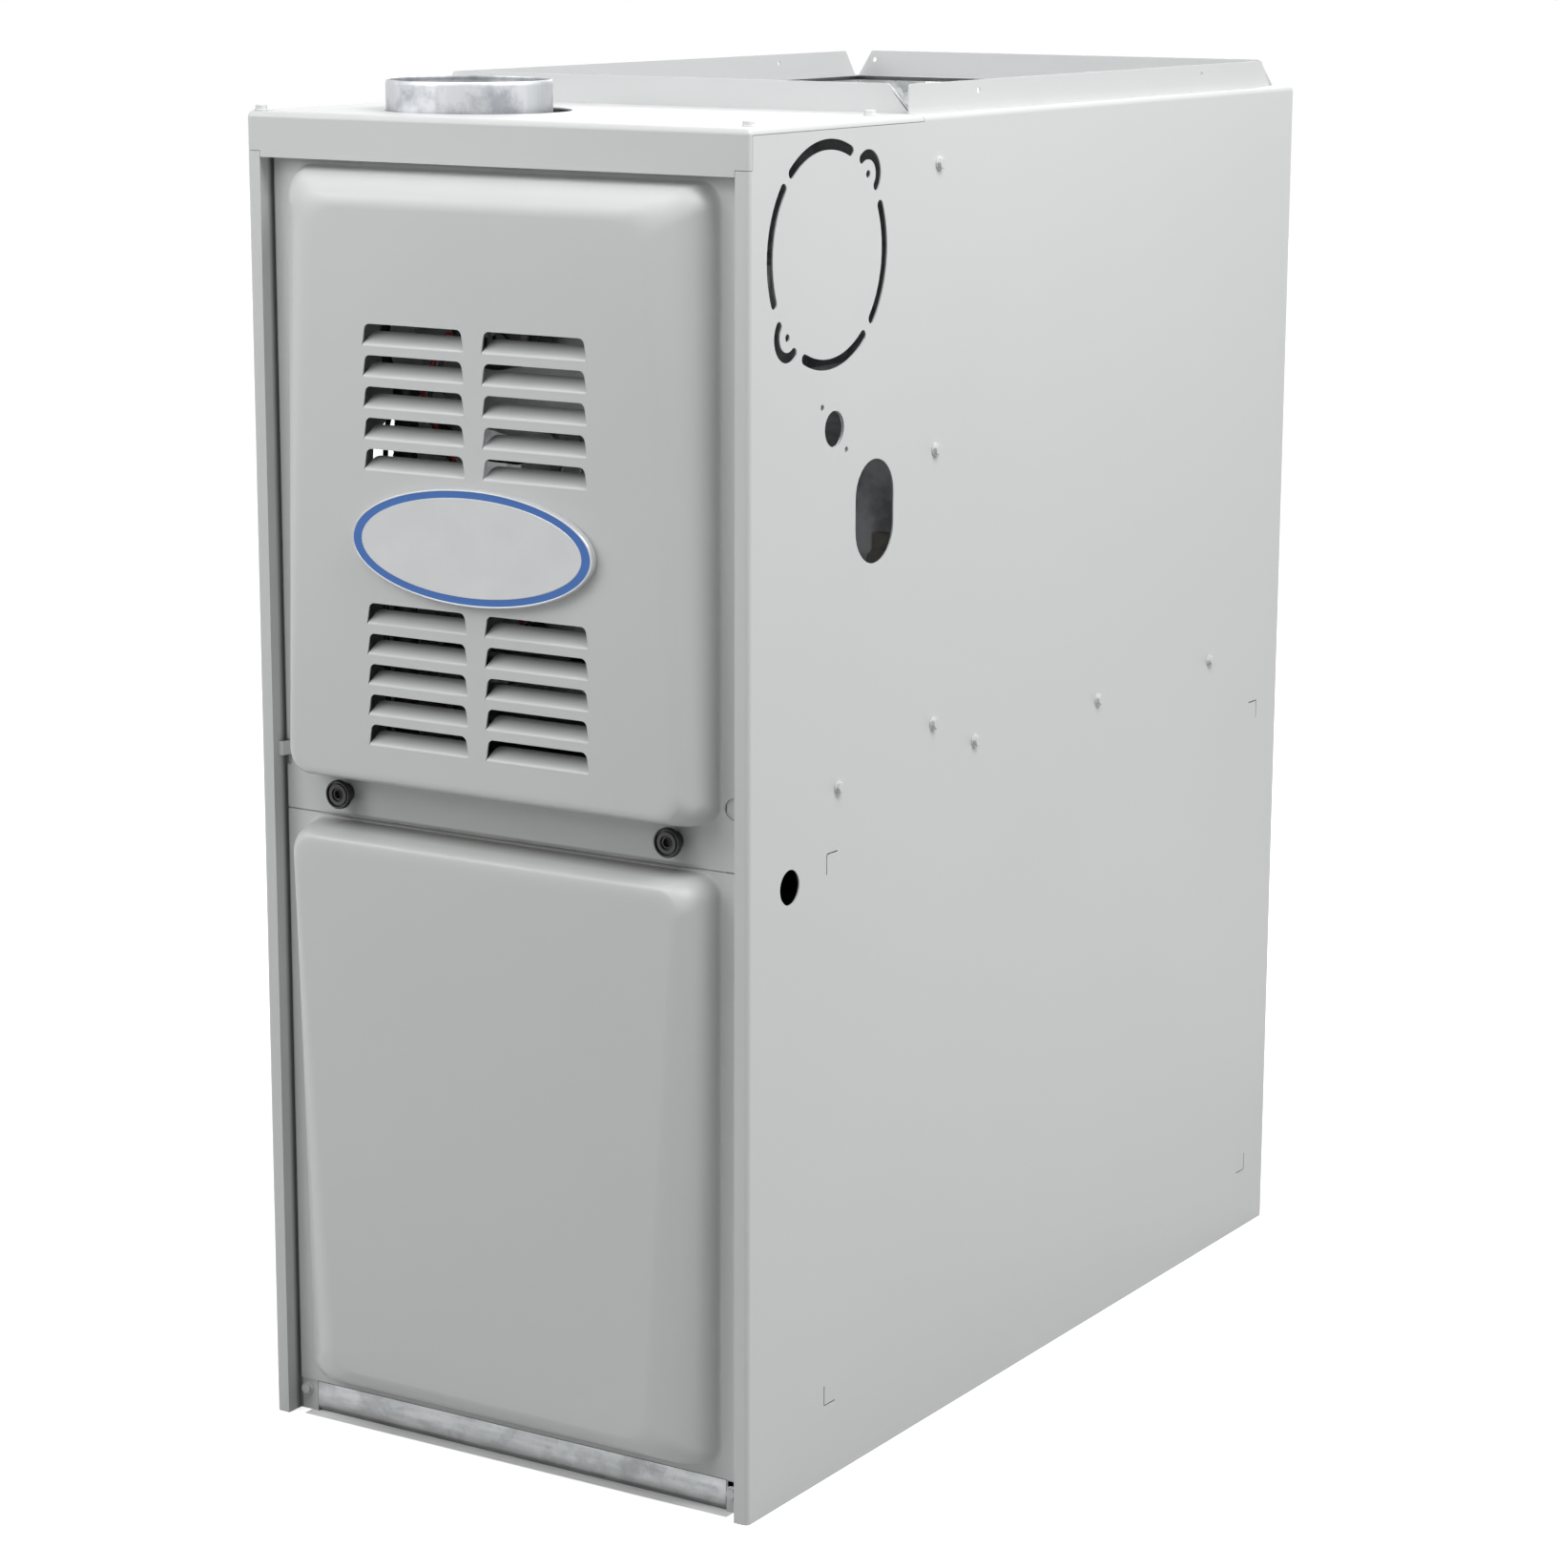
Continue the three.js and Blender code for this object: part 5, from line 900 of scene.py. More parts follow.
def door_rings(sizes):
    """The outlines of a door from its rim to its face, as rings of (x, y, z)."""
    rings = []
    rim_plan = rectangle(RIM_X[0], RIM_X[1], *sizes["rim"])
    rings.append([(x, DOOR_Y, z) for x, z in rounded(rim_plan, 1.2, CORNER_STEPS)])
    foot, face, sides = sizes["foot"], sizes["face"], sizes["sides"]
    for share, out, further, before in shoulder():
        bends = (bend * further - FOOT_BEND * before for bend in sizes["bend"])
        bend_low, bend_high, bend_side = bends
        low = foot[0] + (face[0] - foot[0]) * share + bend_low
        high = foot[1] + (face[1] - foot[1]) * share - bend_high
        left_low = BULGE_X + (sides[0] - BULGE_X) * share + bend_side
        left_high = BULGE_X + (sides[1] - BULGE_X) * share + bend_side
        plan = [
            (left_low, low), (WIDTH - left_low, low), (WIDTH - left_high, high), (left_high, high),
        ]
        corner = FOOT_CORNER + (FACE_CORNER - FOOT_CORNER) * share
        rings.append([(x, DOOR_Y - BULGE * out, z) for x, z in rounded(plan, corner, CORNER_STEPS)])
    return rings


print("shoulder points:", len(shoulder()))

# %% [markdown]
# ### Louvres
# The upper door breathes through four banks of five louvres. Each is a lanced slot with rounded
# upper corners, and the sheet below it is bent in and up as a blade, so that nothing can be dropped
# in and little of the inside shows. The slots are holes in the face's triangulation. The blades
# repeat, so Geometry Nodes places one blade on a line of rows, and that bank on two columns and two
# heights.

# %% Louvre slots
LOUVRE_W, LOUVRE_H, LOUVRE_PITCH, LOUVRE_ROWS = 76.0, 11.5, 19.0, 5
LOUVRE_X = (101.3, 190.5)
LOUVRE_TOPS = (722.3, 551.1)
LOUVRE_TAPER = 2.0
BLADE_BEND = 2.2
BLADE_IN = 9.0
BLADE_SLIT = 5.0


def louvre_slots():
    slots = []
    for x in LOUVRE_X:
        for highest in LOUVRE_TOPS:
            for row in range(LOUVRE_ROWS):
                top = highest - row * LOUVRE_PITCH
                bottom = top - LOUVRE_H - BLADE_BEND
                corners = [
                    (x - 0.3, bottom), (x + LOUVRE_W + 0.3, bottom),
                    (x + LOUVRE_W - LOUVRE_TAPER, top),
                    (x + LOUVRE_TAPER, top),
                ]
                slots.append(rounded(corners, [0, 0, 4.0, 4.0], 6))
    return slots


print("slots:", len(louvre_slots()))

# %% Door sheets
def filled(outline, holes):
    """Triangles of a flat outline with holes: (points, triangles)."""
    points, edges = [], []
    for loop in [outline, *holes]:
        first = len(points)
        points.extend(Vector(p) for p in loop)
        edges.extend((first + i, first + (i + 1) % len(loop)) for i in range(len(loop)))
    made, _, faces, *_ = delaunay_2d_cdt(points, edges, [], 1, 1e-7)
    kept = []
    for face in faces:
        middle = sum((made[i] for i in face), Vector((0, 0))) / len(face)
        if not any(inside(middle, hole) for hole in holes):
            kept.append(face)
    return made, kept


def inside(point, loop):
    hit = False
    for i, here in enumerate(loop):
        there = loop[i - 1]
        if (here[1] > point.y) != (there[1] > point.y):
            if point.x < (there[0] - here[0]) * (point.y - here[1]) / (there[1] - here[1]) + here[0]:
                hit = not hit
    return hit


def door_sheet(name, sizes, slots, rim_holes):
    rings = door_rings(sizes)
    count = len(rings[0])
    rim_points, rim_faces = filled(
        [(x, z) for x, _, z in rings[0]], [[(x, z) for x, _, z in rings[1]], *rim_holes],
    )
    face_points, face_faces = filled([(x, z) for x, _, z in rings[-1]], slots)
    vertices = [at(*p) for ring in rings[1:] for p in ring]
    faces = ring_faces(len(rings) - 1, count, closed_ends=False)
    for points, triangles, y in ((rim_points, rim_faces, DOOR_Y), (face_points, face_faces, FACE_Y)):
        first = len(vertices)
        vertices.extend(at(p.x, y, p.y) for p in points)
        faces.extend(tuple(first + i for i in face) for face in triangles)
    made = piece(name, vertices, faces, "paint")
    if sum(face.normal.y * face.area for face in made.data.polygons) > 0:
        made.data.flip_normals()
    wall = made.modifiers.new("sheet", "SOLIDIFY")
    wall.thickness, wall.offset, wall.use_even_offset = SHEET / 1000, -1, True
    return settle(made)


knob_holes = [arc((x, KNOB_Z), STUD_HOLE_R, 0, 330, 11) for x in KNOB_X.values()]
upper_door = door_sheet("upper_door_sheet", UPPER, louvre_slots(), knob_holes)
lower_door = door_sheet("lower_door_sheet", LOWER, [], [])
print("door sheets", len(upper_door.data.polygons), len(lower_door.data.polygons))

# %% [markdown]
# ### Repeating with Geometry Nodes
# One tree copies the shape it is given along a row and then places the row on a grid of banks. Its
# sizes are named inputs. A modifier's inputs are set by their identifiers, and `repeated` turns the
# result into a plain mesh.

# %% A tree that repeats a shape
def end_tree(tree, leave, shape, material):
    """Makes a tree's copies real and gives them one finish."""
    real = node(tree, "GeometryNodeRealizeInstances", {"Geometry": shape}).outputs[0]
    coloured = node(tree, "GeometryNodeSetMaterial", {"Geometry": real, "Material": material})
    tree.links.new(coloured.outputs[0], leave.inputs[0])
    return tree


def make_bank_tree():
    tree, enter, leave = group("rows in banks", "GeometryNodeTree", [
        ("Geometry", "Geometry", None), ("Rows", "Int", 1), ("Row Step", "Vector", (0, 0, -0.02)),
        ("Banks Across", "Int", 1), ("Across Step", "Vector", (0.1, 0, 0)),
        ("Banks Down", "Int", 1), ("Down Step", "Vector", (0, 0, -0.2)),
        ("Material", "Material", None),
    ], [("Geometry", "Geometry")])
    shape = enter["Geometry"]
    steps = {"Rows": "Row Step", "Banks Across": "Across Step", "Banks Down": "Down Step"}
    for count, step in steps.items():
        line = node(tree, "GeometryNodeMeshLine", {"Count": enter[count], "Offset": enter[step]})
        placed = {"Points": line.outputs[0], "Instance": shape}
        shape = node(tree, "GeometryNodeInstanceOnPoints", placed).outputs[0]
    return end_tree(tree, leave, shape, enter["Material"])


def repeated(made, tree, degrees=35, **values):
    """Runs a Geometry Nodes tree on a piece with named input values and keeps a plain mesh."""
    step = made.modifiers.new(tree.name, "NODES")
    step.node_group = tree
    for item in tree.interface.items_tree:
        key = item.name.replace(" ", "_")
        if item.in_out == "INPUT" and key in values:
            step[item.identifier] = values.pop(key)
    assert not values, values
    return smooth(settle(made), degrees)


BANKS = make_bank_tree()
print("inputs:", [item.name for item in BANKS.interface.items_tree if item.in_out == "INPUT"])

# %% Louvre blades
def blade_line():
    """The blade's front line in (y, z) from its root, bent in and then nearly straight."""
    rise = LOUVRE_H + BLADE_BEND - BLADE_SLIT
    bend, lean = BLADE_BEND, 0.8
    for _ in range(8):
        lean = math.atan2(BLADE_IN - bend * (1 - math.cos(lean)), rise - bend * math.sin(lean))
    steps = 7
    angles = [lean * i / steps for i in range(steps + 1)]
    line = [(bend * (1 - math.cos(a)), bend * math.sin(a)) for a in angles]
    y, z = line[-1]
    for share in (0.35, 0.6, 0.75, 0.85, 0.93, 1.0):
        hollow = 0.35 * math.sin(math.pi * share)
        line.append((y + (BLADE_IN - y) * share + hollow, z + (rise - z) * share))
    return line


def make_blade():
    line = blade_line()
    lengths = [0.0]
    for a, b in zip(line, line[1:]):
        lengths.append(lengths[-1] + math.dist(a, b))
    full, corner = lengths[-1], 4.0
    rings = []
    for i, (y, z) in enumerate(line):
        before, after = line[max(i - 1, 0)], line[min(i + 1, len(line) - 1)]
        along = Vector((after[0] - before[0], after[1] - before[1])).normalized()
        past = max(0.0, lengths[i] - (full - corner))
        narrow = LOUVRE_TAPER * lengths[i] / full + corner - math.sqrt(corner ** 2 - past ** 2)
        half = LOUVRE_W / 2 - narrow
        back = (y + along.y * SHEET, z - along.x * SHEET)
        rings.append([(-half, y, z), (half, y, z), (half, *back), (-half, *back)])
    places = [
        at(LOUVRE_X[0] + LOUVRE_W / 2 + x, FACE_Y + y, LOUVRE_TOPS[0] - LOUVRE_H - BLADE_BEND + z)
        for ring in rings for x, y, z in ring
    ]
    return piece("louvre_blades", places, ring_faces(len(rings), 4), "paint")


blades = repeated(
    make_blade(), BANKS, Rows=LOUVRE_ROWS, Row_Step=(0, 0, -LOUVRE_PITCH / 1000),
    Banks_Across=2, Across_Step=((LOUVRE_X[1] - LOUVRE_X[0]) / 1000, 0, 0),
    Banks_Down=2, Down_Step=(0, 0, (LOUVRE_TOPS[1] - LOUVRE_TOPS[0]) / 1000),
    Material=FINISHES["paint"],
)
rim_hole = [(z, x) for x, z in arc(RIM_HOLE, RIM_HOLE_R, 0, 345, 23)]
cut_away(
    upper_door, block("latch notch", (0, STILE + 5.0), (0, 2 * DOOR_Y), NOTCH_Z),
    prism("rim hole", "y", rim_hole, 5.0, 2 * DOOR_Y, "paint"),
)
stand_in(smooth(upper_door, 32), "upper_door")
stand_in(blades, "upper_door")
stand_in(smooth(lower_door, 32), "lower_door")

# %% [markdown]
# ### Nameplate
# The badge is a flat oval of pale plastic with a rounded edge and a blue ring let into it. Its
# middle is bare. It is lofted from ovals: each has its distances in from the ends and from the top,
# and its height; the band between the two lowest ovals of the ring gets the blue.

# %% Nameplate
BADGE = {"x": 184.0, "z": 592.0, "wide": 179.0, "high": 72.0, "back": -18.6}
BADGE_STEPS, BLUE_HEIGHT = 128, 4.85
BADGE_RINGS = [
    (0.7, 0.7, 0.0), (0.0, 0.0, 0.9), (0.0, 0.0, 3.7), (0.3, 0.3, 4.6), (0.8, 0.8, 5.1),
    (1.2, 1.2, 5.2),
    (1.5, 1.5, 5.1), (1.65, 1.65, BLUE_HEIGHT), (7.8, 5.8, BLUE_HEIGHT), (7.95, 5.95, 5.0),
    (8.2, 6.2, 5.2), (9.2, 7.2, 5.25),
    (20.0, 18.0, 5.32),
]


def make_nameplate():
    places = []
    for inset_x, inset_z, height in BADGE_RINGS:
        for i in range(BADGE_STEPS):
            a = 2 * math.pi * i / BADGE_STEPS
            x = BADGE["x"] + (BADGE["wide"] / 2 - inset_x) * math.cos(a)
            z = BADGE["z"] + (BADGE["high"] / 2 - inset_z) * math.sin(a)
            places.append(at(x, BADGE["back"] - height, z))
    made = piece("nameplate_oval", places, ring_faces(len(BADGE_RINGS), BADGE_STEPS), "nameplate")
    made.data.materials.append(FINISHES["badge_blue"])
    blue_y = at(0, BADGE["back"] - BLUE_HEIGHT, 0).y
    for face in made.data.polygons:
        depths = [made.data.vertices[i].co.y for i in face.vertices]
        if len(depths) == 4 and all(abs(y - blue_y) < 5e-5 for y in depths):
            face.material_index = 1
    return smooth(made, 30)


stand_in(make_nameplate(), "nameplate")

# %% [markdown]
# ### Door knobs
# Two quarter-turn knobs of black nylon hold the upper door. Each is turned: a neck, a thin disc
# with a raised rim, and a hole in its middle, behind which its galvanised stud ends.

# %% Door knobs
KNOB_SEAT, KNOB_FRONT, KNOB_R = 11.7, 1.0, 9.3


def make_knob(side):
    x, r = KNOB_X[side], KNOB_R
    depth = KNOB_SEAT - KNOB_FRONT
    rim = [
        (0.6, 4.0), (0, 3.4), (0.05, 0.9), (0.3, 0.25), (0.75, 0), (1.2, 0.25), (1.4, 1.9),
        (2.3, 1.9), (2.5, 0.6), (2.9, 0.35),
    ]
    hole = [
        (4.5, 0.35), (4.2, 0.7), (4.1, 1.6), (3.5, 1.6), (3.4, 0.9), (3.1, 0.7), (2.6, 1.1),
        (2.5, 4.6), (0.0, 4.8),
    ]
    front = [(6.0, 4.8), (6.6, 4.2), *[(r - inset, below) for inset, below in rim], *hole]
    profile = [(0.0, 0.0), (5.6, 0.0), (6.0, 0.4), *[(a, depth - below) for a, below in front]]
    outwards = [(radius, -distance) for radius, distance in profile]
    name = f"quarter_turn_knob_{side}"
    knob = turned(name, "y", (x, KNOB_SEAT, KNOB_Z), outwards, "black_plastic", 56)
    stand_in(smooth(knob, 40), f"door_knob_{side}")


for side in KNOB_X:
    make_knob(side)

# %% [markdown]
# ## The casing
# One sheet is bent into both sides and the back, with two stiles at the front whose edges turn in
# and then back out as jambs for the doors. Another sheet is the top plate with its front drop. The
# bends are 3 and 4 mm, so they are drawn with many short facets, and the knockouts are cut through
# afterwards: four slots with round ends leave the vent cover on its tabs, beside two ears.

# %% Casing sizes
EDGE_R, TOP_R = 3.0, 4.0
JAMB, HEADER, HEADER_LIP, LEDGE = 14.0, 24.0, 4.0, 11.0
SIDE_FLANGE_Y, SUPPLY_Y, DUCT_FLANGE = 198.0, 203.0, 18.0
TOP = HEIGHT - SHEET
JAMB_Y = DOOR_Y + SHEET + GAP
INNER = LEDGE + SHEET
FAR = 2000.0


def lofted(name, rings, color="paint"):
    places = [at(*p) for ring in rings for p in ring]
    return piece(name, places, ring_faces(len(rings), len(rings[0])), color)


def casing_form(name, inset, steps=8):
    """The casing's solid outline, its upright edges and its top edge rounded."""
    bend = TOP_R - inset
    rings = []
    levels = [(inset, -SHEET)]
    for k in range(steps + 1):
        a = math.pi / 2 * k / steps
        levels.append((inset + bend * (1 - math.cos(a)), HEIGHT - TOP_R + bend * math.sin(a)))
    for offset, z in levels:
        plan = rectangle(offset, WIDTH - offset, offset, DEPTH - offset)
        corner = max(EDGE_R - offset, EDGE_R / 6)
        rings.append([(x, y, z) for x, y in rounded(plan, corner, steps)])
    return lofted(name, rings)


def casing_shell(name, low):
    shell = casing_form(name, 0)
    below = block("below", (-FAR, FAR), (-FAR, FAR), (-FAR, low))
    return cut_away(shell, casing_form("inside", SHEET), below)


print("top edge at", HEIGHT, "mm")

# %% Knockouts
VENT_AT, VENT_R, VENT_SLOT_W = (86.4, 768.5), 61.5, 6.5
VENT_SLOTS = ((64.5, 68), (137.5, 67.5), (243.5, 68), (317.5, 69))  # start and sweep of each, in degrees
EAR_AT_R, EAR_HOLE_R, EAR_SLOT_R, EAR_SLOT_W, EAR_SWEEP = 63.8, 2.4, 8.6, 6.2, 196
LINE_WIRE, CONTROL_WIRE, WIRE_R = (94.5, 664.7), (46.0, 392.8), 11.0
PILOT_OFF, PILOT_R = 13.9, 2
GAS_ENTRY, GAS_W, GAS_H = (142.0, 609.5), 45.0, 64.4


def curved_slot(centre, inner, width, start, sweep, steps=14):
    """A slot along an arc, with round ends."""
    middle, half = inner + width / 2, width / 2
    end_angle = math.degrees(half / middle)
    first, last = start + end_angle, start + sweep - end_angle
    outline = arc(centre, inner + width, first, last, steps)
    outline += arc(polar(centre, middle, last), half, last, last + 180, 6)[1:-1]
    outline += arc(centre, inner, last, first, steps)
    outline += arc(polar(centre, middle, first), half, first + 180, first + 360, 6)[1:-1]
    return outline


def disc(centre, radius, steps=28):
    return arc(centre, radius, 0, 360, steps)[:-1]


def side_holes():
    """Outlines of every hole in a side, in (y, z)."""
    holes = [curved_slot(VENT_AT, VENT_R, VENT_SLOT_W, start, sweep) for start, sweep in VENT_SLOTS]
    for degrees in (45, 225):
        ear = polar(VENT_AT, EAR_AT_R, degrees)
        holes.append(disc(ear, EAR_HOLE_R, 16))
        holes.append(curved_slot(ear, EAR_SLOT_R, EAR_SLOT_W, degrees - EAR_SWEEP / 2, EAR_SWEEP))
    holes += [disc(LINE_WIRE, WIRE_R), disc(CONTROL_WIRE, WIRE_R)]
    for way in (-1, 1):
        off = way * PILOT_OFF
        holes.append(disc((LINE_WIRE[0] + off, LINE_WIRE[1] - off), PILOT_R, 12))
    r, straight = GAS_W / 2, (GAS_H - GAS_W) / 2
    up, down = (GAS_ENTRY[0], GAS_ENTRY[1] + straight), (GAS_ENTRY[0], GAS_ENTRY[1] - straight)
    holes.append(arc(up, r, 0, 180, 16) + arc(down, r, 180, 360, 16))
    return holes


RETURN_MARKS = {
    (88.5, 405.0): (1, -1), (689.0, 403.5): (-1, -1), (89.0, 49.5): (1, 1), (690.0, 45.0): (-1, 1),
}
MARK_LEG, MARK_SLIT = 12.7, 0.9


def mark_slits():
    """The side return's four corners, each lanced as an L of two fine slits."""
    slits = []
    for (y, z), (toward_y, toward_z) in RETURN_MARKS.items():
        y_end, z_end = y + toward_y * MARK_LEG, z + toward_z * MARK_LEG
        slits.append(rectangle(min(y, y_end), max(y, y_end), z - MARK_SLIT / 2, z + MARK_SLIT / 2))
        slits.append(rectangle(y - MARK_SLIT / 2, y + MARK_SLIT / 2, min(z, z_end), max(z, z_end)))
    return slits


print("holes in each side:", len(side_holes()))

# %% Casing wrap
def make_wrap():
    wrap = casing_shell("casing_wrap", 0)
    edge, lift = WIDTH - STILE, HEIGHT - TOP_R - GAP
    cut_away(
        wrap,
        block("door opening", (STILE, edge), (-FAR, EDGE_R), (-FAR, FAR)),
        block("supply opening", (INNER, WIDTH - INNER), (0, DEPTH - INNER), (HEIGHT - TOP_R, FAR)),
    )
    jamb_back = JAMB_Y + SHEET
    turned_in = [
        block("left return", (STILE - SHEET, STILE), (SHEET / 2, jamb_back), (0, lift)),
        block("left jamb", (STILE - SHEET, STILE + JAMB), (JAMB_Y, jamb_back), (0, lift)),
        block("right return", (edge, edge + SHEET), (SHEET / 2, jamb_back), (0, lift)),
        block("right jamb", (edge - JAMB, edge + SHEET), (JAMB_Y, jamb_back), (0, lift)),
    ]
    add_to(wrap, *turned_in)
    return cut_away(
        wrap,
        block("foot slot", (344.8, 351.0), (JAMB_Y - SHEET, jamb_back + SHEET), (16.5, 20.2)),
        block("header's place", (-FAR, FAR), (-FAR, EDGE_R + GAP), (HEIGHT - HEADER - GAP, FAR)),
        block("top plate's place", (-FAR, FAR), (-FAR, SIDE_FLANGE_Y), (lift, FAR)),
    )


def pierce(made, axis, outlines, low=-FAR, high=FAR):
    cutters = [prism(f"hole {i}", axis, outline, low, high) for i, outline in enumerate(outlines)]
    return cut_away(made, *cutters)


# %% [markdown]
# The supply duct's flanges stand up round the rear opening. Their ends are clipped at a slant, and
# each has two small holes for the duct's screws.

# %% Duct flanges
FLANGE_CLIP, FLANGE_HOLE_R, FLANGE_HOLE_DROP = 16.0, 1.8, 6.5


def flange_holes(axis, places):
    z = HEIGHT + DUCT_FLANGE - FLANGE_HOLE_DROP
    return [disc((z, p) if axis == "y" else (p, z), FLANGE_HOLE_R, 14) for p in places]


def add_flanges(wrap):
    top, end = HEIGHT + DUCT_FLANGE, DEPTH - INNER - GAP - SHEET
    side = [
        (SIDE_FLANGE_Y, TOP), (end - FLANGE_CLIP / 3, TOP), (end - FLANGE_CLIP / 3, HEIGHT),
        (end - FLANGE_CLIP * 1.2, top), (SIDE_FLANGE_Y, top),
    ]
    back_end, clip = LEDGE + SHEET / 2, FLANGE_CLIP * 0.7
    back = [
        (back_end, TOP), (back_end, HEIGHT), (back_end + clip, top), (WIDTH - back_end - clip, top),
        (WIDTH - back_end, HEIGHT), (WIDTH - back_end, TOP),
    ]
    side = rounded(side, [0, 0, 0, 2, 2], 4)
    back = rounded(back, [0, 0, 2, 2, 0, 0], 4)
    flanges = [
        prism("left flange", "x", side, LEDGE, INNER),
        prism("right flange", "x", side, WIDTH - INNER, WIDTH - LEDGE),
        prism("back flange", "y", [(z, x) for x, z in back], DEPTH - INNER, DEPTH - LEDGE),
    ]
    add_to(wrap, *flanges)
    pierce(wrap, "x", flange_holes("x", (SUPPLY_Y + 81, DEPTH - 127)))
    hole_in = 2 * LEDGE + EDGE_R
    return pierce(wrap, "y", flange_holes("y", (hole_in, WIDTH - hole_in)), DEPTH / 2, FAR)


wrap = make_wrap()
add_flanges(wrap)
pierce(wrap, "x", side_holes())
pierce(wrap, "x", mark_slits())
soften(wrap, 0.22, 2, 50)
stand_in(wrap, "cabinet_wrap")

# %% [markdown]
# The top plate closes the front part of the top. Its front drops 24 mm as the header over the
# doors and ends in a lip that the upper door slides behind. Its rear edge turns up as the duct's
# fourth flange. It is cut from the same bent form as the casing, so the two meet evenly.

# %% Top plate
VENT_X, VENT_Y, COLLAR_R = 108.0, 85.0, 51.7
VENT_HOLE, VENT_HOLE_R = (VENT_X + 4.6, VENT_Y + 3.3), 57.9


def make_top_plate():
    cover = casing_shell("top_cover", 0)
    kept = block("kept", (-FAR, FAR), (-FAR, SIDE_FLANGE_Y - GAP), (HEIGHT - TOP_R, FAR))
    combine(cover, [kept], "INTERSECT")
    front = casing_shell("header", 0)
    kept = block("kept", (-FAR, FAR), (-FAR, EDGE_R), (HEIGHT - HEADER, FAR))
    combine(front, [kept], "INTERSECT")
    inner, top, foot = INNER + GAP, HEIGHT + DUCT_FLANGE, HEIGHT + SHEET
    flange = rounded([
        (inner, TOP), (inner, foot), (inner + FLANGE_CLIP, top), (WIDTH - inner - FLANGE_CLIP, top),
        (WIDTH - inner, foot), (WIDTH - inner, TOP),
    ], [0, 0, 3, 3, 0, 0], 4)
    edge, lip_z = STILE + GAP, HEIGHT - HEADER - HEADER_LIP
    parts = [
        front,
        block("tongue", (inner, WIDTH - inner), (SIDE_FLANGE_Y - SHEET, SUPPLY_Y), (TOP, HEIGHT)),
        prism("flange", "y", [(z, x) for x, z in flange], SUPPLY_Y - SHEET, SUPPLY_Y),
        block("drop", (edge, WIDTH - edge), (0, SHEET), (lip_z, HEIGHT - HEADER + SHEET)),
        block("lip", (edge, WIDTH - edge), (0, DOOR_Y + SHEET), (lip_z, lip_z + SHEET)),
    ]
    add_to(cover, *parts)
    return pierce(cover, "z", [disc(VENT_HOLE, VENT_HOLE_R, 96)], TOP - TOP_R, FAR)


top_plate = make_top_plate()
soften(top_plate, 0.22, 2, 50)
stand_in(top_plate, "top_plate")

# %% [markdown]
# ### Vent collar
# A short aluminised pipe comes up through a clearance hole in the top plate. It doesn't stand in
# the hole's middle, so a dark sickle is left open on its right. Its upper edge is curled in
# slightly, so that the vent pipe slips over it.

# %% Vent collar
COLLAR_UNDER, COLLAR_OVER = 12.0, 19.0


def make_collar():
    low, top = TOP - GAP - COLLAR_UNDER, HEIGHT + COLLAR_OVER
    r, inner = COLLAR_R, COLLAR_R - SHEET
    profile = [
        (inner, low), (r, low),
        (r, top - 3.0), (r - 0.15, top - 1.5), (r - 0.5, top - 0.4), (r - 0.9, top),
        (r - 1.3, top - 0.2),
        (inner - 0.5, top - 0.9), (inner - 0.2, top - 2.0), (inner, top - 3.5),
    ]
    return turned("vent_collar", "z", (VENT_X, VENT_Y, 0), profile + profile[:1], "aluminised", 96)


stand_in(smooth(make_collar(), 40), "flue_collar")

# %% [markdown]
# ## Screws
# The casing is held by painted hexagon screws with washer faces. They repeat, so a Geometry Nodes
# tree puts one screw on each given point and turns it round its own axis by a seeded random angle.
# All screws of one piece face the same way, which is one of the tree's inputs.

# %% A tree that puts a shape on points
def make_scatter_tree():
    tree, enter, leave = group("one on each point", "GeometryNodeTree", [
        ("Geometry", "Geometry", None), ("Shape", "Object", None), ("Facing", "Rotation", None),
        ("Seed", "Int", 3), ("Material", "Material", None),
    ], [("Geometry", "Geometry")])
    shape = node(tree, "GeometryNodeObjectInfo", {"Object": enter["Shape"]}).outputs["Geometry"]
    limits = {2: 0.0, 3: 2 * math.pi, "Seed": enter["Seed"]}
    twist = node(tree, "FunctionNodeRandomValue", limits, data_type="FLOAT")
    spin = node(tree, "ShaderNodeCombineXYZ", {"Z": twist.outputs[1]}).outputs[0]
    angle = node(tree, "FunctionNodeEulerToRotation", {0: spin}).outputs[0]
    placed = node(tree, "GeometryNodeInstanceOnPoints", {
        "Points": enter["Geometry"], "Instance": shape, "Rotation": enter["Facing"],
    }).outputs[0]
    spun = node(tree, "GeometryNodeRotateInstances", {"Instances": placed, "Rotation": angle}).outputs[0]
    return end_tree(tree, leave, spun, enter["Material"])


SCATTER = make_scatter_tree()
FACING = {
    "x": (0, math.pi / 2, 0), "-y": (math.pi / 2, 0, 0), "z": (0, 0, 0), "-x": (0, -math.pi / 2, 0),
}


def scatter(name, shape, places, facing, color, seed=3):
    points = bpy.data.meshes.new(name)
    points.from_pydata([tuple(at(*p)) for p in places], [], [])
    points.materials.append(FINISHES[color])
    return repeated(
        new_object(name, points), SCATTER, 30,
        Shape=shape, Facing=FACING[facing], Seed=seed, Material=FINISHES[color],
    )


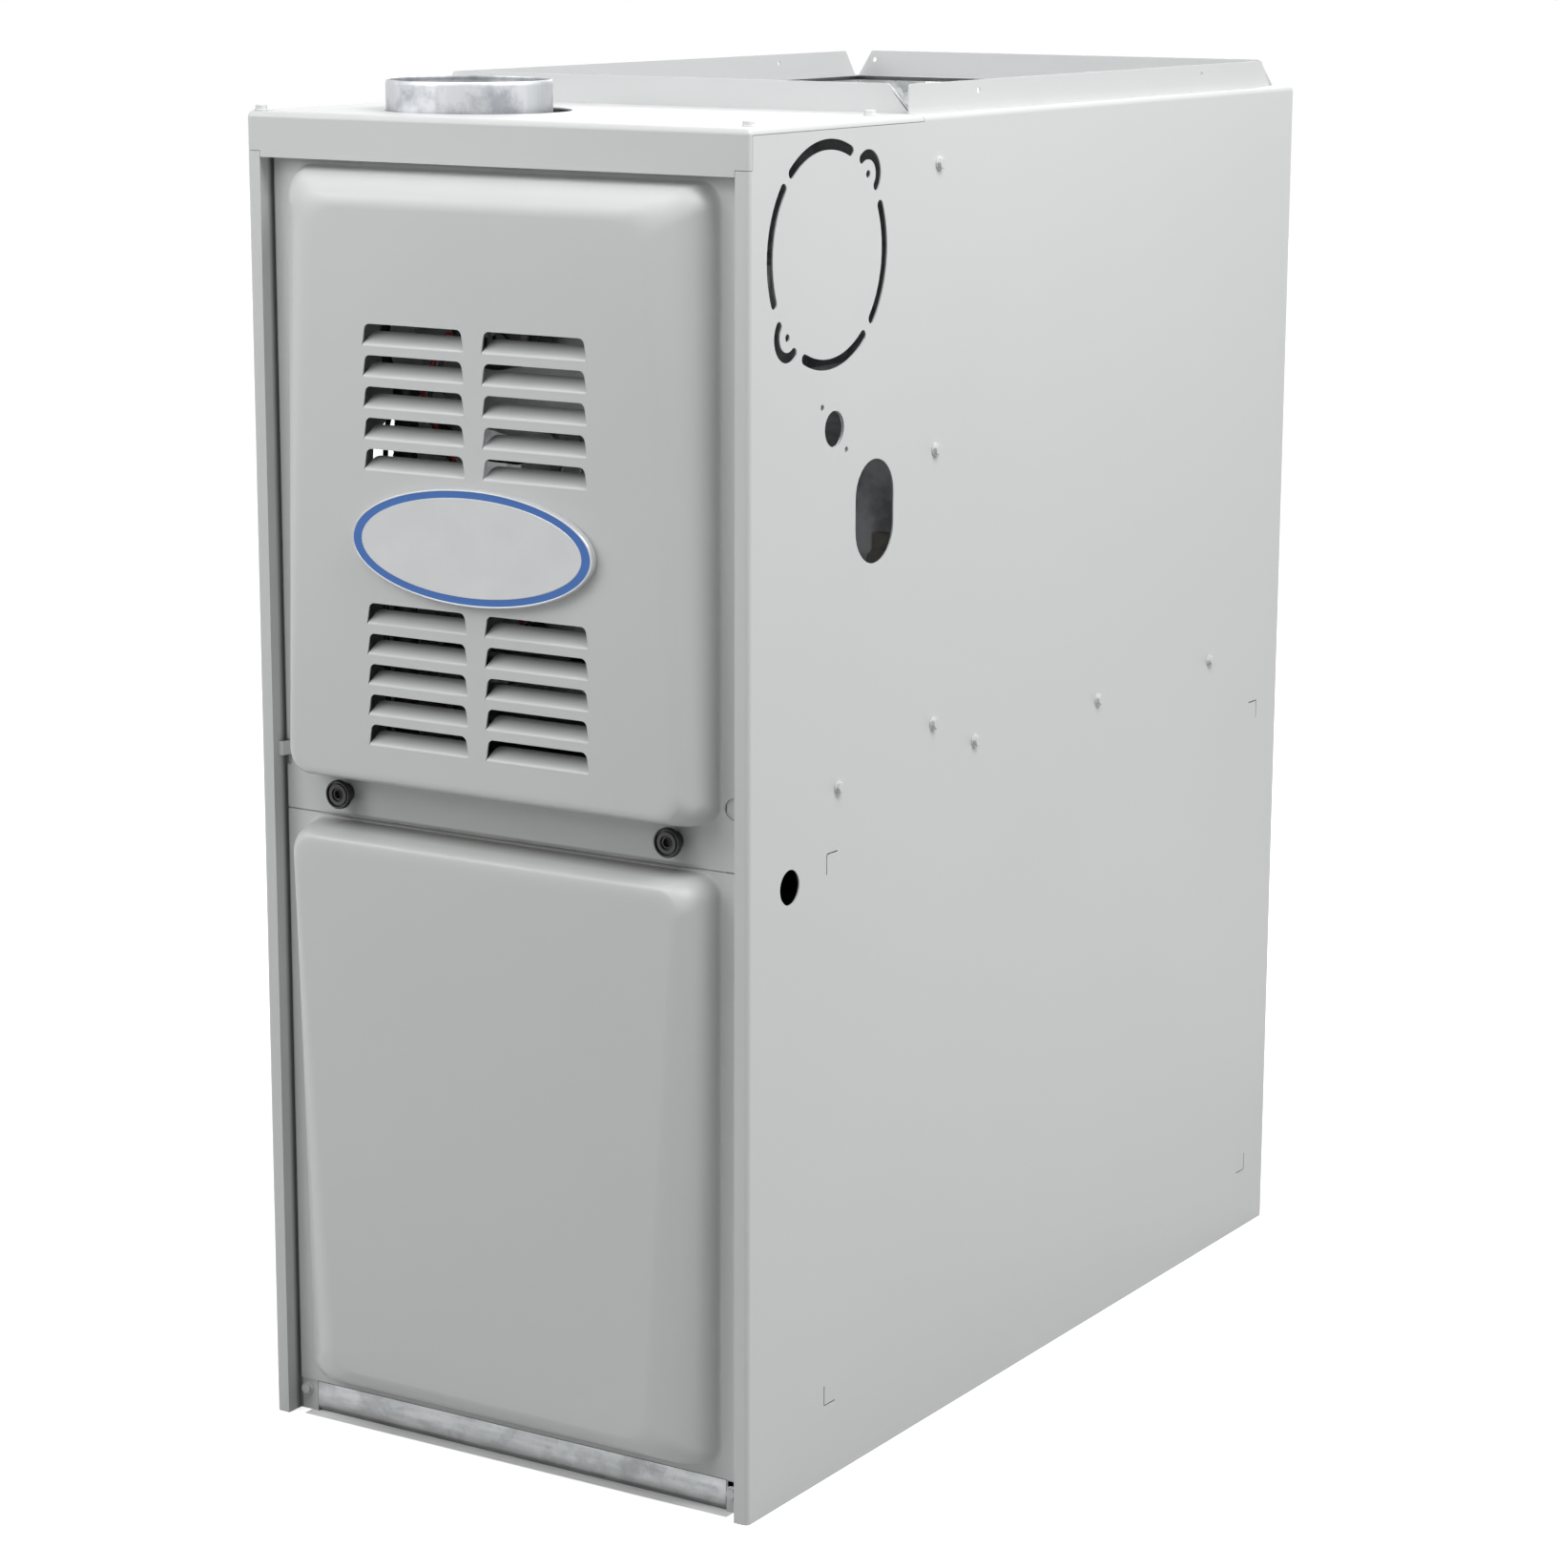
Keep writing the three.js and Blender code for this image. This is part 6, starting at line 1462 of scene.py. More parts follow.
def hex_screw(across=6.4, washer=4.4, height=3.4):
    """A hexagon head on its washer, made round the world's origin and facing up."""
    rings, steps = [], 24
    corner = across / math.sqrt(3)
    for radius, z, round_part in (
        (washer - 0.3, 0.0, 1), (washer, 0.25, 1), (washer - 0.15, 0.75, 1),
        (washer - 0.6, 0.95, 1),
        (corner, 1.0, 0), (corner, height - 0.5, 0), (corner - 0.35, height - 0.15, 0.3),
        (corner - 0.9, height, 1),
    ):
        ring = []
        for i in range(steps):
            a = 2 * math.pi * i / steps
            flat = corner * math.cos(math.pi / 6) / math.cos((a % (math.pi / 3)) - math.pi / 6)
            r = radius * round_part + (1 - round_part) * flat * radius / corner
            ring.append((r * math.cos(a), r * math.sin(a), z))
        rings.append(ring)
    places = [Vector(p) / 1000 for ring in rings for p in ring]
    return smooth(piece("screw shape", places, ring_faces(len(rings), steps), "paint"), 30)


print("scatter tree ready")

# %% Casing screws
SIDE_SCREWS = [
    (216, 816), (215, 639.5), (216, 465.5), (270, 445), (439.5, 444.5), (609.5, 445.5),
    (101.2, 444.7),
]
TOP_SCREWS = [(6.5, 7), (354.5, 20), (346, 170), (22, 170)]
JAMB_SCREWS = [(16, 14.5), (WIDTH - 19.5, 13)]
SUNK = 0.1
screw = hex_screw()
casing_screws = [
    scatter(
        "side_screws_right", screw, [(WIDTH - SUNK, y, z) for y, z in SIDE_SCREWS], "x", "paint", 3,
    ),
    scatter("side_screws_left", screw, [(SUNK, y, z) for y, z in SIDE_SCREWS], "-x", "paint", 5),
    scatter("top_screws", screw, [(x, y, HEIGHT - SUNK) for x, y in TOP_SCREWS], "z", "paint", 7),
    scatter("jamb_screws", screw, [(x, JAMB_Y, z) for x, z in JAMB_SCREWS], "-y", "paint", 9),
]
for made in casing_screws:
    finish_piece(made, "cabinet", "paint")
discard(screw)

# %% [markdown]
# ## Latch, base pan and linings
# A small tab from the left stile hooks into the upper door's notch. The base pan is galvanised: its
# front strip closes the space under the doors and rolls under at the floor, and its middle is open
# for return air. Two linings are inside the casing: foil-faced glass wool round the heat exchanger,
# which shows in the supply opening, and black mat in the blower's compartment.

# %% Latch tab
LATCH_Z = (441.0, 450.0)
root = STILE - SHEET
hook = [(root, 5.0), (13.2, 5.0), (14.8, 11.6), (13.9, 11.9), (12.4, 6.0), (root, 6.0)]
latch = prism("latch_tab", "z", rounded(hook, [0, 1.4, 0.2, 0.2, 0.8, 0], 5), *LATCH_Z)
finish_piece(soften(latch, 0.25), "cabinet", "paint")

# %% Base pan
BASE_H, BASE_BEND = 20.5, 4.5
RETURN_AIR_X, RETURN_AIR_Y, RETURN_LIP = (40.0, WIDTH - 40.0), (60.0, DEPTH - 44.0), 12.0
INSIDE = SHEET + GAP


def make_base_pan():
    front, r = JAMB_Y, BASE_BEND
    left, right = STILE + JAMB + GAP, WIDTH - STILE - JAMB - GAP
    bend = (front + r, r)
    outline = [(front, BASE_H), *arc(bend, r, 180, 270, 8), (front + 9, 0)]
    outline += [(front + 9, SHEET), *arc(bend, r - SHEET, 270, 180, 8), (front + SHEET, BASE_H)]
    strip = prism("base_strip", "x", outline, left, right, "galvanised")
    plan = rectangle(INSIDE, WIDTH - INSIDE, front + 2 * SHEET + 2 * GAP, DEPTH - INSIDE)
    plan = rounded(plan, [0, 0, EDGE_R, EDGE_R], 6)
    sheet = prism("pan", "z", plan, 0, SHEET, "galvanised")
    (x0, x1), (y0, y1) = RETURN_AIR_X, RETURN_AIR_Y
    frame_lip = block("lip", (x0, x1), (y0, y1), (0, RETURN_LIP), "galvanised")
    cut_away(
        frame_lip, block("air", (x0 + SHEET, x1 - SHEET), (y0 + SHEET, y1 - SHEET), (-FAR, FAR)),
    )
    half = SHEET / 2
    cut_away(sheet, block("air", (x0 + half, x1 - half), (y0 + half, y1 - half), (-FAR, FAR)))
    return soften(add_to(strip, sheet, frame_lip), 0.2, 2, 50)


stand_in(make_base_pan(), "base_pan")

# %% Linings
def creases(s, z, size):
    """0 to 1: sharp ridges like those of handled foil."""
    ridge = 0.0
    for k, scale in enumerate((1.0, 2.1, 4.3)):
        place = Vector((s / size * scale, z / size * scale, 7.3 * k))
        ridge += (1 - 2 * abs(noise.noise(place))) / (1.6 ** k)
    return ridge / 2.0


def lining(name, color, front, low, high, thick, wave, size, step):
    """A mat along both sides and the back, its inner face uneven."""
    x0, x1, y1 = INSIDE, WIDTH - INSIDE, DEPTH - INSIDE
    outer = [(x0, front), (x0, y1), (x1, y1), (x1, front)]
    left, right, back = x0 + thick, x1 - thick, y1 - thick
    inner = [(left, front), (left, back), (right, back), (right, front)]
    line, lengths = [], [math.dist(a, b) for a, b in zip(outer, outer[1:])]
    for (a, b, c, d), length in zip(zip(outer, outer[1:], inner, inner[1:]), lengths):
        count = max(2, round(length / step))
        for k in range(count):
            outside = Vector(a).lerp(Vector(b), k / count)
            inward = Vector(c).lerp(Vector(d), k / count)
            line.append((outside, inward))
    line.append((Vector(outer[-1]), Vector(inner[-1])))
    rings = []
    levels = max(2, round((high - low) / step))
    for level in range(levels + 1):
        z = low + (high - low) * level / levels
        out_row, in_row = [], []
        for k, (out, inward) in enumerate(line):
            edge = min(1.0, min(k, len(line) - 1 - k) / 2, min(level, levels - level) / 2)
            lift = wave * (creases(k * step, z, size) - 0.5) * edge
            out_row.append((out.x, out.y, z))
            in_row.append((*(inward + (inward - out).normalized() * lift), z))
        rings.append(out_row + in_row[::-1])
    return smooth(lofted(name, rings, color), 60)


foil_lining = lining(
    "foil_faced_lining", "foil", front=SUPPLY_Y + GAP, low=430.3, high=842.0,
    thick=8.0, wave=2.4, size=26.0, step=6.5,
)
stand_in(foil_lining, "heat_section_liner")
felt_lining = lining(
    "black_mat_lining", "dark_felt", front=240.0, low=1.3, high=428.7,
    thick=8.0, wave=1.2, size=60.0, step=14.0,
)
stand_in(felt_lining, "blower_section_liner")


MAT_Z, MAT_Y, MAT_INSET = (66.0, 372.0), (-16.8, -9.0), 7.0


def make_door_mat():
    """A mat behind the lower door's face, with sides that follow the face's."""
    (low, high), (side_low, side_high) = LOWER["face"], LOWER["sides"]
    shares = [(z - low) / (high - low) for z in MAT_Z]
    foot, top = (side_low + (side_high - side_low) * share + MAT_INSET for share in shares)
    plan = [(foot, MAT_Z[0]), (WIDTH - foot, MAT_Z[0]), (WIDTH - top, MAT_Z[1]), (top, MAT_Z[1])]
    outline = [(z, x) for x, z in rounded(plan, 12, 6)]
    return soften(prism("door_mat", "y", outline, *MAT_Y, "dark_felt"), 1.5, 3)


stand_in(make_door_mat(), "lower_door_liner")

# %% [markdown]
# ## Inner sheets and castings
# Most inner parts are folded sheet whose solids already have the right form. `dress` takes a
# merged copy of such a solid, joins its triangles into whole faces and gives it soft edges, and the
# copy stands in for the solid.

# %% Dressed copies
def dress(name, width=0.3):
    mesh = frame["nodes"][name].data.copy()
    shape = bmesh.new()
    shape.from_mesh(mesh)
    bmesh.ops.remove_doubles(shape, verts=shape.verts, dist=1e-5)
    bmesh.ops.dissolve_limit(
        shape, angle_limit=math.radians(0.6), verts=shape.verts, edges=shape.edges,
    )
    shape.to_mesh(mesh)
    shape.free()
    made = soften(new_object(name + "_dressed", mesh), width, 2, 40, 38)
    return stand_in(made, name)


for name in (
    "blower_deck", "vestibule_panel", "heat_exchanger_rest", "collector_box", "inducer_housing",
    "flue_transition", "burner_rack", "junction_box", "control_bracket", "motor_mount",
    "limit_switch",
    "door_switch", "rollout_switch_left", "rollout_switch_right", "igniter", "flame_sensor",
    "gas_manifold", "transformer",
):
    dress(name)
for number in (1, 2, 3):
    dress(f"heat_exchanger_cell_{number}", 0.8)

# %% [markdown]
# ## Parts that go round
# Wheels, motors and burners are turned or repeat round an axis. One Geometry Nodes tree places a
# shape a number of times round an axis through a centre; both wheels' blades come from it, and so
# do the motors' vents.

# %% A tree that repeats round an axis
def make_round_tree():
    tree, enter, leave = group("round an axis", "GeometryNodeTree", [
        ("Geometry", "Geometry", None), ("Count", "Int", 12), ("Centre", "Vector", (0, 0, 0)),
        ("Axis", "Vector", (1, 0, 0)), ("Sweep", "Float", 2 * math.pi),
        ("Material", "Material", None),
    ], [("Geometry", "Geometry")])
    away = vectors(tree, "SCALE", enter["Centre"], -1.0, 3)
    moved = {"Geometry": enter["Geometry"], "Translation": away}
    shape = node(tree, "GeometryNodeTransform", moved).outputs[0]
    line = node(tree, "GeometryNodeMeshLine", {
        "Count": enter["Count"], "Start Location": enter["Centre"], "Offset": (0, 0, 0),
    })
    step = maths(tree, "DIVIDE", enter["Sweep"], enter["Count"])
    angle = times(tree, node(tree, "GeometryNodeInputIndex").outputs[0], step)
    turn = node(tree, "FunctionNodeAxisAngleToRotation", {"Axis": enter["Axis"], "Angle": angle})
    copies = node(tree, "GeometryNodeInstanceOnPoints", {
        "Points": line.outputs[0], "Instance": shape, "Rotation": turn.outputs[0],
    })
    return end_tree(tree, leave, copies.outputs[0], enter["Material"])


ROUND = make_round_tree()
ALONG = {"x": (1, 0, 0), "y": (0, 1, 0), "z": (0, 0, 1)}


def around(made, axis, centre, count, color, degrees=35):
    """A plain mesh of a piece repeated round an axis through a place in cabinet mm."""
    return repeated(
        made, ROUND, degrees,
        Count=count, Centre=at(*centre), Axis=ALONG[axis], Material=FINISHES[color],
    )


print("inputs:", [item.name for item in ROUND.interface.items_tree if item.in_out == "INPUT"])

# %% [markdown]
# ## Burners and the gas train
# An in-shot burner is a steel tube with a flared mouth where gas and air enter, a narrow throat
# and a wider head that faces its cell. The valve is cast, with a turned cap over its regulator and
# a knob that stands before it.

# %% Burners
CELL_XS = (84.0, 184.0, 284.0)
BURNER_Z = 500.0


def make_burner(number):
    outer = [
        (14.6, 0.3), (16.6, 0.0), (17.0, 1.0), (16.4, 2.2), (14.6, 6.0), (12.9, 12.0), (12.0, 16.0),
    ]
    outer += [(12.0, 19.6), (13.9, 19.8), (13.9, 21.3), (10.6, 21.8), (10.0, 24.0), (10.0, 34.0)]
    outer += [*bezier([(10.0, 34.0), (10.6, 52.0), (19.4, 62.0), (20.0, 80.0)], 8)][1:]
    outer += [(20.0, 88.0), (19.4, 89.4), (19.8, 91.0), (19.4, 92.6), (20.0, 94.0), (20.0, 96.0)]
    inner = [(19.0, 96.0), (19.0, 80.0), (15.4, 62.0), (10.0, 44.0), (9.0, 34.0), (9.0, 22.0)]
    inner += [(11.0, 16.0), (12.0, 12.0), (14.6, 0.3)]
    centre = (CELL_XS[number - 1], 100.0, BURNER_Z)
    made = turned(f"burner_tube_{number}", "y", centre, outer + inner, "aluminised", 40)
    stand_in(smooth(made, 32), f"burner_{number}")


for number in (1, 2, 3):
    make_burner(number)

# %% Gas valve, its knob and the reset buttons
VALVE_FRONT = 52.0
VALVE_KNOB_AT = (310.8, 598.0)
RESET_FRONT, RESET_Z = 101.8, 514.0
dress("gas_valve", 0.9)
screw = hex_screw(4.4, 3.2, 2.6)
corners = [(x, VALVE_FRONT, z) for x in (299.5, 344.5) for z in (553.5, 608.5)]
valve_screws = scatter("valve_cover_screws", screw, corners, "-y", "zinc")
discard(screw)
finish_piece(valve_screws, "cabinet", "cast_metal")


def make_valve_knob():
    x, z = VALVE_KNOB_AT
    seat, high, r = VALVE_FRONT - GAP, 6.0, 10.8
    profile = [
        (0, 7.8), (1.8, 7.8), (1.8, 0), (r - 0.3, 0), (r, -0.4), (r - 0.2, -high + 1.2),
        (r - 0.7, -high + 0.4),
        (r - 1.4, -high), (0, -high),
    ]
    skirt = turned("valve_knob", "y", (x, seat, z), profile, "black_plastic", 48)
    grip = rounded(rectangle(z - r + 1.4, z + r - 1.4, x - 2.4, x + 2.4), 2.0, 4)
    add_to(skirt, prism("grip", "y", grip, seat - 2 * high, seat - high + 1.0, "black_plastic"))
    return stand_in(soften(skirt, 0.5), "gas_valve_knob")


def make_reset(side, x):
    profile = [(0, 0), (2.1, 0), (2.4, 0.4), (2.4, 4.6), (2.05, 4.9), (2.05, 9.8), (1.8, 10.1)]
    profile.append((0, 10.1))
    centre = (x, RESET_FRONT, RESET_Z)
    button = turned(f"reset_button_{side}", "y", centre, profile, "red_plastic", 32)
    name = f"rollout_reset_{side}"
    return stand_in(smooth(button, 40), name)


make_valve_knob()
for side, x in (("left", 134.0), ("right", 234.0)):
    make_reset(side, x)

# %% [markdown]
# ## Draught inducer
# The inducer's motor is a black can with vents round its front. Its wheel draws flue gas out of
# the collector box. A hose of black rubber carries the pressure from the housing's port to the
# pressure switch, a crimped steel drum.

# %% Inducer motor and wheel
INDUCER = (165.0, 725.0)


def make_inducer_motor():
    x, z = INDUCER
    centre = (x, 21.7, z)
    profile = [
        (0, 5.0), (4.3, 5.0), (4.3, 0.9), (7.0, 0.0), (24.5, 0.4), (27.5, 1.4), (30.4, 3.6),
        (31.6, 6.4), (32.0, 9.0),
        (32.0, 12.6), (31.5, 13.0), (31.5, 14.0), (32.0, 14.4), (32.0, 27.6), (31.2, 28.6),
        (24.4, 32.6), (24.0, 33.4),
        (24.0, 38.0), (4.3, 38.0), (4.3, 6.0), (0, 6.0),
    ]
    can = turned("inducer_motor_can", "y", centre, profile[1:-1] + [profile[1]], "motor_black", 64)
    outline = [(z + 11, x - 1.5), (z + 23, x - 2.4), (z + 23, x + 2.4), (z + 11, x + 1.5)]
    slit = prism("slit", "y", outline, 19.0, 23.4)
    cut_away(can, around(slit, "y", centre, 12, "motor_black"))
    return stand_in(smooth(can, 30), "inducer_motor")


def make_inducer_wheel():
    x, z = INDUCER
    hub = turned("inducer_wheel_hub", "y", (x, 65.0, z), [
        (0, -30), (3.5, -30), (4, -29.5), (4, 0), (43.6, 0), (44, 0.3), (44, 1.2), (43.6, 1.5),
        (10.4, 1.5), (9.8, 2.2),
        (9.8, 36.2), (9.2, 37), (0, 37),
    ], "galvanised", 64)
    stand_in(smooth(hub), "inducer_wheel")
    front_line = [
        (z + 1.2 + 3.2 * math.sin(math.pi * t / 10), x + 9.5 + 3.4 * t) for t in range(11)
    ]
    back_line = [(a - 1.0, b) for a, b in reversed(front_line)]
    blade = prism("inducer_blades", "y", front_line + back_line, 66.3, 101.8, "galvanised")
    blades = around(blade, "y", (x, 0, z), 12, "galvanised")
    stand_in(blades, "inducer_wheel")


make_inducer_motor()
make_inducer_wheel()

# %% [markdown]
# ### Tubes along a path
# A hose or a wire is a circle carried along a smooth path. The path runs through its points as a
# Catmull-Rom curve, and the circle's frame is carried from one place to the next, so it never
# twists suddenly.

# %% A tube along points
def smooth_path(points, steps):
    """Places on a Catmull-Rom curve through the points."""
    ends = [Vector(p) for p in points]
    line = [2 * ends[0] - ends[1], *ends, 2 * ends[-1] - ends[-2]]
    path = []
    for a, b, c, d in zip(line, line[1:], line[2:], line[3:]):
        for k in range(steps):
            t = k / steps
            path.append(0.5 * (2 * b + (c - a) * t + (2 * a - 5 * b + 4 * c - d) * t * t
                               + (3 * b - a - 3 * c + d) * t ** 3))
    return path + [ends[-1]]


def frames(path):
    """Two directions across the path at each place, carried along it."""
    along = [(b - a).normalized() for a, b in zip(path, path[1:])]
    along.append(along[-1])
    across = along[0].orthogonal().normalized()
    found = []
    for way in along:
        across = (across - way * across.dot(way)).normalized()
        found.append((across, way.cross(across)))
    return found


def tube(name, path, radius, color, sides=16, bore=0.0):
    """A round tube along a path, hollow when it has a bore."""
    places = []
    radii = [radius] if not bore else [radius, bore]
    for here, (u, v) in zip(path, frames(path)):
        for r in radii:
            for k in range(sides):
                a = 2 * math.pi * k / sides
                places.append(at(*(here + (u * math.cos(a) + v * math.sin(a)) * r)))
    row, faces = sides * len(radii), []
    for i in range(len(path) - 1):
        for layer in range(len(radii)):
            for k in range(sides):
                start = i * row + layer * sides
                first, second = start + k, start + (k + 1) % sides
                face = (first, second, second + row, first + row)
                faces.append(face if layer == 0 else face[::-1])
    for i in (0, len(path) - 1):
        start, order = i * row, 1 if i else -1
        if not bore:
            faces.append(tuple(range(start, start + sides))[::order])
            continue
        for k in range(sides):
            a, b = start + k, start + (k + 1) % sides
            faces.append((a, b, b + sides, a + sides)[::order])
    return smooth(piece(name, places, faces, color), 40)


# %% Pressure switch and hose
SWITCH_AT = (92.0, 620.0)


def make_pressure_switch():
    x, z = SWITCH_AT
    profile = [
        (0, 0), (1.6, 0), (2.5, 1.2), (2.5, 3.2), (2.1, 3.6), (2.1, 4.6), (2.5, 5.0), (2.5, 17.4),
        (3.2, 18), (16.6, 18),
        (17.2, 18.4), (18.4, 20.6), (20, 21.4), (29.4, 23.2), (30.6, 24), (31.2, 25.4),
        (33.4, 25.8), (34, 26.4),
        (34, 29.4), (33.4, 30), (30.2, 30.4), (28.6, 31.2), (27.4, 33), (26, 39.4), (26, 42),
        (0, 42),
    ]
    drum = turned("pressure_switch_drum", "y", (x, 159.7, z), profile, "galvanised", 64)
    return stand_in(smooth(drum, 32), "pressure_switch")


make_pressure_switch()
hose_path = smooth_path([
    (92, 166.5, 620), (92, 158, 620), (92, 146, 621), (80, 114.4, 632), (42.0, 89, 675),
    (40.6, 85.5, 723),
    (53.7, 85, 745), (62, 85, 745), (73, 85, 745),
], 8)
hose = tube("pressure_hose_rubber", hose_path, 3.5, "rubber", 20, 2.56)
stand_in(hose, "pressure_hose")
print("hose places:", len(hose_path))

# %% [markdown]
# ## Controls
# The control board stands on posts before its bracket. It carries relays, chips, a white plug,
# capacitors, a row of blade terminals, fuse clips and small resistors in a grid. Its outline is
# that of its solid, and components that look alike are one piece.

# %% Board tools
BOARD = {"x": (72.0, 222.0), "z": (318.0, 414.0), "face": 53.7, "thick": 1.6}


def on_board(x, z, wide, high, out, color, round_by=0.0):
    """A block on the board's face, with x and z from its lower left corner."""
    x0, z0 = BOARD["x"][0] + x, BOARD["z"][0] + z
    outline = rectangle(z0, z0 + high, x0, x0 + wide)
    if round_by:
        outline = rounded(outline, round_by, 4)
    return prism("component", "y", outline, BOARD["face"] - out, BOARD["face"] - 0.02, color)


def joined(name, *parts):
    """Several closed parts as one mesh, each with its own finish."""
    shape, mesh = bmesh.new(), bpy.data.meshes.new(name)
    for part in parts:
        color = part.data.materials[0]
        if color.name not in mesh.materials:
            mesh.materials.append(color)
        first = len(shape.faces)
        shape.from_mesh(part.data)
        shape.faces.ensure_lookup_table()
        for face in shape.faces[first:]:
            face.material_index = mesh.materials.find(color.name)
        discard(part)
    shape.to_mesh(mesh)
    shape.free()
    return new_object(name, mesh)


print("board outline:", BOARD["x"], BOARD["z"])

# %% Board and its components
def make_board():
    (x0, x1), (z0, z1) = BOARD["x"], BOARD["z"]
    face, corners = BOARD["face"], [(x, z) for x in (6.0, 144.0) for z in (6.0, 90.0)]
    outline = rounded(rectangle(z0, z1, x0, x1), 2.5, 5)
    plate = prism("board", "y", outline, face, face + BOARD["thick"], "circuit_board")
    posts = [
        turned("post", "y", (x0 + x, face, z0 + z), [
            (0, -1.6), (1.9, -1.6), (2.3, -1.0), (3.6, -0.8), (3.6, -0.02), (0, -0.02),
        ], "zinc", 20) for x, z in corners
    ]
    feet = [
        turned("foot", "y", (x0 + x, face + BOARD["thick"], z0 + z), [
            (0, 0.02), (2.5, 0.02), (2.5, 4.3), (0, 4.3)], "ceramic", 16) for x, z in corners
    ]
    return soften(joined("circuit_board", plate, *posts, *feet), 0.2, 1)


def make_relays():
    relays = [on_board(14 + 26 * i, 60, 20, 26, 15.9, "black_plastic", 1.2) for i in range(3)]
    chips = [
        on_board(26, 20, 34, 9, 4.2, "black_plastic"),
        on_board(92, 28, 12, 5, 2.6, "black_plastic"),
    ]
    return soften(joined("board_relays", *relays, *chips), 0.45, 2)


def make_board_details():
    can = [
        (0, 0), (4.6, 0), (5, -0.5), (5, -1.6), (4.6, -2.1), (5, -2.6), (5, -12.4), (4.6, -12.9),
        (0, -12.6),
    ]
    cans = [
        turned(
            "can", "y", (BOARD["x"][0] + x, BOARD["face"] - 0.02, BOARD["z"][0] + z),
            can, color, 28,
        )
        for x, z, color in ((106, 74, "wire_blue"), (106, 60, "wire_blue"), (16, 44, "motor_black"))
    ]
    plug = on_board(120, 14, 22, 52, 11.9, "white_card", 0.8)
    pins = [
        on_board(123.5 + 9 * i, 17 + 8 * k, 5.5, 5, 13.4, "ceramic", 1.0)
        for i in range(2) for k in range(6)
    ]
    return soften(joined("board_plug_and_cans", *cans, plug, *pins), 0.3, 1)


def small_parts(name, x, z, wide, high, out, color, rows, across, row_step, across_step):
    one = soften(on_board(x, z, wide, high, out, color), 0.12, 1)
    one.name = name
    return repeated(
        one, BANKS, Rows=rows, Row_Step=(0, 0, row_step / 1000), Banks_Across=across,
        Across_Step=(across_step / 1000, 0, 0), Material=FINISHES[color],
    )


for made in (
    make_board(), make_relays(), make_board_details(),
    small_parts("board_blades", 94, 70, 0.8, 6.3, 8.0, "zinc", 1, 5, 8.0, 9.5),
    small_parts("board_resistors", 66, 16, 6.0, 2.2, 2.2, "ceramic", 6, 2, 6.0, 12.0),
    small_parts("board_fuse_clips", 70, 52, 2.0, 9.0, 6.0, "brass", 1, 3, 8.0, 4.0),
):
    stand_in(made, "control_board")

# %% [markdown]
# ### Door switch, studs and wires
# The switch's plunger is white nylon. Each door knob's stud is a turned pin with a groove. The
# harness is five coloured wires laid round one path; they are fixed at both ends inside, in a
# plug by the board's bracket and one under the gas valve, and black ties hold them together.

# %% Plunger and studs
plunger = turned("plunger_pin", "y", (184.0, 13.3, 401.0), [
    (0, 0), (1.2, 0), (1.7, 0.25), (1.9, 0.8), (1.9, 19.0), (1.6, 19.3), (0, 19.3)], "ceramic", 28)
stand_in(smooth(plunger, 40), "door_switch_plunger")
for side, x in KNOB_X.items():
    stud = turned(f"quarter_turn_stud_{side}", "y", (x, 12.0, KNOB_Z), [
        (0, 0), (2.9, 0), (3, 0.2), (3, 3.6), (2.3, 4.0), (2.3, 5.4), (3, 5.8), (3, 6.6), (2.2, 8),
        (0, 8)], "zinc", 32)
    name = f"door_knob_stud_{side}"
    stand_in(smooth(stud, 40), name)

# %% Wires
WIRE_COLORS = [f"wire_{name}" for name in WIRE_TONES]
TIED_AT = (9, 17, 33, 43)
harness_path = smooth_path([
    (317.5, 68.0, 340.0), (328.3, 66.0, 344.0), (338.0, 60.5, 372.0), (338.0, 60.0, 410.0),
    (338.0, 60.0, 450.0),
    (338.0, 62.0, 490.0), (334.0, 64.0, 524.0), (334.0, 65.5, 541.0), (334.0, 66.0, 546.5),
], 7)


def laid(path, number, spacing=1.75):
    """One wire of the bundle: it goes slowly round the bundle's path."""
    line = []
    for k, (here, (u, v)) in enumerate(zip(path, frames(path))):
        a = 2 * math.pi * number / len(WIRE_COLORS) + 0.05 * k + 0.3 * math.sin(0.4 * k + number)
        line.append(here + (u * math.cos(a) + v * math.sin(a)) * spacing)
    return line


for number, color in enumerate(WIRE_COLORS):
    wire = tube(f"harness_{color}", laid(harness_path, number), 0.95, color, 10)
    stand_in(wire, "wire_harness")


def make_ties():
    bands = []
    for k in TIED_AT:
        middle = harness_path[k]
        way = (harness_path[k + 1] - harness_path[k - 1]).normalized()
        path = [middle - way * 1.2, middle, middle + way * 1.2]
        bands.append(tube("band", path, 3.3, "black_plastic", 18, 2.2))
    plugs = [
        soften(block("plug", (316.3, 322.5), (63.6, 71.2), (334.5, 345.0), "black_plastic"), 0.8),
        soften(block("plug", (328.6, 339.4), (61.8, 70.4), (541.0, 547.7), "black_plastic"), 0.8),
    ]
    seat = turned("grommet", "z", (338.0, 60.0, 426.6), [
        (4.3, 0), (8.6, 0), (8.8, 0.5), (8.6, 1.6), (6.3, 2.0), (6.3, 3.6), (8.6, 4.0), (8.8, 5.1),
        (8.6, 5.6), (4.3, 5.6),
        (4.3, 0)], "rubber", 32)
    return joined("harness_ties", *bands, *plugs, seat)


finish_piece(smooth(make_ties(), 40), "cabinet", "black_plastic", "wire_harness")

# %% [markdown]
# ## Blower
# The blower's housing is a scroll of galvanised sheet with rolled inlets on both sides. Inside, a
# wheel with many forward-curved blades turns on the motor's shaft. The motor hangs in the left
# inlet on the arms of its mount, and its capacitor is strapped to the housing's side.

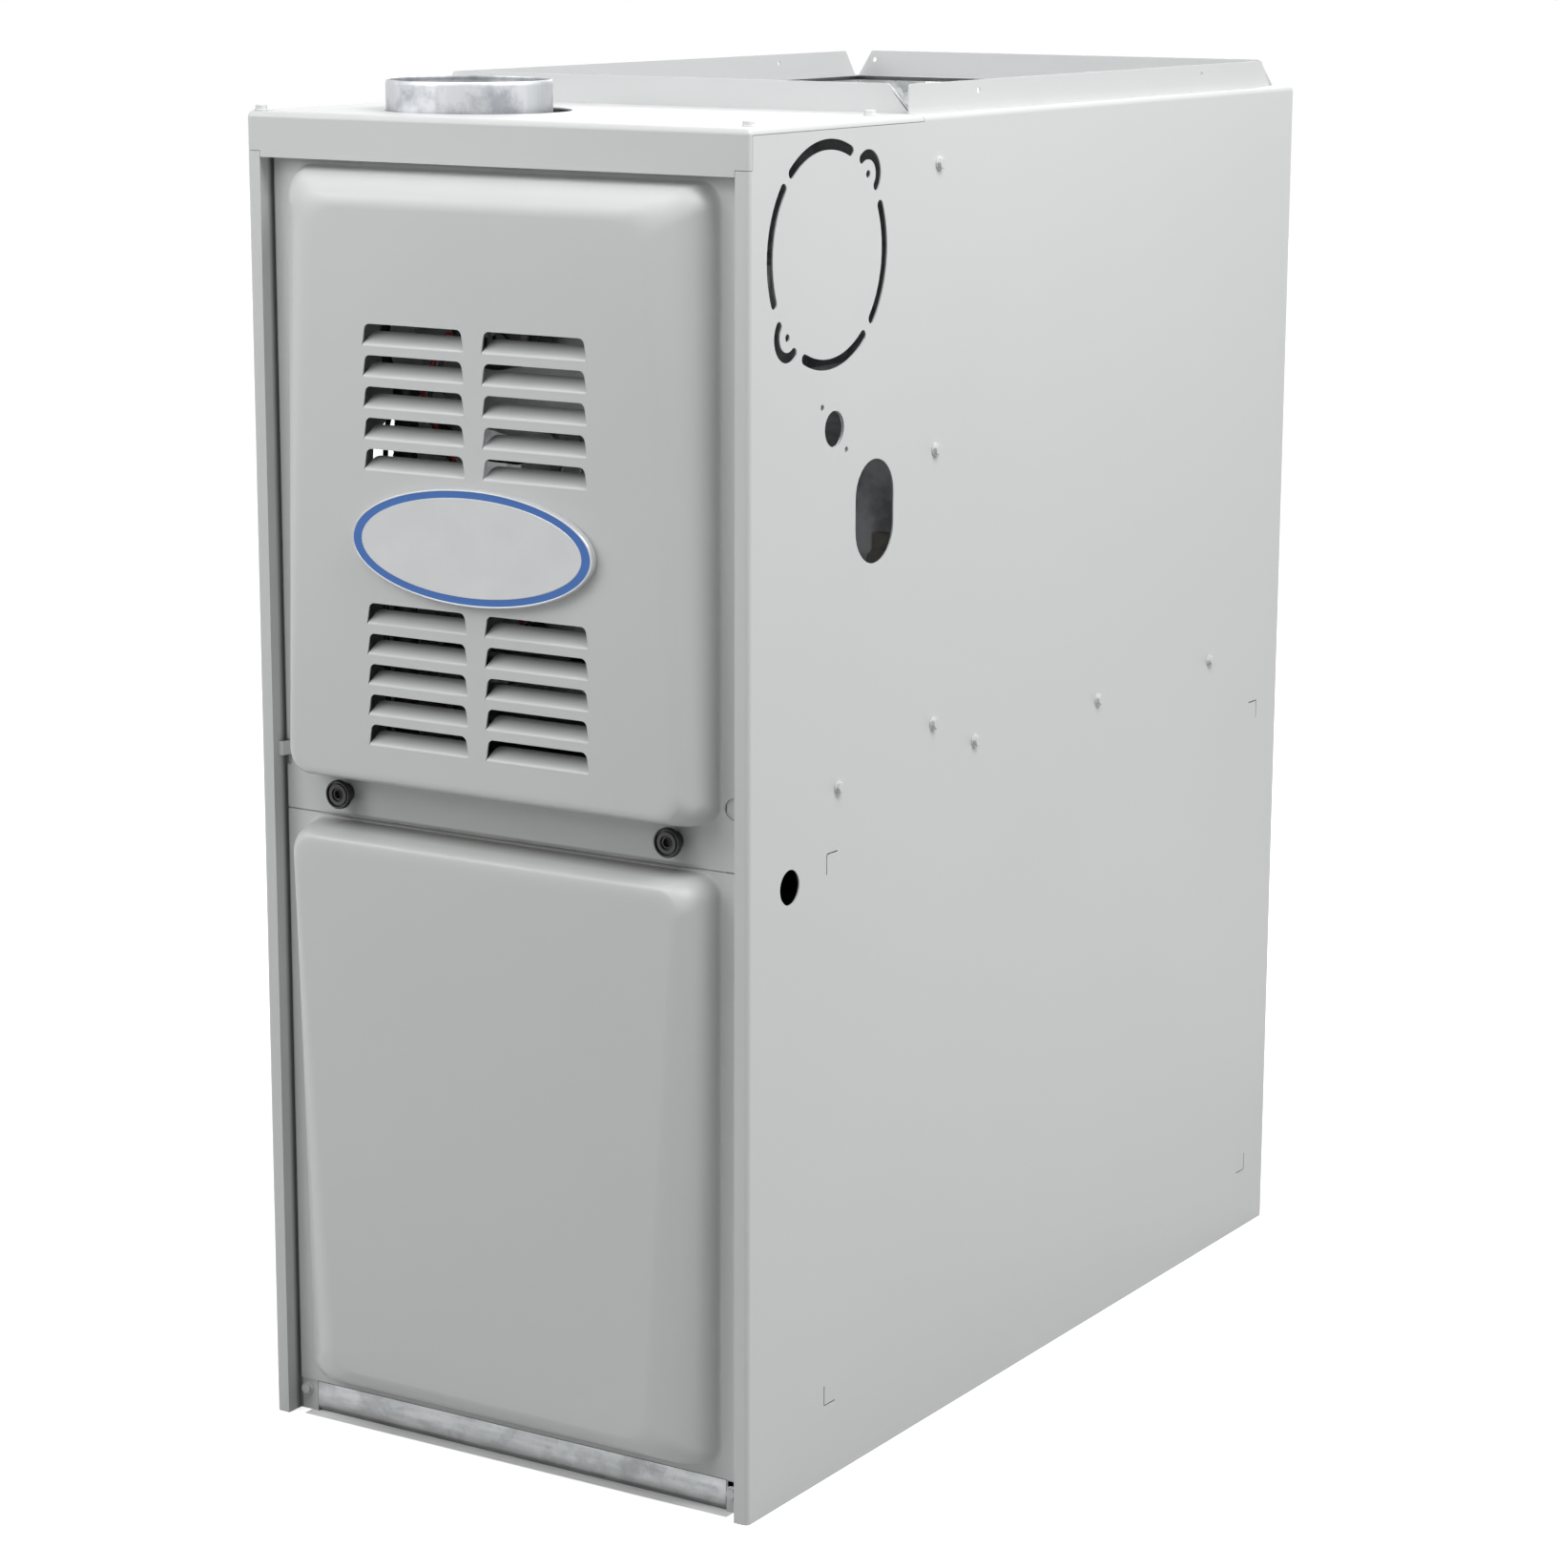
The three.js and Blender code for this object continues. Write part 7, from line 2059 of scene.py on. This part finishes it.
# %% Blower housing
BLOWER = (430.0, 205.0)
SCROLL = {"small": 140.0, "large": 190.0, "cutoff": 60.0, "top": 428.7}
HOUSING_X = (80.0, 288.0)
INLET_R, RAIL_W = 105.0, 16.0
OUTLET_BACK = BLOWER[0] + SCROLL["small"] * math.cos(math.radians(SCROLL["cutoff"]))


def scroll_line(inset, top, steps=64):
    """The scroll's outline in (y, z): a spiral from the cut-off, then the outlet."""
    sweep, line = SCROLL["cutoff"] + 180.0, []
    for k in range(steps + 1):
        share = k / steps
        a = math.radians(SCROLL["cutoff"] - sweep * share)
        r = SCROLL["small"] + (SCROLL["large"] - SCROLL["small"]) * share - inset
        line.append((BLOWER[0] + r * math.cos(a), BLOWER[1] + r * math.sin(a)))
    return line + [(BLOWER[0] - SCROLL["large"] + inset, top), (OUTLET_BACK - inset, top)]


def make_housing():
    x0, x1 = HOUSING_X
    shell = prism("scroll_housing", "x", scroll_line(0, SCROLL["top"]), x0, x1, "galvanised")
    hollow = prism("hollow", "x", scroll_line(SHEET, 460.0), x0 + SHEET, x1 - SHEET)
    eye = prism("eye", "x", arc(BLOWER, INLET_R + 2.0, 0, 357, 119), x0 - 9, x1 + 9)
    cut_away(shell, hollow, eye)
    rails = []
    for low, high in ((x0 - RAIL_W, x0 + 0.5), (x1 - 0.5, x1 + RAIL_W)):
        rails.append(block(
            "rail", (low, high), (BLOWER[0] - SCROLL["large"], OUTLET_BACK),
            (SCROLL["top"] - SHEET, SCROLL["top"])))
    add_to(shell, *rails)
    return soften(shell, 0.3, 2, 42, 38)


def make_inlet(side, x, way):
    """A rolled inlet: the sheet turns inwards round the eye. way is 1 where inwards is +x."""
    bend = [(INLET_R + 6.0 - 5.0 * math.sin(a), way * (0.2 + 4.6 * (1 - math.cos(a))))
            for a in (math.pi / 2 * k / 6 for k in range(7))]
    back = [(r + 1.0, d - way * 0.3) for r, d in reversed(bend)]
    lip = [(INLET_R + 8.0, way * -0.9)]
    profile = bend + back[:-1] + lip + [bend[0]]
    return smooth(turned(f"rolled_inlet_{side}", "x", (x, *BLOWER), profile, "galvanised", 96), 40)


stand_in(make_housing(), "blower_housing")
for side, x, way in (("left", HOUSING_X[0], 1), ("right", HOUSING_X[1], -1)):
    stand_in(make_inlet(side, x, way), "blower_housing")

# %% [markdown]
# ### Blower wheel
# Two rings and a disc hold the blades. One blade is an arc's section carried along the shaft, and
# the tree that repeats round an axis places forty of it.

# %% Blower wheel
WHEEL_X, WHEEL_R, WHEEL_DEPTH, WHEEL_HALF = 184.0, 120.0, 15.0, 95.0
BLADE_COUNT, BLADE_HALF = 40, 92.5


def make_wheel_frame():
    y, z = BLOWER
    inner, parts = WHEEL_R - WHEEL_DEPTH, []
    for low in (-WHEEL_HALF, WHEEL_HALF - 3.0):
        parts.append(turned("ring", "x", (WHEEL_X + low, y, z), [
            (inner, 0.3), (inner + 0.3, 0), (WHEEL_R - 0.4, 0), (WHEEL_R, 0.4), (WHEEL_R, 2.6),
            (WHEEL_R - 0.4, 3),
            (inner + 0.3, 3), (inner, 2.7), (inner, 0.3)], "galvanised", 96))
    parts.append(turned("disc", "x", (WHEEL_X, y, z), [
        (0, -32), (6, -32), (6.35, -31.6), (6.35, -6.0), (13, -5.4), (14, -4.4), (14, -1), (46, -1),
        (50, -2.2),
        (88, -2.2), (92, -1), (119, -1), (119, 1), (92.6, 1), (88.6, -0.2), (49.4, -0.2), (45.4, 1),
        (15.8, 1), (15.8, 9),
        (15.2, 9.8), (15.2, 29), (14.4, 30), (7, 30), (6.3, 29.2), (0, 29.2)], "galvanised", 96))
    return smooth(joined("wheel_rings", *parts), 35)


def make_blades():
    y, z = BLOWER
    inner, outer = WHEEL_R - WHEEL_DEPTH + 0.8, WHEEL_R - 0.9
    front = []
    for k in range(9):
        t = k / 8
        r = inner + (outer - inner) * t
        a = math.radians(5.6 * (1 - (1 - t) ** 1.6) - 1.2 * math.sin(math.pi * t))
        front.append((y + r * math.cos(a), z + r * math.sin(a)))
    back = []
    for k, (u, v) in enumerate(front):
        before, after = front[max(k - 1, 0)], front[min(k + 1, 8)]
        way = (Vector(after) - Vector(before)).normalized()
        back.append((u - way.y * 0.7, v + way.x * 0.7))
    ends = WHEEL_X - BLADE_HALF, WHEEL_X + BLADE_HALF
    blade = prism("wheel_blades", "x", front + back[::-1], *ends, "galvanised")
    return around(blade, "x", (WHEEL_X, y, z), BLADE_COUNT, "galvanised", 40)


for made in (make_wheel_frame(), make_blades()):
    stand_in(made, "blower_wheel")

# %% Blower motor and capacitor
def make_motor():
    y, z = BLOWER
    centre = (62.0, y, z)
    end = [(7.2, 0.9), (20.0, 0.6), (22.7, 0), (40, 1.6), (54, 4.0), (60, 6.0)]
    end += [(64.6, 9.4), (67.2, 13.4), (68, 17.0)]
    middle = [(68, 30.0), (67.4, 30.6), (67.4, 31.4), (68, 32.0)]
    far = [(r, 104.0 - d) for r, d in [*reversed(middle), *reversed(end[1:])]]
    profile = [(0, 2.4), (7.2, 2.4)] + end + middle + far + [(6.9, 104.0), (6.9, 84.2), (0, 84.2)]
    can = turned("blower_motor_can", "x", centre, profile, "motor_black", 72)
    for low, high in ((58.0, 67.0), (161.0, 170.0)):
        slot = [(y - 5.5, z + 34), (y + 5.5, z + 34), (y + 7.5, z + 52), (y - 7.5, z + 52)]
        slot = rounded(slot, 2.0, 3)
        cut_away(can, around(prism("vent", "x", slot, low, high), "x", centre, 8, "motor_black"))
    return smooth(can, 30)


def make_capacitor():
    x, y = 310.3, 300.0
    can = turned("capacitor_can", "z", (x, y, 300.0), [
        (0, 0.6), (20.6, 0.6), (21.2, 0), (22, 0.4), (22, 70.6), (22, 72.4), (21.4, 73.4),
        (20.6, 73.6), (20.2, 72.8),
        (19.4, 72.2), (0, 72.2)], "zinc", 56)
    band = turned("strap", "z", (x, y, 330.0), [
        (21.9, 0), (22.6, 0), (22.6, 14), (21.9, 14), (21.9, 0)], "galvanised", 56)
    feet = block("feet", (288.2, 289.2), (y - 30, y + 30), (330.0, 344.0), "galvanised")
    tops, seats = [], []
    for a in (x - 8.5, x + 8.5):
        tops.append(block("blade", (a - 3.1, a + 3.1), (y - 0.4, y + 0.4), (372.0, 380.0), "brass"))
        seats.append(turned("seat", "z", (a, y, 372.0), [
            (0, 0), (5, 0), (5, 2), (4.5, 2.6), (0, 2.6)], "black_plastic", 24))
    return smooth(joined("capacitor_in_strap", can, band, feet, *tops, *seats))


stand_in(make_motor(), "blower_motor")
stand_in(make_capacitor(), "blower_capacitor")

# %% [markdown]
# ### Behind the louvres
# The photograph shows a little through the louvres: a white card stuck on the collector box, red
# and black leads that come down from the inducer's motor, and a black loom at the left. The leads
# run to the left roll-out switch, and the loom stands on the shelf. The card is bare.

# %% Card, leads and loom
card_outline = rounded(rectangle(696.0, 754.0, 236.0, 300.0), 1.5, 4)
card = prism("bare_card", "y", card_outline, 109.9, 110.25, "white_card")
finish_piece(smooth(card, 40), "cabinet", "nameplate")
LEADS = {
    "wire_red": (0.0, [
        (143, 34, 705), (131, 29, 713), (119.6, 30, 697), (110, 30, 678), (118, 32, 657),
        (126, 52, 618),
        (130, 88, 560), (131, 104, 519.5),
    ]),
    "wire_black": (3.2, [
        (141, 38, 703), (128, 33, 706), (116, 34, 690), (108, 35, 668), (114, 38, 645),
        (124, 60, 606),
        (133, 92, 556), (134, 104, 519.5),
    ]),
}
for color, (shift, points) in LEADS.items():
    path = smooth_path([(x + shift, y, z) for x, y, z in points], 8)
    lead = tube(f"motor_lead_{color}", path, 1.3, color, 12)
    finish_piece(lead, "cabinet", "wiring")


def make_loom():
    """A corrugated tube: its radius swells and narrows along its path."""
    path = smooth_path([
        (80, 48, 430.2), (80, 48, 500), (81, 48, 580), (82, 48, 633), (83.5, 48, 655),
        (84, 47.5, 672),
    ], 40)
    row = 24
    loom = tube("loom", path, 7.6, "rubber", row)
    for k, vertex in enumerate(loom.data.vertices):
        here = at(*path[min(k // row, len(path) - 1)])
        swell = 1.0 + 0.045 * math.cos(2 * math.pi * (k // row) / 4)
        vertex.co = here + (vertex.co - here) * swell
    thin = smooth_path([
        (64, 50, 430.2), (64.6, 48, 560), (66.5, 48, 633), (69.2, 48, 654), (80, 47.5, 676),
    ], 10)
    top = turned("cap", "z", (84, 47.5, 671.0), [
        (0, 0), (8.6, 0), (8.8, 0.5), (8.8, 7.0), (7.0, 9.0), (0, 9.0)], "black_plastic", 32)
    return smooth(joined("loom_and_lead", loom, tube("thin", thin, 1.7, "wire_black", 12), top), 40)


finish_piece(make_loom(), "cabinet", "rubber")
